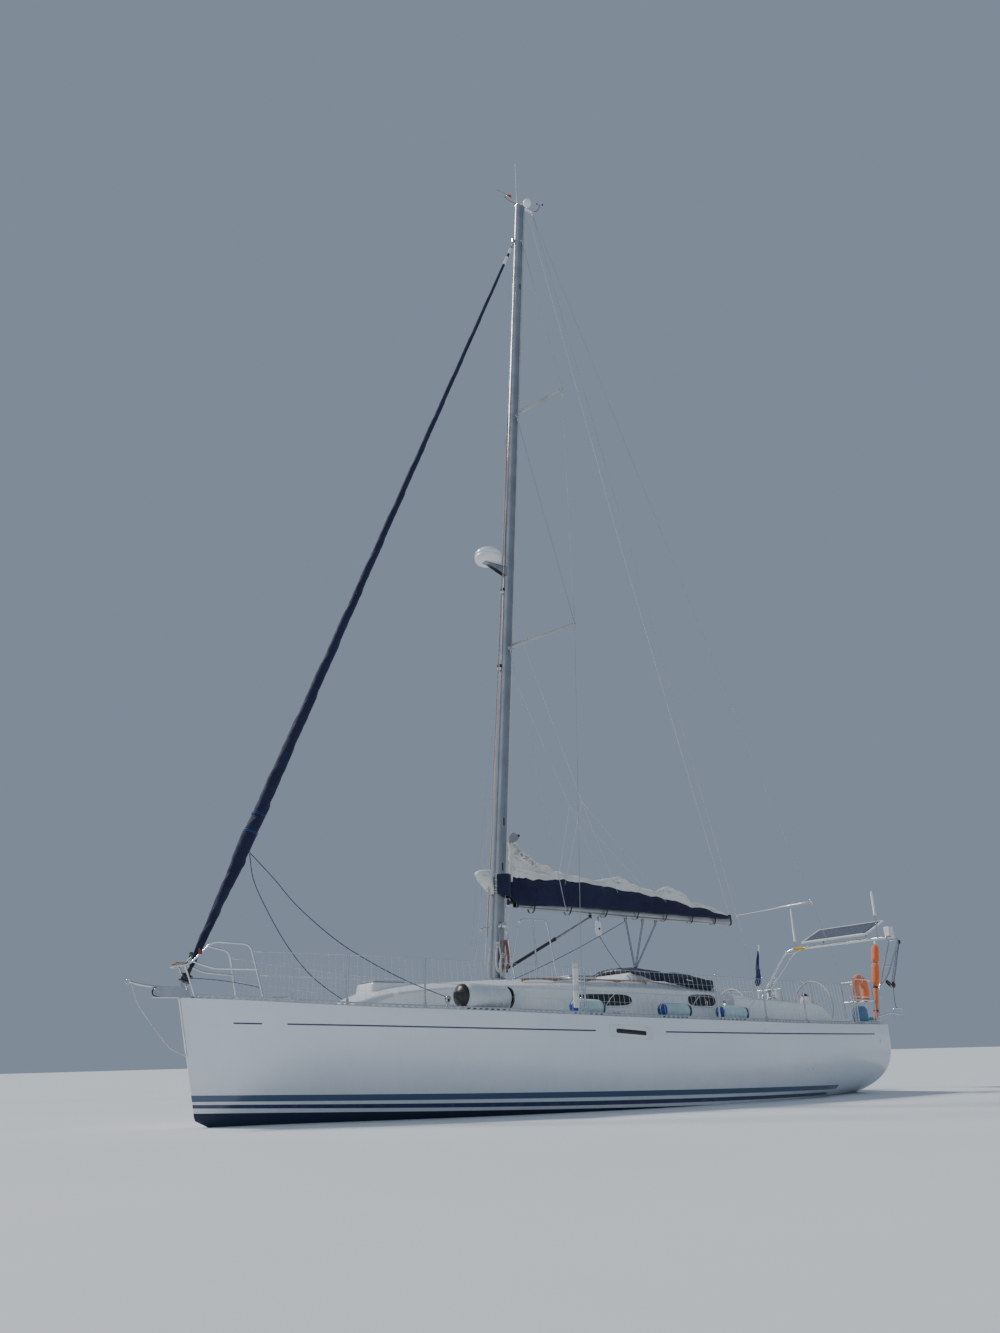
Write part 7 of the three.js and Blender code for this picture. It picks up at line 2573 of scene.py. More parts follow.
@dataclass
class Rig:
    """Mast, spreaders, wires, furler, boom and the running lines."""

    half_fore: float = 0.107
    half_wide: float = 0.065
    wire: float = 0.0042
    boom_wide: float = 0.0545  # half of the boom's width
    boom_high: float = 0.0745  # half of its height
    bar_y: float = 0.555  # the mast bars' distance from the middle
    spreaders: tuple = (
        ("spreaders_lower", 7.102, -0.565, 1.174, 7.190, 0.150),
        ("spreaders_upper", 11.861, -0.430, 0.965, 11.956, 0.130),
    )

    def build(self) -> None:
        """Makes and dresses the rig's pieces."""
        self.mast()
        self.mast_fittings()
        self.crosstrees()
        self.side_wires()
        self.backstay()
        self.furler()
        self.masthead()
        self.radar()
        self.bars()
        self.boom()
        self.vang()
        self.mainsheet()
        self.running_lines()

    def mast(self) -> None:
        """An oval tube with a sail groove down its aft face, its step, its head plate, its tangs and lugs."""
        turn = np.sort(
            np.concatenate(
                [
                    np.linspace(-math.pi + 0.2, math.pi - 0.2, 34),
                    math.pi + np.array([-0.13, -0.11, -0.07, -0.05]),
                    -math.pi + np.array([0.13, 0.11, 0.07, 0.05])
                ]
            )
        )
        gap = math.pi - np.abs(turn)
        depth = np.where(gap < 0.06, 0.90, 1.0)
        x, y = self.half_fore * np.cos(turn) * depth, self.half_wide * np.sin(turn)
        y = np.where(gap < 0.06, y * 1.4, y)
        z = np.concatenate([[1.752], np.linspace(1.9, MAST_TOP, 30)])
        rows = joined(mast_x(z)[:, None] + x, y, z[:, None])
        shape = Shape().grid(rows, closed=True, caps=True)
        piece("mast_tube", shape, SPAR, replaces=["mast"], trim=Trim(sharp=32))
        parts = Shape()
        parts.block((-0.27, -0.032, MAST_TOP), (mast_at(MAST_TOP) + 0.1, 0.032, MAST_TOP + 0.019))
        for z0 in (HOUNDS, 11.74, 7.02):
            x0 = mast_at(z0)
            parts.block((x0 - 0.045, -0.092, z0), (x0 + 0.005, 0.092, z0 + 0.014))
            for side in SIDES.values():
                parts.lathe(
                    [(0, 0), (0.03, 0), (0.026, 0.006), (0, 0.007)], (x0 - 0.02, side * 0.063, z0 + 0.04),
                    (0, side, 0), 16
                )
        x0 = mast_at(HOUNDS)
        parts.block((x0 + 0.08, -0.016, HOUNDS), (x0 + 0.165, 0.016, HOUNDS + 0.06))
        for z0, stand in ((BOOM_PIN_Z, 0.043), (VANG_PIN_Z, 0.048)):
            for side in SIDES.values():
                outline = loop([(-0.028, -0.024), (0.112, -0.032), (0.112, 0.032), (-0.028, 0.024)], 0.02, 5)
                low = beside_mast(z0, np.column_stack([outline, np.full(len(outline), side * stand)]))
                high = beside_mast(
                    z0, np.column_stack([outline, np.full(len(outline), side * (stand + 0.0095))])
                )
                parts.grid(np.stack([low, high]), closed=True, caps=True)
            head = beside_mast(z0, arr([(0, 0, stand + 0.0095)]))[0]
            parts.lathe(
                [(0, -0.002), (0.014, -0.002), (0.014, 0.006), (0.01, 0.009), (0, 0.009)], head, PIN_AXIS, 14
            )
            plate = beside_mast(
                z0,
                arr([(0.062, -0.05, -0.11), (0.062, 0.05, -0.11), (0.062, 0.05, 0.11), (0.062, -0.05, 0.11)])
            )
            parts.prism(plate, (0.04, 0, 0.0026))
        piece("mast_brackets", parts, STEEL, trim=Trim(bevel=0.0015))
        step = Shape().lathe(
            [(0.0, 0.07), (0.135, 0.07), (0.15, 0.062), (0.155, 0.03), (0.17, 0.012), (0.172, -0.05)],
            (MAST_FOOT_X, 0, 1.70), sides=32
        )
        piece("mast_step", step, SPAR, trim=Trim(sharp=40))

    def mast_fittings(self) -> None:
        """Halyard exits, winches and cleats at the foot, rope coils, the steaming and the deck light."""
        exits = Shape()
        for z, side in ((3.4, 1), (3.75, -1), (4.1, 1), (14.9, 1), (9.9, -1)):
            at = (mast_at(z) - 0.012, side * (self.half_wide - 0.003), z)
            exits.block(
                (at[0] - 0.012, min(at[1], at[1] + side * 0.006), z - 0.06),
                (at[0] + 0.012, max(at[1], at[1] + side * 0.006), z + 0.06)
            )
        piece("mast_exits", exits, BLACK, trim=Trim(bevel=0.002))
        drum = [
            (0, 0), (0.05, 0), (0.05, 0.012), (0.036, 0.03), (0.033, 0.06), (0.04, 0.085), (0.045, 0.095),
            (0.04, 0.105), (0.015, 0.11), (0, 0.11)
        ]
        winches = Shape()
        for side in SIDES.values():
            winches.lathe(drum, (mast_at(2.52) - 0.01, side * 0.062, 2.52), (0, side, 0), 28)
            for z in (2.2, 2.32):
                x = mast_at(z) + 0.02
                t = np.linspace(-1, 1, 13)
                path = joined(x, side * (0.098 + 0.006 * t**2), z + 0.075 * t)
                winches.tube(path, 0.008 * np.sqrt(np.clip(1.05 - np.abs(t) ** 3, 0.03, 1)), 8)
                winches.bar((x, side * 0.06, z - 0.018), (x, side * 0.096, z - 0.018), 0.014, 0.014)
                winches.bar((x, side * 0.06, z + 0.018), (x, side * 0.096, z + 0.018), 0.014, 0.014)
        piece("mast_winches", winches, STEEL)
        coils = (
            (1.085, 0.098, 2.16, 0.19, LINE_WHITE),
            (1.015, 0.101, 2.05, 0.15, LINE_WHITE),
            (0.955, 0.098, 2.19, 0.20, LINE_RED),
            (1.06, -0.100, 2.10, 0.18, LINE_WHITE),
            (0.965, -0.100, 2.15, 0.16, LINE_WHITE),
        )
        for k, (x, y, z, tall, finish) in enumerate(coils):
            turn = np.linspace(0, 11 * 2 * math.pi, 11 * 18)
            out = np.sign(y) * (0.010 + 0.016 * np.abs(np.sin(turn / 22 * 3 + k)))
            wide = 0.030 + 0.012 * np.sin(turn / 3.3 + k) + 0.012 * (1 - np.sin(turn))
            high = tall + 0.022 * np.sin(turn / 4.7 + k)
            path = joined(
                x + wide * np.cos(turn), y + out + 0.006 * np.sin(turn * 1.3), z + high * np.sin(turn) - 0.10
            )
            piece(f"halyard_coil_{k + 1}", Shape().strands(path[None], 0.0052, 6, (0.2, 1.0, 0.05)), finish)
            knot = np.linspace(0, 3 * 2 * math.pi, 60)
            spot = joined(
                x + 0.034 * np.cos(knot), y + np.sign(y) * 0.016 + 0.026 * np.sin(knot),
                z + tall - 0.15 + 0.004 * knot
            )
            piece(f"halyard_coil_{k + 1}_turns", Shape().strands(spot[None], 0.0052, 6, (0, 0, 1)), finish)
        lights, glass = Shape(), Shape()
        for z, out in ((8.15, 0.115), (6.73, 0.125)):
            x = mast_at(z) + out
            lights.block((x - 0.03, -0.035, z - 0.04), (x + 0.03, 0.035, z + 0.02))
            glass.lathe([(0, 0), (0.032, 0), (0.03, -0.03), (0, -0.036)], (x + 0.005, 0, z - 0.04), sides=18)
        piece("mast_lights", lights, BLACK, trim=Trim(bevel=0.006))
        piece("mast_light_glasses", glass, PALE)

    def crosstrees(self) -> None:
        """Spreaders: foil sections that taper from a bracket on the mast to a rounded tip."""
        for name, root_z, tip_x, tip_y, tip_z, chord in self.spreaders:
            shape = Shape()
            s = np.linspace(0, 1, 12)
            turn = whole_turn(18)
            for side in SIDES.values():
                x0 = mast_at(root_z)
                start, end = (
                    arr((x0 - 0.07, side * 0.03, root_z)),
                    arr((x0 + tip_x, side * (tip_y - 0.012), tip_z - 0.002))
                )
                middle = start + (end - start) * s[:, None]
                wide = chord * (1 - 0.52 * s) / 2
                thick = 0.021 * (1 - 0.42 * s)
                ring = joined(wide[:, None] * np.cos(turn), 0.0, thick[:, None] * np.sin(turn))
                shape.grid(middle[:, None] + ring, closed=True, caps=True)
                shape.ball(end + [0, side * 0.006, 0], 0.019, (1.4, 0.8, 0.9))
            x0 = mast_at(root_z)
            rows = np.linspace(-0.034, 0.034, 5)
            around = np.linspace(math.pi * 0.52, math.pi * 1.48, 18)
            grow = 0.007 * np.clip(1 - (np.abs(rows) / 0.034) ** 6, 0, 1)
            bracket = joined(
                x0 - MAST_LEAN * rows[:, None] + (self.half_fore + grow[:, None]) * np.cos(around),
                (self.half_wide + grow[:, None]) * np.sin(around), root_z + rows[:, None]
            )
            shape.grid(bracket)
            piece(name + "_blades", shape, SPAR, replaces=[name])

    def turnbuckle(self, shape: Shape, foot: Array, way: Array, size: float = 1.0) -> None:
        """Adds a rigging screw: fork, pin, body and swage along a direction.

        Args:
            shape: the shape that it is added to.
            foot: its lower end.
            way: its direction.
            size: its share of the full size.
        """
        p = [
            (0, -0.13), (0.006, -0.13), (0.006, -0.08), (0.012, -0.075), (0.013, -0.06), (0.013, 0.06),
            (0.012, 0.075), (0.0065, 0.08), (0.0065, 0.14), (0.009, 0.145), (0.009, 0.19), (0.0055, 0.2),
            (0.0045, 0.205)
        ]
        shape.lathe([(r * size, h * size) for r, h in p], foot, way, 14)
        side = basis(way)[0]
        for k in (-1, 1):
            a = foot - way * 0.12 * size + side * 0.009 * k * size
            shape.bar(a, a - way * 0.055 * size, 0.006 * size, 0.02 * size, tuple(side))
        shape.pin(0.005, 0.016, foot - way * 0.165 * size, side, 10)

    def side_wires(self) -> None:
        """Shrouds of each side: wires between chainplate, spreader tips and tangs, with their screws."""
        (_, z1, x1, y1, t1, _), (_, z2, x2, y2, t2, _) = self.spreaders
        for name, side in SIDES.items():
            def tip(root: float, x: float, y: float, z: float) -> Array:
                """A place on the spreader's tip, from the mast's line at its root."""
                return arr((mast_at(root) + x, side * y, z))

            def tang(z: float) -> Array:
                """Where the wires leave the mast at a height."""
                return arr((mast_at(z) - 0.02, side * 0.082, z - 0.0013))

            low, high = tip(z1, x1, y1, t1), tip(z2, x2, y2, t2)
            foot, inner = arr((0.700, side * 1.592, 1.290)), arr((0.610, side * 1.580, 1.290))
            runs = [(high, tang(HOUNDS)), (low, high), (foot, low), (low, tang(11.74)), (inner, tang(7.02))]
            shape = Shape()
            for a, b in runs:
                shape.tube(np.stack([a, (a + b) / 2, b]), self.wire, 8)
            piece("shroud_wires_" + name, shape, WIRE, replaces=["shrouds_" + name])
            screws = Shape()
            for a, b in ((foot, low), (inner, tang(7.02))):
                way = unit(b - a)
                self.turnbuckle(screws, a + way * 0.05, way)
            for a, b in runs:
                way = unit(a - b)
                profile = [
                    (0.0042, 0.16), (0.0075, 0.155), (0.0075, 0.045), (0.01, 0.04), (0.01, 0.0), (0, 0.0)
                ]
                screws.lathe(profile, b, way, 12)
            y0, y3 = sorted([side * 1.570, side * 1.608])
            screws.block((0.57, y0, 1.148), (0.74, y3, 1.168))
            for x in (0.61, 0.70):
                screws.block(
                    (x - 0.012, side * 1.586 - 0.004, 1.15), (x + 0.012, side * 1.586 + 0.004, 1.235)
                )
            piece("shroud_screws_" + name, screws, STEEL, trim=Trim(bevel=0.0008))

    def backstay(self) -> None:
        """The backstay's two legs from the masthead, with a spreading bar, screws and plates at the deck."""
        head = arr((-0.254, 0, 17.0257))
        shape, screws = Shape(), Shape()
        screws.lathe(
            [(0, 0.06), (0.01, 0.06), (0.012, 0.02), (0.012, -0.01), (0.007, -0.03), (0, -0.03)], head
        )
        feet = [arr((-5.48, side * 1.04, 1.055)) for side in SIDES.values()]
        for foot in feet:
            shape.tube(np.stack([head, (head + foot) / 2, foot]), self.wire, 8)
            way = unit(head - foot)
            self.turnbuckle(screws, foot + way * 0.30, way, 1.15)
            screws.block(tuple(foot + [-0.03, -0.006, -0.02]), tuple(foot + [0.03, 0.006, 0.075]))
        ends = [head + (foot - head) * 0.874 for foot in feet]
        piece("backstay_wires", shape, WIRE, replaces=["backstay"])
        screws.tube(np.stack([ends[0], (ends[0] + ends[1]) / 2, ends[1]]), 0.013, 12)
        for end in ends:
            screws.lathe(
                [(0, -0.05), (0.01, -0.05), (0.016, -0.03), (0.016, 0.03), (0.01, 0.05), (0, 0.05)], end,
                tuple(head - feet[0]), 14
            )
        piece("backstay_screws", screws, STEEL, trim=Trim(bevel=0.0008))

    def stay(self) -> tuple[Array, Array, float]:
        """The forestay's foot, its direction and its length.

        Returns:
            The foot, the unit direction and the length.
        """
        foot, head = stay_ends()
        return foot, unit(head - foot), float(np.linalg.norm(head - foot))

    def furler(self) -> None:
        """The furling drum in its cage with its line, the fork below, and the stay's head above the sail."""
        foot, way, long = self.stay()
        drum = [
            (0, -0.01), (0.014, -0.01), (0.016, 0.018), (0.074, 0.02), (0.078, 0.024), (0.078, 0.030),
            (0.056, 0.034), (0.05, 0.04), (0.05, 0.09), (0.056, 0.096), (0.078, 0.099), (0.078, 0.108),
            (0.07, 0.112), (0.034, 0.116), (0.03, 0.13), (0.027, 0.205), (0.024, 0.215), (0, 0.215)
        ]
        shape = Shape().lathe(drum, foot, way, 32)
        piece("furler_body", shape, BLACK, replaces=["furler_drum"], trim=Trim(sharp=35))
        turn = np.linspace(0, 7 * 2 * math.pi, 7 * 20)
        a, b, c = basis(way)
        path = (
            foot + (0.053 * np.cos(turn))[:, None] * a + (0.053 * np.sin(turn))[:, None] * b
            + (0.042 + 0.048 * turn / turn[-1])[:, None] * c
        )
        turns = Shape().strands(path[None], 0.0045, 6, tuple(way))
        piece("furling_line_turns", turns, LINE_DARK)
        cage = Shape()
        cage.block((5.572, -0.009, 1.4925), (5.628, 0.009, 1.60))
        for k in (-1, 1):
            cage.block((5.575, 0.012 * k - 0.003, 1.56), (5.620, 0.012 * k + 0.003, 1.655))
        cage.pin(0.008, 0.024, (5.598, 0, 1.585), (0, 1, 0), 12)
        piece("furler_fork", cage, STEEL, trim=Trim(bevel=0.001))
        z = np.array([14.4803, 14.4803, 14.53, 14.54, 14.57, 14.575, 14.62, long - 0.12, long - 0.11, long])
        r = np.array([0.0, 0.024, 0.024, 0.02, 0.02, 0.024, 0.012, 0.0085, 0.012, 0.011])
        head = Shape().lathe(np.column_stack([r, z]).tolist() + [(0, long)], foot, way, 16)
        piece("forestay_foil", head, SPAR, replaces=["forestay_head"])
        x = np.linspace(5.48, 4.75, 12)
        line = joined(x, 0.05 + (5.48 - x) * 0.47, 1.70 - (5.48 - x) * 0.17 + 0.02 * np.sin((x - 4.75) * 4.3))
        line = np.vstack([foot + way * 0.06 + arr((-0.05, 0.02, 0)), line])
        piece("furling_line_lead", Shape().tube(line, 0.004, 8), LINE_DARK)

    def masthead(self) -> None:
        """The radio whip, the wind vane, the anemometer's cups, the dome aerial and the tri-colour lamp."""
        whip = [(0, 0), (0.011, 0), (0.011, 0.09), (0.0045, 0.1), (0.0035, 1.1277), (0, 1.1277)]
        piece(
            "masthead_whip", Shape().lathe(whip, (0.135, 0, 17.1073), sides=12), PALE,
            replaces=["masthead_antenna"]
        )
        shape = Shape()
        shape.tube(
            rounded([(0.10, 0.0, 17.106), (0.30, 0.0, 17.12), (0.43, 0, 17.16), (0.43, 0, 17.25)], 0.05),
            0.0045, 10
        )
        shape.tube(rounded([(-0.22, 0.0, 17.106), (-0.36, 0.0, 17.17), (-0.44, 0, 17.34)], 0.05), 0.006, 10)
        piece("masthead_arms", shape, BLACK)
        vane = Shape()
        vane.tube([(0.62, 0, 17.255), (0.45, 0.0, 17.255), (0.26, 0.0, 17.255)], 0.003, 8)
        vane.prism(
            [(0.26, -0.001, 17.22), (0.36, -0.001, 17.235), (0.36, -0.001, 17.275), (0.26, -0.001, 17.29)],
            (0, 0.002, 0)
        )
        vane.prism([(0.56, -0.001, 17.245), (0.64, -0.001, 17.255), (0.56, -0.001, 17.265)], (0, 0.002, 0))
        piece("wind_vane", vane, RED_LENS)
        cups = Shape()
        for k in range(3):
            angle = k * 2 * math.pi / 3 + 0.4
            way = arr((math.cos(angle), math.sin(angle), 0))
            at = arr((-0.44, 0, 17.375))
            cups.tube(np.stack([at, at + way * 0.03, at + way * 0.055]), 0.0018, 6)
            cups.lathe(
                [(0, 0.0), (0.012, 0.003), (0.017, 0.013), (0.018, 0.02)], at + way * 0.07,
                tuple(np.cross(way, (0, 0, 1))), 14
            )
        cups.lathe(
            [(0, -0.04), (0.009, -0.04), (0.009, 0.0), (0.014, 0.004), (0.01, 0.014), (0, 0.016)],
            (-0.44, 0, 17.37), sides=14
        )
        piece("anemometer", cups, BLACK)
        dome = [
            (0, 0.0), (0.02, 0.0), (0.02, 0.11), (0.07, 0.12), (0.088, 0.16), (0.084, 0.21), (0.06, 0.25),
            (0.03, 0.268), (0, 0.272)
        ]
        piece("masthead_dome", Shape().lathe(dome, (-0.13, 0, 17.105), sides=28), PALE)
        lamp = Shape().lathe(
            [(0, 0), (0.03, 0), (0.03, 0.018), (0.026, 0.02), (0.028, 0.06), (0.022, 0.07), (0, 0.072)],
            (0.02, 0, 17.1055), sides=20
        )
        piece("masthead_lamp", lamp, PALE)

    def radar(self) -> None:
        """The radar dome with its seam, its tray and the bracket on the mast's fore face."""
        z = 8.5843
        profile = [
            (0, 0.0), (0.15, 0.0), (0.21, 0.012), (0.232, 0.05), (0.236, 0.085), (0.236, 0.108),
            (0.2335, 0.110), (0.2335, 0.114), (0.236, 0.116), (0.234, 0.15), (0.222, 0.192), (0.19, 0.224),
            (0.14, 0.242), (0.07, 0.249), (0, 0.25)
        ]
        piece(
            "radar_shell", Shape().lathe(profile, (1.025, 0, z), sides=48), GELCOAT, replaces=["radar_dome"],
            trim=Trim(sharp=60)
        )
        arm = Shape()
        x0 = mast_at(8.57)
        arm.block((x0 + 0.06, -0.058, 8.57), (1.115, 0.058, 8.5805))
        for y in (-0.05, 0.05):
            arm.prism(
                [
                    (x0 + 0.09, y - 0.003, 8.42), (x0 + 0.11, y - 0.003, 8.42), (1.06, y - 0.003, 8.568),
                    (x0 + 0.08, y - 0.003, 8.568)
                ], (0, 0.006, 0)
            )
        arm.prism(
            [
                (x0 + 0.07, -0.055, 8.40), (x0 + 0.07, 0.055, 8.40), (x0 + 0.07, 0.055, 8.57),
                (x0 + 0.07, -0.055, 8.57)
            ], (0.035, 0, 0)
        )
        piece("radar_bracket", arm, SPAR, trim=Trim(bevel=0.0015))

    def bars(self) -> None:
        """Bent bars beside the mast, with a middle leg and round feet on the roof."""
        for name, side in SIDES.items():
            shape = Shape()

            def foot(x: float) -> tuple[float, float, float]:
                """A foot on the roof, beside the mast."""
                return (x, self.bar_y, float(roof_top(x, self.bar_y)) - 0.002)

            bends = ((1.0, 2.48), (0.96, 2.556), (0.54, 2.564), (0.497, 2.49))
            points = [foot(1.184), *((x, self.bar_y, z) for x, z in bends), foot(0.361)]
            shape.tube(bent(points, side, 0.08), 0.0125, 14)
            shape.tube(bent([foot(0.706), (0.742, self.bar_y, 2.556)], side), 0.0125, 14)
            for x in (1.184, 0.706, 0.361):
                a, b, c = foot(x)
                flange(shape, (a, side * b, c + 0.002))
            piece("mast_bar_" + name, shape, STEEL, replaces=["granny_bar_" + name])

    def boom(self) -> None:
        """The boom: an eased box section carried aft, end castings, gooseneck, reef lines and blocks."""
        turn = whole_turn(32)
        a = pressed(np.cos(turn), 0.6)
        b = pressed(np.sin(turn), 0.6)
        x = np.linspace(BOOM_FORE[0], BOOM_AFT[0], 14)
        rows = joined(x[:, None], self.boom_wide * a, boom_z(x)[:, None] + self.boom_high * b)
        piece("boom_tube", Shape().grid(rows, closed=True, caps=True), SPAR, BOOM, ["boom"])
        ends = Shape()
        for x0, x1 in ((BOOM_FORE[0], 0.655), (BOOM_AFT[0], -3.69)):
            steps = np.array([0.0, 0.1, 0.9, 1.0])
            size = np.array([0.94, 1.03, 1.03, 1.005])
            xs = x0 + (x1 - x0) * steps
            y, z = size[:, None] * self.boom_wide * a, size[:, None] * self.boom_high * b
            rows = joined(xs[:, None], y, boom_z(xs)[:, None] + z)
            ends.grid(rows, closed=True, caps=True)
        eye = beside_mast(BOOM_PIN_Z, arr([(0, 0, -0.0425)]))[0]
        ends.lathe([(0, 0), (0.021, 0), (0.021, 0.085), (0, 0.085)], eye, PIN_AXIS, 24)
        ends.block((0.69, -0.018, 2.858), (0.813, 0.018, 2.902))
        ends.block((-0.744, -0.008, 2.71), (-0.688, 0.008, 2.80))
        ends.block((-3.77, -0.009, 2.76), (-3.708, 0.009, 2.908))
        piece("boom_castings", ends, BLACK, BOOM, trim=Trim(bevel=0.002))
        blocks, wheels = Shape(), Shape()
        for x0 in (-1.43, -1.78, -2.06):
            at = arr((x0, 0, boom_z(x0) - 0.115))
            wheels.sheave(0.024, 0.02, 0.01, at, (0, 1, 0), 20)
            for y in (-0.014, 0.014):
                blocks.sheave(0.026, 0.028, 0.002, at + [0, y, 0], (0, 1, 0), 20)
                blocks.bar(at + [0, y, 0.045], at + [0, y, 0.0], 0.016, 0.004, (0, 1, 0))
            blocks.block((x0 - 0.014, -0.018, at[2] + 0.035), (x0 + 0.014, 0.018, at[2] + 0.042))
        piece("boom_block_wheels", wheels, BLACK, BOOM)
        piece("boom_blocks", blocks, STEEL, BOOM, trim=Trim(bevel=0.0008))
        z = np.linspace(-0.125, 0.125, 26)[:, None]
        turn = whole_turn(24)
        swell = np.clip(1 - (np.abs(z) / 0.1255) ** 4, 0.004, 1) ** 0.5 * (1 - 0.9 * z)
        hung = joined(-0.87 + 0.062 * swell * np.cos(turn), 0.019 * swell * np.sin(turn), 2.57 + z)
        piece("boom_hung_block", Shape().grid(hung, closed=True, caps=True), PALE, BOOM, trim=Trim(sharp=50))
        hub = Shape().pin(0.017, 0.024, (-0.87, 0, 2.555), (0, 1, 0), 18)
        piece("boom_hung_block_hub", hub, BLACK, BOOM)
        strop = rounded(
            [(-0.87, 0.012, 2.755), (-0.87, 0.012, 2.67), (-0.87, -0.012, 2.67), (-0.87, -0.012, 2.755)], 0.01
        )
        piece("boom_hung_block_loop", Shape().tube(strop, 0.004, 6), LINE_DARK, BOOM)
        reef = Shape()
        for side, far in ((1.0, -3.0), (-1.0, -2.4)):
            xs = np.linspace(0.6, far, 20)
            zs = boom_z(xs) - 0.07
            reef.tube(
                joined(xs, side * 0.046, zs - 0.006 - 0.012 * np.sin(np.linspace(0, math.pi, 20))), 0.004, 6
            )
        piece("boom_reef_lines", reef, LINE_WHITE, BOOM)
        lift = arr([(-3.734, 0, 2.9133), (-1.85, 0, 10.0), (mast_at(17.084) - PIN_AFT, 0, 17.0847)])
        piece("topping_lift_line", Shape().tube(lift, 0.0035, 8), LINE_WHITE, BOOM, ["topping_lift"])

    def vang(self) -> None:
        """The vang: a fork, a dark strut with a collar, and a bright rod into the boom's lug."""
        foot = beside_mast(VANG_PIN_Z, arr([(0, 0, 0)]))[0]
        head = arr((-0.716, 0, 2.730))
        way, long = unit(head - foot), float(np.linalg.norm(head - foot))
        body = [
            (0, 0.0), (0.012, 0.02), (0.013, 0.05), (0.022, 0.075), (0.024, 0.09), (0.024, 0.54 * long),
            (0.029, 0.545 * long), (0.029, 0.565 * long), (0.02, 0.57 * long), (0, 0.57 * long)
        ]
        shape = Shape().lathe(body, foot, way, 24)
        eye = beside_mast(VANG_PIN_Z, arr([(0, 0, -0.0475)]))[0]
        shape.lathe([(0, 0), (0.021, 0), (0.021, 0.095), (0, 0.095)], eye, PIN_AXIS, 24)
        piece("vang_strut", shape, BLACK, BOOM, ["vang"])
        rod = Shape().lathe(
            [
                (0, 0.5 * long), (0.0175, 0.5 * long), (0.0175, long - 0.06), (0.012, long - 0.04),
                (0.012, long - 0.02), (0, long - 0.02)
            ], foot, way, 20
        )
        for k in (-1, 1):
            rod.bar(
                head - way * 0.05 + [0, 0.0125 * k, 0], head + way * 0.012 + [0, 0.0125 * k, 0], 0.005, 0.03,
                (0, 1, 0)
            )
        piece("vang_rod", rod, SPAR, BOOM)

    def mainsheet(self) -> None:
        """The mainsheet's falls between the boom's blocks and the roof's block; they follow both bodies."""
        low = arr((-1.56, 0.0, 1.955))
        falls = Shape()
        for k, x0 in enumerate((-1.43, -1.78, -2.06)):
            for off in (-0.012, 0.012):
                a, b = arr((x0 + off, 0.0, boom_z(x0) - 0.135)), low + [off, 0.012 * (k - 1), 0.01]
                t = np.linspace(0, 1, 14)[:, None]
                falls.tube(a + (b - a) * t, 0.005, 8)
        made = piece("mainsheet_falls", falls, LINE_DARK, body="")
        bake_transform(made)
        eyes = Shape()
        leads = (
            ("boom_lead_line", (-1.42, 0.0, 2.70), (0.53, -0.58), (-1.2, 0.0, 2.6), (0.42, -0.5, 1.85)),
            ("block_lead_line", (-0.87, 0.0, 2.45), (-0.98, 0.56), (-0.88, 0.0, 2.4), (-0.97, 0.5, 1.85)),
        )
        for name, high, foot, start, end in leads:
            z = float(roof_top(np.float64(foot[0]), np.float64(foot[1])))
            a, b = arr(high), arr((foot[0], foot[1], z + 0.035))
            t = np.linspace(0, 1, 26)[:, None]
            line = Shape().tube(a + (b - a) * t + [0, 0, -0.04] * np.sin(t * math.pi), 0.005, 8)
            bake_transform(piece(name, line, LINE_DARK, body=""))
            flange(eyes, (foot[0], foot[1], z), 0.022)
            turn = whole_turn(16)
            eyes.hoop(
                joined(foot[0] + 0.016 * np.cos(turn), foot[1], z + 0.022 + 0.016 * np.sin(turn)), 0.004, 8
            )
        piece("lead_line_eyes", eyes, STEEL)
        base, wheel = Shape(), Shape()
        base.block((-1.66, -0.11, 1.8605), (-1.46, 0.11, 1.868))
        base.block((-1.575, -0.30, 1.868), (-1.545, 0.30, 1.890))
        for y in (-0.026, 0.0, 0.026):
            base.sheave(0.032, 0.034, 0.002, low + [0, y, -0.005], (0, 1, 0), 20)
        base.bar(low + [0, 0, -0.02], low + [0, 0, -0.072], 0.03, 0.045, (0, 1, 0))
        piece("mainsheet_base", base, TRACK, trim=Trim(bevel=0.0012))
        for y in (-0.013, 0.013):
            wheel.sheave(0.029, 0.025, 0.01, low + [0, y, -0.005], (0, 1, 0), 20)
        piece("mainsheet_wheels", wheel, BLACK)

    def running_lines(self) -> None:
        """Halyards down the mast, and the sail-gathering lines from the spreaders to the boom."""
        lines: dict[str, tuple[Rope, list]] = {
            "halyards_pale": (
                LINE_WHITE, [((0.10, 17.02), (0.25, 1.95), 0.03), ((0.112, 15.9), (0.16, 2.55), -0.035)]
            ),
            "halyards_dark": (
                LINE_RED, [((0.125, 16.2), (0.24, 2.3), 0.02), ((0.118, 12.0), (0.20, 2.35), -0.02)]
            )
        }
        for name, (finish, runs) in lines.items():
            shape = Shape()
            for (a, za), (b, zb), y in runs:
                z = np.linspace(za, zb, 24)
                t = (za - z) / (za - zb)
                x = mast_x(z) + a + (b - a) * t**2
                shape.tube(joined(x, y + 0.05 * t, z), 0.005, 7)
            piece(name, shape, finish)
        inner = Shape()
        for side in SIDES.values():
            z = np.linspace(16.9, 1.95, 12)
            inner.tube(joined(mast_x(z) - 0.05, side * (0.075 + 0.03 * (16.9 - z) / 15), z), 0.0045, 7)
        for off, high, y in ((-0.155, 2.74, 0.03), (-0.175, 2.70, -0.02), (-0.145, 2.62, -0.05)):
            z = np.linspace(high, 1.90, 14)
            inner.tube(joined(mast_x(z) + off + 0.02 * np.sin(z * 4), y + 0.012 * np.sin(z * 9), z), 0.005, 7)
        piece("halyards_side", inner, LINE_WHITE)
        jacks = Shape()
        for side in SIDES.values():
            top = arr((mast_at(7.1) - 0.12, side * 0.30, 7.12))
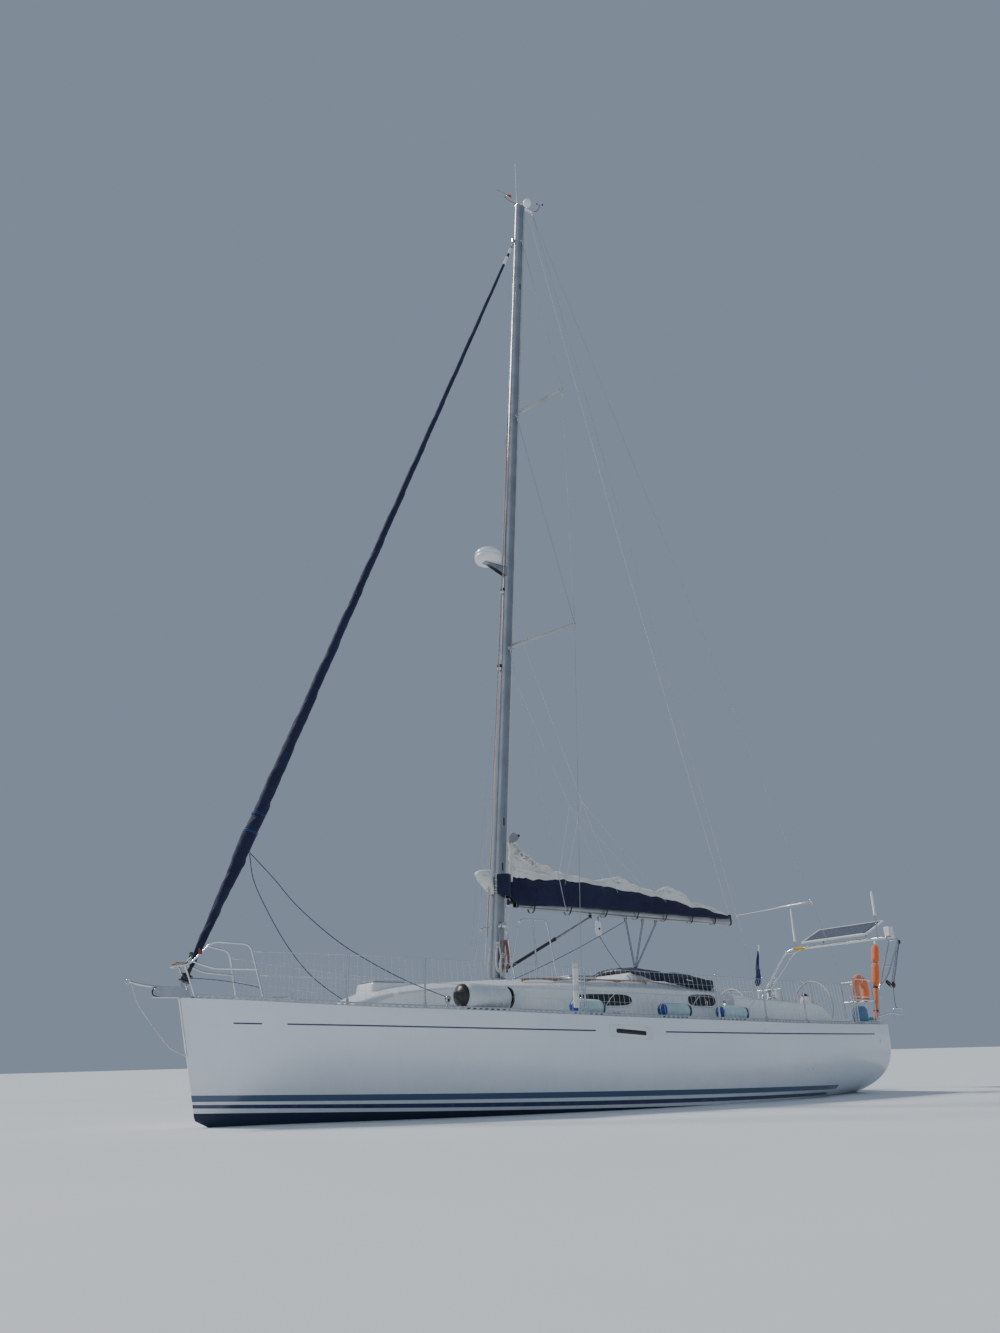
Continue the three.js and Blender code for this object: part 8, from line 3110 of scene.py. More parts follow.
            knot = arr((-0.55, side * 0.17, 4.55))
            jacks.tube(np.linspace(0, 1, 12)[:, None] * (knot - top) + top, 0.0028, 6)
            for x0 in (-0.1, -1.35, -2.45):
                end = arr((x0, side * 0.09, boom_z(x0) + 0.02))
                jacks.tube(np.linspace(0, 1, 10)[:, None] * (end - knot) + knot, 0.0025, 6)
        made = piece("gathering_lines", jacks, NETTING, body="")
        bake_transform(made)


# Sails, covers and fenders


COVER_ROWS = arr(
    [  # x, half width, low z, top z, sail top z
        (0.780, 0.026, 2.960, 3.290, 3.960),
        (0.690, 0.060, 2.860, 3.305, 3.985),
        (0.560, 0.105, 2.835, 3.312, 3.830),
        (0.250, 0.128, 2.832, 3.320, 3.560),
        (-0.100, 0.135, 2.835, 3.318, 3.405),
        (-0.900, 0.132, 2.832, 3.265, 3.345),
        (-1.300, 0.130, 2.830, 3.230, 3.385),
        (-1.880, 0.125, 2.825, 3.178, 3.255),
        (-2.450, 0.118, 2.820, 3.090, 3.290),
        (-2.850, 0.110, 2.815, 3.017, 3.130),
        (-3.300, 0.098, 2.812, 2.955, 3.015),
        (-3.650, 0.080, 2.812, 2.890, 2.915),
    ]
)


def cover_at(x: Array) -> tuple[Array, ...]:
    """Half width, low, top and sail top of the stowed sail at places along the boom."""
    rows = COVER_ROWS[::-1]
    return tuple(hermite(rows[:, 0], rows[:, k], x) for k in range(1, 5))


@dataclass
class Sails:
    """The rolled foresail, the stowed mainsail in its cover, the bag at the mast and the folded hood."""

    turns: int = 15
    stow_fore: float = 0.776
    stow_aft: float = -3.66
    hood: tuple = (
        (-2.180, -1.050, 1.628),
        (-1.700, -1.000, 1.712),
        (-1.330, -0.780, 1.785),
        (-1.200, -0.440, 1.875),
        (-1.180, 0.000, 1.906),
        (-1.200, 0.440, 1.875),
        (-1.330, 0.780, 1.785),
        (-1.700, 1.000, 1.712),
        (-2.180, 1.050, 1.628),
    )

    def build(self) -> None:
        """Makes and dresses the soft goods, each from measured rows."""
        self.foresail()
        self.cover()
        self.collar()
        self.folds()
        self.bag()
        self.sprayhood()

    def foresail(self) -> None:
        """The rolled sail: a spiral whose radius steps at the cloth's edge; the edge climbs as it winds."""
        foot, head = stay_ends()
        a, b, way = basis(head - foot)
        table = arr(
            [
                (0.2153, 26), (0.42, 44), (0.9, 58), (1.4, 76), (1.78, 96), (2.3, 91), (3.6, 79), (5.6, 65),
                (8.2, 51), (11.0, 39), (13.2, 32), (14.48, 27)
            ]
        )
        s = np.unique(np.concatenate([np.linspace(0.2153, 3.0, 110), np.linspace(3.0, 14.48, 190)]))
        radius = hermite(table[:, 0], table[:, 1], s) / 1000
        turn = whole_turn(40)
        edge = 2 * math.pi * self.turns * (s / 14.48) ** 0.8
        spiral = np.mod(turn[None] - edge[:, None], 2 * math.pi) / (2 * math.pi)
        big = np.clip(radius[:, None] / 0.06, 0.3, 1.2)
        step = (
            0.012 * big * np.clip(spiral / 0.05, 0, 1) * (1 - spiral) ** 1.4
            + 0.003 * np.sin(3 * turn[None] + s[:, None] * 5) * (s[:, None] < 4)
        )
        crease = (
            0.0032 * np.sin(s[:, None] * 29 + 4 * np.sin(turn[None] + s[:, None] * 2.0))
            * np.sin(turn[None] * 2 + s[:, None] * 7)
        )
        r = radius[:, None] + step - 0.0055 * big + crease * big
        points = (
            foot + s[:, None, None] * way
            + r[..., None] * (np.cos(turn)[:, None] * a + np.sin(turn)[:, None] * b)
        )
        made = piece(
            "foresail_roll", Shape().grid(points, closed=True, caps=True), NAVY, replaces=["furled_genoa"],
            trim=Trim(sharp=75)
        )
        sleeve, bands = Shape(), Shape()
        sleeve.tube(
            foot + np.array([14.47, 14.49, 15.17, 15.21])[:, None] * way, arr([0.020, 0.026, 0.024, 0.014]),
            20
        )
        for low, high in ((14.62, 14.86), (14.97, 15.15)):
            bands.tube(foot + np.array([low, high])[:, None] * way, 0.029, 20)
        piece("foresail_head_sleeve", sleeve, NAVY)
        piece("foresail_head_bands", bands, PALE)
        clew = Shape()
        tip = arr((4.866, 0, 3.322))
        base = arr((4.99, 0, 3.337))
        t = np.linspace(0, 1, 8)
        path = base + (tip - base) * t[:, None]
        clew.tube(path, 0.031 - 0.017 * t, 12, 0.55)
        clew_piece = piece("foresail_clew", clew, NAVY)
        ring = Shape()
        turn = whole_turn(24)
        ring.hoop(tip + joined(0.016 * np.cos(turn), 0.0, 0.016 * np.sin(turn)), 0.004, 8)
        piece("foresail_clew_ring", ring, STEEL)
        ties = Shape()
        for at in (2.05, 2.32):
            r0 = float(hermite(table[:, 0], table[:, 1], np.array([at]))[0]) / 1000 + 0.004
            turn = np.linspace(0, 2 * 2 * math.pi, 60)
            path = (
                foot + (at + 0.02 * turn / 6)[:, None] * way
                + (r0 + 0.002) * (np.cos(turn)[:, None] * a + np.sin(turn)[:, None] * b)
            )
            ties.strands(path[None], 0.004, 6, tuple(way))
        piece("foresail_ties", ties, BLUE)

    def section(self, x: Array, profile: Sequence[Point], sag: float = 0.0) -> Array:
        """Rows over the boom: each pair of the profile is a share of the half width and of the height.

        Args:
            x: places along the boom.
            profile: pairs of the share of the half width and of the height.
            sag: how far the rows hang below.

        Returns:
            A row of points for each place.
        """
        half, low, top, _ = cover_at(x)
        p = arr(profile)
        y = half[:, None] * p[None, :, 0]
        z = low[:, None] + (top - low)[:, None] * p[None, :, 1]
        return joined(x[:, None], y, z - sag)

    def cover(self) -> None:
        """The long cover: an open section over the boom with soft bulges between its tie straps."""
        x = np.linspace(0.782, -3.655, 132)
        right = spline(
            arr(
                [
                    (0.86, 0.0), (1.0, 0.16), (1.0, 0.34), (0.90, 0.60), (0.62, 0.84), (0.30, 0.965),
                    (0.10, 1.0)
                ]
            ), 5
        )
        profile = np.vstack([right, right[::-1][1:] * [-1, 1]])
        rows = self.section(x, profile)
        _, low, top, _ = cover_at(x)
        s = np.linspace(-1, 1, len(profile))[None]
        rows[..., 2] += 0.022 * np.clip((0.45 - x) / 0.3, 0, 1)[:, None] * np.abs(s) ** 6
        straps = arr([0.40, -0.28, -0.98, -1.62, -2.22, -2.80, -3.32])
        near = np.exp(-(((x[:, None] - straps) / 0.055) ** 2)).sum(1)
        fold = (
            0.009 * np.sin(x * 6.1 + 1)[:, None] * np.sin(s * 4 + x[:, None] * 3)
            + 0.0022 * np.sin(x[:, None] * 23 + s * 5 + 3 * np.sin(x[:, None] * 3))
        )
        fold = fold + 0.005 * np.sin(x[:, None] * 11 + 5 * np.abs(s)) * np.sin(x[:, None] * 2.7 + 1)
        wave = fold * (1 - 0.6 * near[:, None]) - 0.012 * near[:, None] * (1 - np.abs(s)) + 0.004
        middle = joined(x, 0.0, (low + top) / 2)[:, None]
        away = unit((rows - middle) * [0, 1, 1])
        ends = np.clip((0.8 - x) / 0.25, 0, 1) * np.clip((x - self.stow_aft) / 0.25, 0, 1)
        points = rows + away * wave[..., None] * ends[:, None, None]
        made = piece(
            "sail_cover_cloth", Shape().grid(points), NAVY, BOOM, ["sail_cover"], Trim(sharp=80, wall=0.0035)
        )
        ties = Shape()
        for x0 in straps:
            h0, l0, _, _ = (float(v[0]) for v in cover_at(np.array([x0])))
            y = h0 * 0.86
            ring = rounded(
                [
                    (x0, y + 0.004, l0 + 0.012), (x0, 0.066, l0 - 0.095), (x0, -0.066, l0 - 0.095),
                    (x0, -y - 0.004, l0 + 0.012)
                ], 0.06, 6
            )
            turned = ring[:, None] + np.array([(-0.0125, 0, 0), (0.0125, 0, 0)])[None]
            ties.grid(turned)
        piece("cover_straps", ties, BLACK, BOOM, trim=Trim(wall=0.0022))
        hem = Shape()
        for side in (0, -1):
            edge = points[:, side] + [0, 0, 0.004]
            hem.tube(edge, 0.0052, 6)
        piece("cover_hem", hem, HOOD, BOOM)
        seam = Shape()
        for side in (1, -1):
            k = 18 if side > 0 else len(profile) - 19
            line = points[:, k] + away[:, k] * 0.0025
            seam.tube(line, 0.0022, 5)
        piece("cover_seams", seam, HOOD, BOOM)

    def collar(self) -> None:
        """The cover's front, laced past the mast: two cloth panels that follow the boom and the mast."""
        u = np.linspace(0, 1, 16)[:, None]
        v = np.linspace(0, 1, 22)[None]
        half, low, top, _ = (float(k[0]) for k in cover_at(np.array([self.stow_fore])))
        cords = Shape()
        for name, side in SIDES.items():
            x = 0.778 + 0.30 * u
            y = (
                (half + 0.004) + (0.128 - half) * np.clip(u / 0.3, 0, 1) ** 1.5 - 0.014 * u**3
                + 0.006 * np.sin(v * 11 + u * 5) * np.sin(u * 3)
            )
            foot = low - 0.02 + 0.07 * u**2
            head = top + 0.012 - 0.035 * u
            z = foot + (head - foot) * v
            rows = joined(x, side * y, z)
            made = piece(
                "cover_collar_" + name, Shape().grid(rows), NAVY, body="", trim=Trim(sharp=80, wall=0.0035)
            )
            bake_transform(made)
            for k in (0, 7, 14, 21):
                at = arr((1.074, side * float(y[-1, k]), float(z[-1, k])))
                cords.tube(
                    [at, at + [0.02, -side * 0.008, 0.004], (1.105, side * 0.062, at[2] + 0.01)], 0.004, 7
                )
        piece("cover_collar_cords", cords, LINE_WHITE)

    def folds(self) -> None:
        """The stowed sail: a creased core, rolls of cloth along its ridge, loose loops and the headboard."""
        x = np.linspace(self.stow_fore, self.stow_aft, 240)
        half, _, top, high = cover_at(x)
        high = high - 0.16 * np.clip((x - 0.1) / 0.5, 0, 1)
        wide = np.minimum(half * 0.62, 0.070)
        s = np.linspace(0, 1, 29)[None]
        lift = np.sin(s * math.pi)
        share = lift**0.45
        rise = (top[:, None] - 0.11) + (high - top + 0.10)[:, None] * share
        near = np.clip((x[:, None] + 0.1) / 0.7, 0, 1)
        ray = np.arctan2(rise - 3.2, 0.95 - x[:, None])
        crease = (
            0.013 * near * np.sin(34 * ray + 2 * np.sin(x[:, None] * 7)) + 0.008 * near * np.sin(61 * ray + 1)
        )
        tooth = 0.5 + 0.5 * np.cos(2 * math.pi * (x[:, None] * 3.1 + 0.3 * np.sin(x[:, None] * 5) + s * 0.5))
        drop = (0.008 + 0.07 * np.clip((high - top) / 0.25, 0, 1) * (x < -0.3))[:, None] * tooth**2 * lift
        lean = (0.25 * np.sin(x * 6.3) + 0.2 * np.sin(x * 15.7 + 1))[:, None] * lift
        y = (
            wide[:, None] * (np.cos(s * math.pi) + lean) + crease
            + 0.012 * np.sin(s * 9 + x[:, None] * 13) * (1 - near)
        )
        z = np.minimum(rise - drop, high[:, None] + 0.004)
        core = joined(x[:, None], y, z)
        made = piece(
            "stowed_sail", Shape().grid(core, closed=True, caps=True), SAIL, BOOM, ["sail_folds"],
            Trim(sharp=60)
        )
        # where each roll starts and ends along the boom, its side, its height from cover to ridge, its radius
        rolls = (
            (0.745, -0.02, 0.046, 0.97, 0.036),
            (0.745, 0.08, -0.050, 0.90, 0.040),
            (0.740, 0.24, 0.072, 0.60, 0.034),
            (0.740, -0.20, 0.066, 0.26, 0.036),
            (0.735, 0.30, -0.070, 0.42, 0.038),
            (0.10, -0.62, 0.030, 0.90, 0.032),
            (-0.95, -1.72, 0.034, 0.95, 0.040),
            (-1.08, -1.60, -0.040, 0.72, 0.036),
            (-2.20, -2.86, 0.030, 0.96, 0.040),
            (-2.30, -2.72, -0.036, 0.70, 0.034),
            (-2.95, -3.62, 0.020, 0.85, 0.022),
        )
        t = np.linspace(0, 1, 40)
        turn = whole_turn(20)
        for k, (start, end, side, climb, radius) in enumerate(rolls):
            px = start + (end - start) * t
            _, _, brim, peak = cover_at(px)
            ridge = peak - 0.16 * np.clip((px - 0.1) / 0.5, 0, 1)
            pz = brim - 0.02 + (ridge - brim + 0.02) * climb - radius * 0.8
            py = side * (1 + 0.2 * np.sin(t * 9 + k)) + 0.010 * np.sin(px * 21 + k)
            pz = pz + 0.010 * np.sin(px * 17 + 2 * k)
            body = np.clip(np.sin(t * math.pi), 0, 1) ** 0.4
            lobes = (
                1 + 0.2 * np.sin(3 * turn[None] + t[:, None] * 9 + k)
                + 0.12 * np.sin(5 * turn[None] - t[:, None] * 23)
            )
            r = radius * body[:, None] * lobes
            rows = joined(
                px[:, None] + 0.3 * r * np.sin(turn), py[:, None] + r * np.cos(turn),
                pz[:, None] + r * np.sin(turn)
            )
            rows[..., 0] = np.minimum(rows[..., 0], 0.775)
            made = piece(
                f"sail_roll_{k + 1}", Shape().grid(rows, closed=True, caps=True), SAIL, BOOM,
                trim=Trim(sharp=70)
            )
        turn = whole_turn(40)
        for k, (x0, y0, z0, big) in enumerate(((0.44, 0.098, 3.49, 0.062), (0.60, 0.088, 3.60, 0.040))):
            ring = joined(
                x0 + big * 1.15 * np.cos(turn), y0 + 0.008 * np.sin(2 * turn), z0 + big * np.sin(turn)
            )
            made = piece(f"sail_loop_{k + 1}", Shape().hoop(ring, 0.015, 12), SAIL, BOOM)
        board = Shape().prism(
            [
                (0.765, -0.012, 3.74), (0.60, -0.012, 3.86), (0.58, -0.012, 3.93), (0.70, -0.012, 3.965),
                (0.765, -0.012, 3.90)
            ], (0, 0.024, 0)
        )
        piece("sail_headboard", board, GREY, BOOM, trim=Trim(bevel=0.004))
        shackle = Shape().pin(0.02, 0.016, (0.595, 0, 3.915), (0, 1, 0), 16)
        piece("sail_head_pin", shackle, BLACK, BOOM)

    def bag(self) -> None:
        """The bag at the mast's fore side: a soft pouch that narrows at its neck, with a tie and pockets."""
        t = np.linspace(0, 1, 44)[:, None]
        turn = np.linspace(0, 2 * math.pi, 33)[None, :-1]
        z = 2.985 + 0.362 * t
        fore = hermite(
            np.array([0.0, 0.12, 0.35, 0.65, 0.82, 0.95, 1.0]),
            np.array([1.10, 1.155, 1.255, 1.372, 1.385, 1.30, 1.15]), t
        )
        aft = mast_at(3.1) + 0.118
        half = 0.106 * np.sin(np.clip(t * 0.94 + 0.06, 0, 1) * math.pi) ** 0.42
        crease = 1 + 0.035 * np.sin(turn * 7 + t * 4) * t + 0.03 * np.sin(turn * 4 - t * 9)
        x = (fore + aft) / 2 + (fore - aft) / 2 * np.cos(turn) * crease
        y = half * np.sin(turn) * crease
        points = joined(x, y, z + 0.012 * np.sin(turn * 2 + 1) * np.sin(t * math.pi))
        made = piece(
            "mast_bag_cloth", Shape().grid(points, closed=True, caps=True), SAIL, replaces=["mast_bag"],
            trim=Trim(sharp=70)
        )
        strap = Shape()
        for z, out in ((3.045, 1.20), (3.24, 1.385)):
            tail = mast_at(z) - 0.112
            ring = loop(
                [
                    (tail, -0.072), (out - 0.12, -0.112), (out, -0.03), (out, 0.03), (out - 0.12, 0.112),
                    (tail, 0.072)
                ], 0.05, 7
            )
            strap.tube(np.column_stack([ring, np.full(len(ring), z)])[np.r_[0 : len(ring), 0]], 0.0045, 8)
        piece("mast_bag_lines", strap, LINE_WHITE)

    def sprayhood(self) -> None:
        """The folded hood: cloth gathered round the bows, creased along and across, with three tie straps."""
        path = spline(arr(self.hood), 16)
        count = len(path)
        side, up = across(path)
        up = up * np.sign(up[:, 2:])
        turn = whole_turn(32)
        s = np.linspace(0, 1, count)
        ease = np.clip(np.minimum(s, 1 - s) / 0.02, 0.25, 1) ** 0.5
        tied = np.exp(-(((s[:, None] - np.array([0.22, 0.5, 0.78])) / 0.016) ** 2)).sum(1)
        ridge = (
            0.010 * np.sin(5 * turn[None] + 3 * np.sin(s[:, None] * 11))
            + 0.005 * np.sin(9 * turn[None] - s[:, None] * 30)
        )
        cross = (
            0.006 * np.sin(s[:, None] * 95 + 3 * np.sin(turn[None] * 2))
            * np.sin(turn[None] + s[:, None] * 20)
        )
        wing = np.clip(np.abs(path[:, 1]) / 0.75 - 0.7, 0, 1)
        wide, high = 1.15 + 0.3 * wing, 0.66 + 0.74 * wing
        r = 0.068 * (1 - 0.15 * tied)[:, None] + ridge * (1 - 0.7 * tied)[:, None] + cross
        ring = np.cos(turn)[None, :, None] * side[:, None] * wide[:, None, None]
        ring = ring + np.sin(turn)[None, :, None] * up[:, None] * high[:, None, None]
        points = path[:, None] + (r * ease[:, None])[..., None] * ring
        made = piece(
            "folded_hood", Shape().grid(points, closed=True, caps=True), HOOD, replaces=["sprayhood"],
            trim=Trim(sharp=70)
        )
        straps = Shape()
        for share in (0.22, 0.5, 0.78):
            k = int(share * (count - 1))
            girdle = path[k] + 0.066 * (
                np.cos(turn)[:, None] * side[k] * wide[k] + np.sin(turn)[:, None] * up[k] * high[k]
            )
            along = unit(path[k + 1] - path[k - 1])
            straps.grid(np.stack([girdle - along * 0.014, girdle + along * 0.014]), closed=True)
        piece("hood_straps", straps, BLACK, trim=Trim(wall=0.0025))
        bows = Shape()
        for shift, drop in ((0.064, 0.0), (-0.064, 0.01)):
            k = slice(2, -2)
            bows.tube(path[k] + side[k] * shift + [0, 0, -drop], 0.011, 8)
        for y in (-1.05, 1.05):
            bows.tube([(-2.17, y, 1.625), (-2.22, y * 1.005, 1.58), (-2.235, y * 1.01, 1.50)], 0.011, 10)
        piece("hood_bows", bows, STEEL)


@dataclass
class Fenders:
    """Four fenders lashed inside the net: ribbed bodies with coned ends, eyes and lines to the lifeline."""

    rows: tuple = (
        ("fender_1", 2.060, 1.330, 9.0, 0.1645, 1.00, FENDER_GREY, BLACK),
        ("fender_2", 0.480, 1.425, 3.0, 0.1045, 0.62, FENDER_AQUA, BLUE),
        ("fender_3", -0.940, 1.575, 2.0, 0.1045, 0.62, FENDER_AQUA, BLUE),
        ("fender_4", -2.060, 1.560, -2.0, 0.1045, 0.62, FENDER_AQUA, BLUE),
    )

    def build(self) -> None:
        """Makes each fender along its own lean, its end cups and its two lines."""
        for name, x, y, turn, radius, long, skin, ends in self.rows:
            yaw = math.radians(turn)
            c, s = math.cos(yaw), math.sin(yaw)
            half = long / 2
            ahead = float(FORM.deck(x + 0.25 * c, y - 0.06 + 0.25 * s))
            astern = float(FORM.deck(x - 0.25 * c, y - 0.06 - 0.25 * s))
            way = unit(arr((c, s, (ahead - astern) / 0.5)))
            centre = arr((x, y, float(FORM.deck(x, y - 0.06)) + radius + 0.0005))
            t = np.linspace(-1, 1, 81)
            body = radius * np.clip(1 - np.abs(t) ** 9, 0.02, 1) ** 0.5
            rib = 0.0018 * np.sign(np.sin(t * 62)) * (np.abs(t) < 0.78) - 0.0018
            h = t * half * 0.80
            profile = np.column_stack([np.maximum(body + rib, 0.02), h])
            shape = Shape().lathe(
                [(0, h[0] - 0.001)] + profile.tolist() + [(0, h[-1] + 0.001)], centre, tuple(way), 36
            )
            made = piece(name + "_body", shape, skin, replaces=[name], trim=Trim(sharp=50))
            cups = Shape()
            for sign in (-1, 1):
                cup = [
                    (0.0925, 0.735), (0.090, 0.80), (0.070, 0.862), (0.040, 0.905), (0.030, 0.94),
                    (0.024, 0.985), (0.010, 0.99)
                ]
                cups.lathe(
                    [(r * radius / 0.1045, z * half) for r, z in cup] + [(0.0, 0.99 * half)], centre,
                    tuple(way * sign), 30
                )
            piece(name + "_ends", cups, ends, trim=Trim(sharp=50))
            line = Shape()
            for sign in (-1, 1):
                eye = centre + way * sign * half * 0.965
                yl = float(FORM.half(eye[0])) - 0.066
                up = arr((eye[0] - sign * 0.04, yl, float(FORM.deck(eye[0], yl)) + 0.30))
                mid = (eye + up) / 2 + arr((sign * 0.012, 0.0, 0.03))
                line.tube(spline(np.stack([eye, mid, up]), 7), 0.0045, 7)
            piece(name + "_lines", line, LINE_WHITE)


# Steering


@dataclass
class Steering:
    """Two wheels on their pedestals, with compass, throttle and small instruments."""

    at_x: float = -4.5
    at_y: float = 0.94
    at_z: float = 1.335
    radius: float = 0.4
    column_x: float = -4.33
    foot_z: float = 0.70
    top_z: float = 1.50

    def build(self) -> None:
        """Makes each side's wheel and pedestal."""
        for name, side in SIDES.items():
            self.wheel(name, side)
            self.pedestal(name, side)

    def wheel(self, name: str, side: float) -> None:
        """A leather rim with a stitched seam, tapered spokes in pairs and a turned hub.

        Args:
            name: the name that the pieces start with.
            side: 1 for port, -1 for starboard.
        """
        body = "wheel_" + name
        centre = arr((self.at_x, side * self.at_y, self.at_z))
        turn = whole_turn(72)
        way = joined(0.0, np.cos(turn), np.sin(turn))
        ring = centre + self.radius * way
        piece(f"wheel_{name}_rim", Shape().hoop(ring, 0.0138, 14), LEATHER, body, [body])
        stitch = Shape().hoop(centre + (self.radius - 0.0135) * way, 0.0016, 6)
        band = np.linspace(-0.05, 0.05, 9)
        path = centre + self.radius * joined(0.0, np.sin(band), np.cos(band))
        stitch.tube(path, 0.0158, 12)
        piece(f"wheel_{name}_stitching", stitch, LINE_WHITE, body)
        spokes = Shape()
        s = np.linspace(0, 1, 8)
        for k in range(6):
            angle = k * math.pi / 3 + math.pi / 6
            out = arr((0, math.cos(angle), math.sin(angle)))
            path = (
                centre + out * (0.035 + (self.radius - 0.045) * s)[:, None]
                + arr((-0.02, 0, 0)) * (1 - s[:, None]) ** 2 * 0.6
            )
            spokes.tube(path, 0.0085 - 0.0025 * s, 10)
        hub = [
            (0, -0.026), (0.030, -0.026), (0.040, -0.018), (0.042, 0.0), (0.040, 0.014), (0.028, 0.022),
            (0.024, 0.026), (0, 0.026)
        ]
        spokes.lathe(hub, centre, (1, 0, 0), 32)
        spokes.lathe(
            [(0.0, 0.0), (0.014, 0.0), (0.012, 0.010), (0, 0.011)], centre + arr((-0.026, 0, 0)), (-1, 0, 0),
            8
        )
        piece(f"wheel_{name}_spokes", spokes, STEEL, body, trim=Trim(sharp=40))

    def pedestal(self, name: str, side: float) -> None:
        """An eased oval column whose rings narrow and lean, with a head, a compass, a throttle and a guard.

        Args:
            name: the name that the pieces start with.
            side: 1 for port, -1 for starboard.
        """
        table = arr(
            [
                (0.700, 0.095, 0.105), (0.90, 0.088, 0.096), (1.25, 0.075, 0.085), (1.36, 0.073, 0.089),
                (1.44, 0.070, 0.094), (1.475, 0.060, 0.075), (1.50, 0.040, 0.068)
            ]
        )
        z = np.linspace(self.foot_z, self.top_z, 34)
        long = hermite(table[:, 0], table[:, 1], z)[:, None]
        wide = hermite(table[:, 0], table[:, 2], z)[:, None]
        turn = whole_turn(32)
        a = pressed(np.cos(turn), 0.75)
        b = pressed(np.sin(turn), 0.75)
        y = side * self.at_y
        points = joined(self.column_x + long * a, y + wide * b, z[:, None])
        shape = Shape().grid(points, closed=True, caps=True)
        shape.lathe(
            [(0.108, 0.0), (0.112, 0.004), (0.112, 0.012), (0.10, 0.018), (0.09, 0.02)],
            (self.column_x, y, self.foot_z), sides=30
        )
        piece(f"pedestal_{name}_column", shape, GELCOAT, replaces=["pedestal_" + name])
        metal = Shape()
        centre = arr((-4.36, y, self.at_z))
        metal.lathe(
            [(0.0, 0), (0.034, 0.0), (0.034, 0.02), (0.026, 0.024), (0.0258, 0.1135), (0, 0.1137)], centre,
            (-1, 0, 0), 24
        )
        if side < 0:
            x = self.column_x
            lever = rounded([(x, y - 0.09, 1.36), (x, y - 0.118, 1.37), (-4.30, y - 0.122, 1.50)], 0.02)
            metal.tube(lever, 0.007, 10)
            metal.ball((-4.30, y - 0.122, 1.505), 0.014)
        bar = rounded(
            [
                (-4.25, y - 0.085, 1.30), (-4.19, y - 0.085, 1.52), (-4.19, y + 0.085, 1.52),
                (-4.25, y + 0.085, 1.30)
            ], 0.05
        )
        metal.tube(bar, 0.0085, 10)
        piece(f"pedestal_{name}_fittings", metal, STEEL)
        compass = Shape()
        compass.lathe(
            [(0, 0), (0.048, 0), (0.05, 0.01), (0.046, 0.028), (0.03, 0.046), (0, 0.052)],
            (self.column_x, y, 1.494), sides=28
        )
        piece(f"compass_{name}", compass, SMOKE)
        faces = Shape()
        for dy in (-0.035, 0.035):
            faces.bar((-4.4055, y + dy, 1.432), (-4.4095, y + dy, 1.396), 0.052, 0.006, (1, 0, 0))
        piece(f"instruments_{name}", faces, BLACK, trim=Trim(bevel=0.0015))


# Camera, light and cords


@dataclass(frozen=True)
class CameraRig:
    """The camera low over the water off the port bow."""

    place: tuple[float, float, float] = (9.071, 13.041, 0.688)
    azimuth: float = -32.235
    pitch: float = 21.353
    roll: float = -1.553
    lens: float = 27.02

    def build(self) -> None:
        """Turns the camera by its azimuth, its rise and its roll about the view."""
        a, e, r = (math.radians(v) for v in (self.azimuth, self.pitch, self.roll))
        ahead = Vector((math.sin(a) * math.cos(e), -math.cos(a) * math.cos(e), math.sin(e)))
        right = Vector((-math.cos(a), -math.sin(a), 0))
        up = right.cross(ahead)
        across = right * math.cos(r) + up * math.sin(r)
        over = up * math.cos(r) - right * math.sin(r)
        data = bpy.data.cameras.new("view")
        data.sensor_width, data.lens = 36.0, self.lens
        data.clip_start, data.clip_end = 0.1, 500.0
        eye = bpy.data.objects.new("view", data)
        turned = Matrix((across, over, -ahead)).transposed().to_4x4()
        eye.matrix_world = Matrix.Translation(self.place) @ turned
        bpy.context.scene.collection.objects.link(eye)
        bpy.context.scene.camera = eye


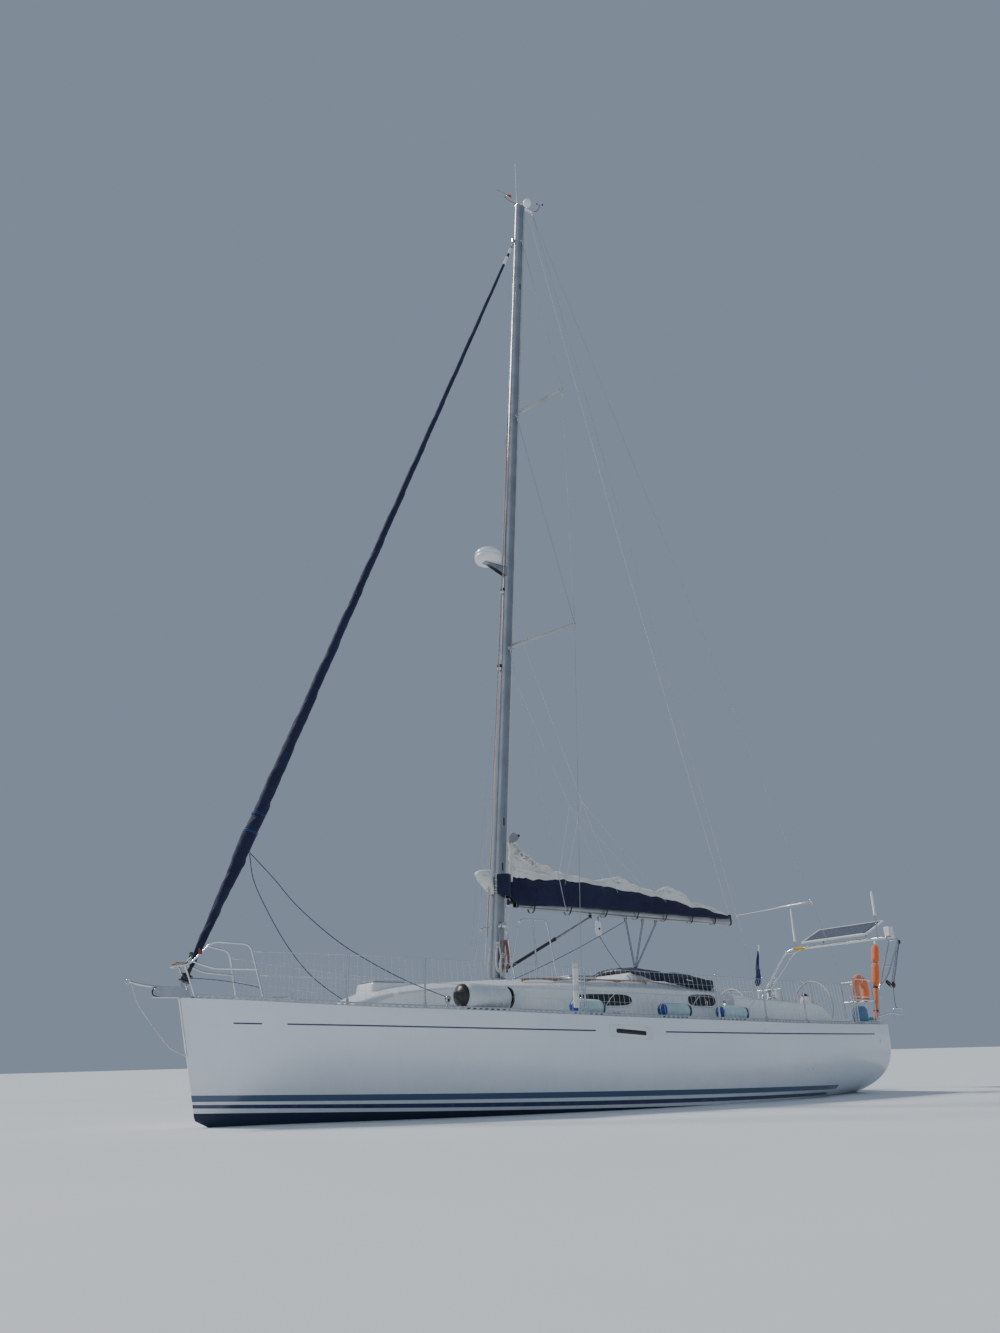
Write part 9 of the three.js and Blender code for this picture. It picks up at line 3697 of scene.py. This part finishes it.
@dataclass(frozen=True)
class Studio:
    """A pale floor at the waterline, a high soft sun off the starboard bow and a cool sky."""

    reach: float = 300.0
    sky: Colour = (0.50, 0.62, 0.80)
    sky_strength: float = 0.42
    suns: tuple = (
        ((0.45, -0.55, 0.70), 2.9, 9.0, (1.0, 0.97, 0.92)),
        ((0.5, 0.75, 0.45), 0.25, 50.0, (0.85, 0.92, 1.0)),
    )

    def build(self) -> None:
        """Makes the floor, the sky and the two suns."""
        floor = Shape().grid(
            np.stack(
                np.meshgrid(np.linspace(-1, 1, 9), np.linspace(-1, 1, 9), [0.0], indexing="ij"), -1
            )[:, :, 0] * self.reach
        )
        piece("floor", floor, FLOOR, body="")
        world = bpy.data.worlds.new("sky")
        bpy.context.scene.world = world
        world.use_nodes = True
        back = world.node_tree.nodes["Background"]
        back.inputs[0].default_value, back.inputs[1].default_value = (*self.sky, 1.0), self.sky_strength
        for k, (source, strength, angle, colour) in enumerate(self.suns):
            light = bpy.data.lights.new(f"sun_{k}", "SUN")
            light.energy, light.angle, light.color = strength, math.radians(angle), colour
            lamp = bpy.data.objects.new(f"sun_{k}", light)
            lamp.rotation_euler = Vector(source).to_track_quat("Z", "Y").to_euler()
            bpy.context.scene.collection.objects.link(lamp)


@dataclass(frozen=True)
class SlackRope:
    """A slack rope: its name, its length, which is not used, and the points that it passes, in metres."""

    name: str
    length: float
    points: tuple
    finish: Rope
    radius: float = 0.006

    def build(self) -> None:
        """A tube along a curve whose spans are paced by the root of their length."""
        path = centripetal(arr(self.points), 25)
        made = piece(
            self.name + "_line", Shape().tube(path, self.radius, 10), self.finish, replaces=[self.name]
        )


ROPES = (
    # The two sheets take the dark rope as painted shade: they are darkened to how they read in shade against
    # the sky.
    SlackRope(
        "sheet_port",
        3.250,
        ((4.861, 0.014, 3.306), (4.551, 0.160, 2.950), (4.319, 0.290, 2.647), (3.910, 0.480, 2.251),
         (3.644, 0.630, 2.033), (3.079, 1.010, 1.655), (2.6465, 1.352, 1.425)),
        LINE_DARK,
    ),
    SlackRope(
        "sheet_starboard",
        3.330,
        ((4.861, -0.014, 3.306), (4.765, -0.090, 2.990), (4.441, -0.280, 2.548), (4.073, -0.500, 2.161),
         (3.645, -0.760, 1.838), (3.150, -1.050, 1.600), (2.646, -1.352, 1.425)),
        LINE_DARK,
    ),
    SlackRope(
        "bow_rope",
        1.129,
        ((6.210, 0.0, 1.6292), (6.140, 0.010, 1.450), (6.077, 0.020, 1.343), (5.909, 0.020, 1.137),
         (5.687, 0.018, 0.897), (5.492, 0.0, 0.803)),
        LINE_WHITE,
    ),
)


def main() -> None:
    """Builds the yacht around its frame, the camera and the ropes first."""
    logging.basicConfig(level=logging.INFO, format="%(name)s: %(message)s")
    CameraRig().build()
    for rope in ROPES:
        rope.build()
    parts = (
        Studio(), Hull(), Deck(), Coachroof(), Cockpit(), Rails(), Bow(), Stern(), Rig(), Sails(), Fenders(),
        Steering()
    )
    for part in parts:
        part.build()


if __name__ == "__main__":
    main()
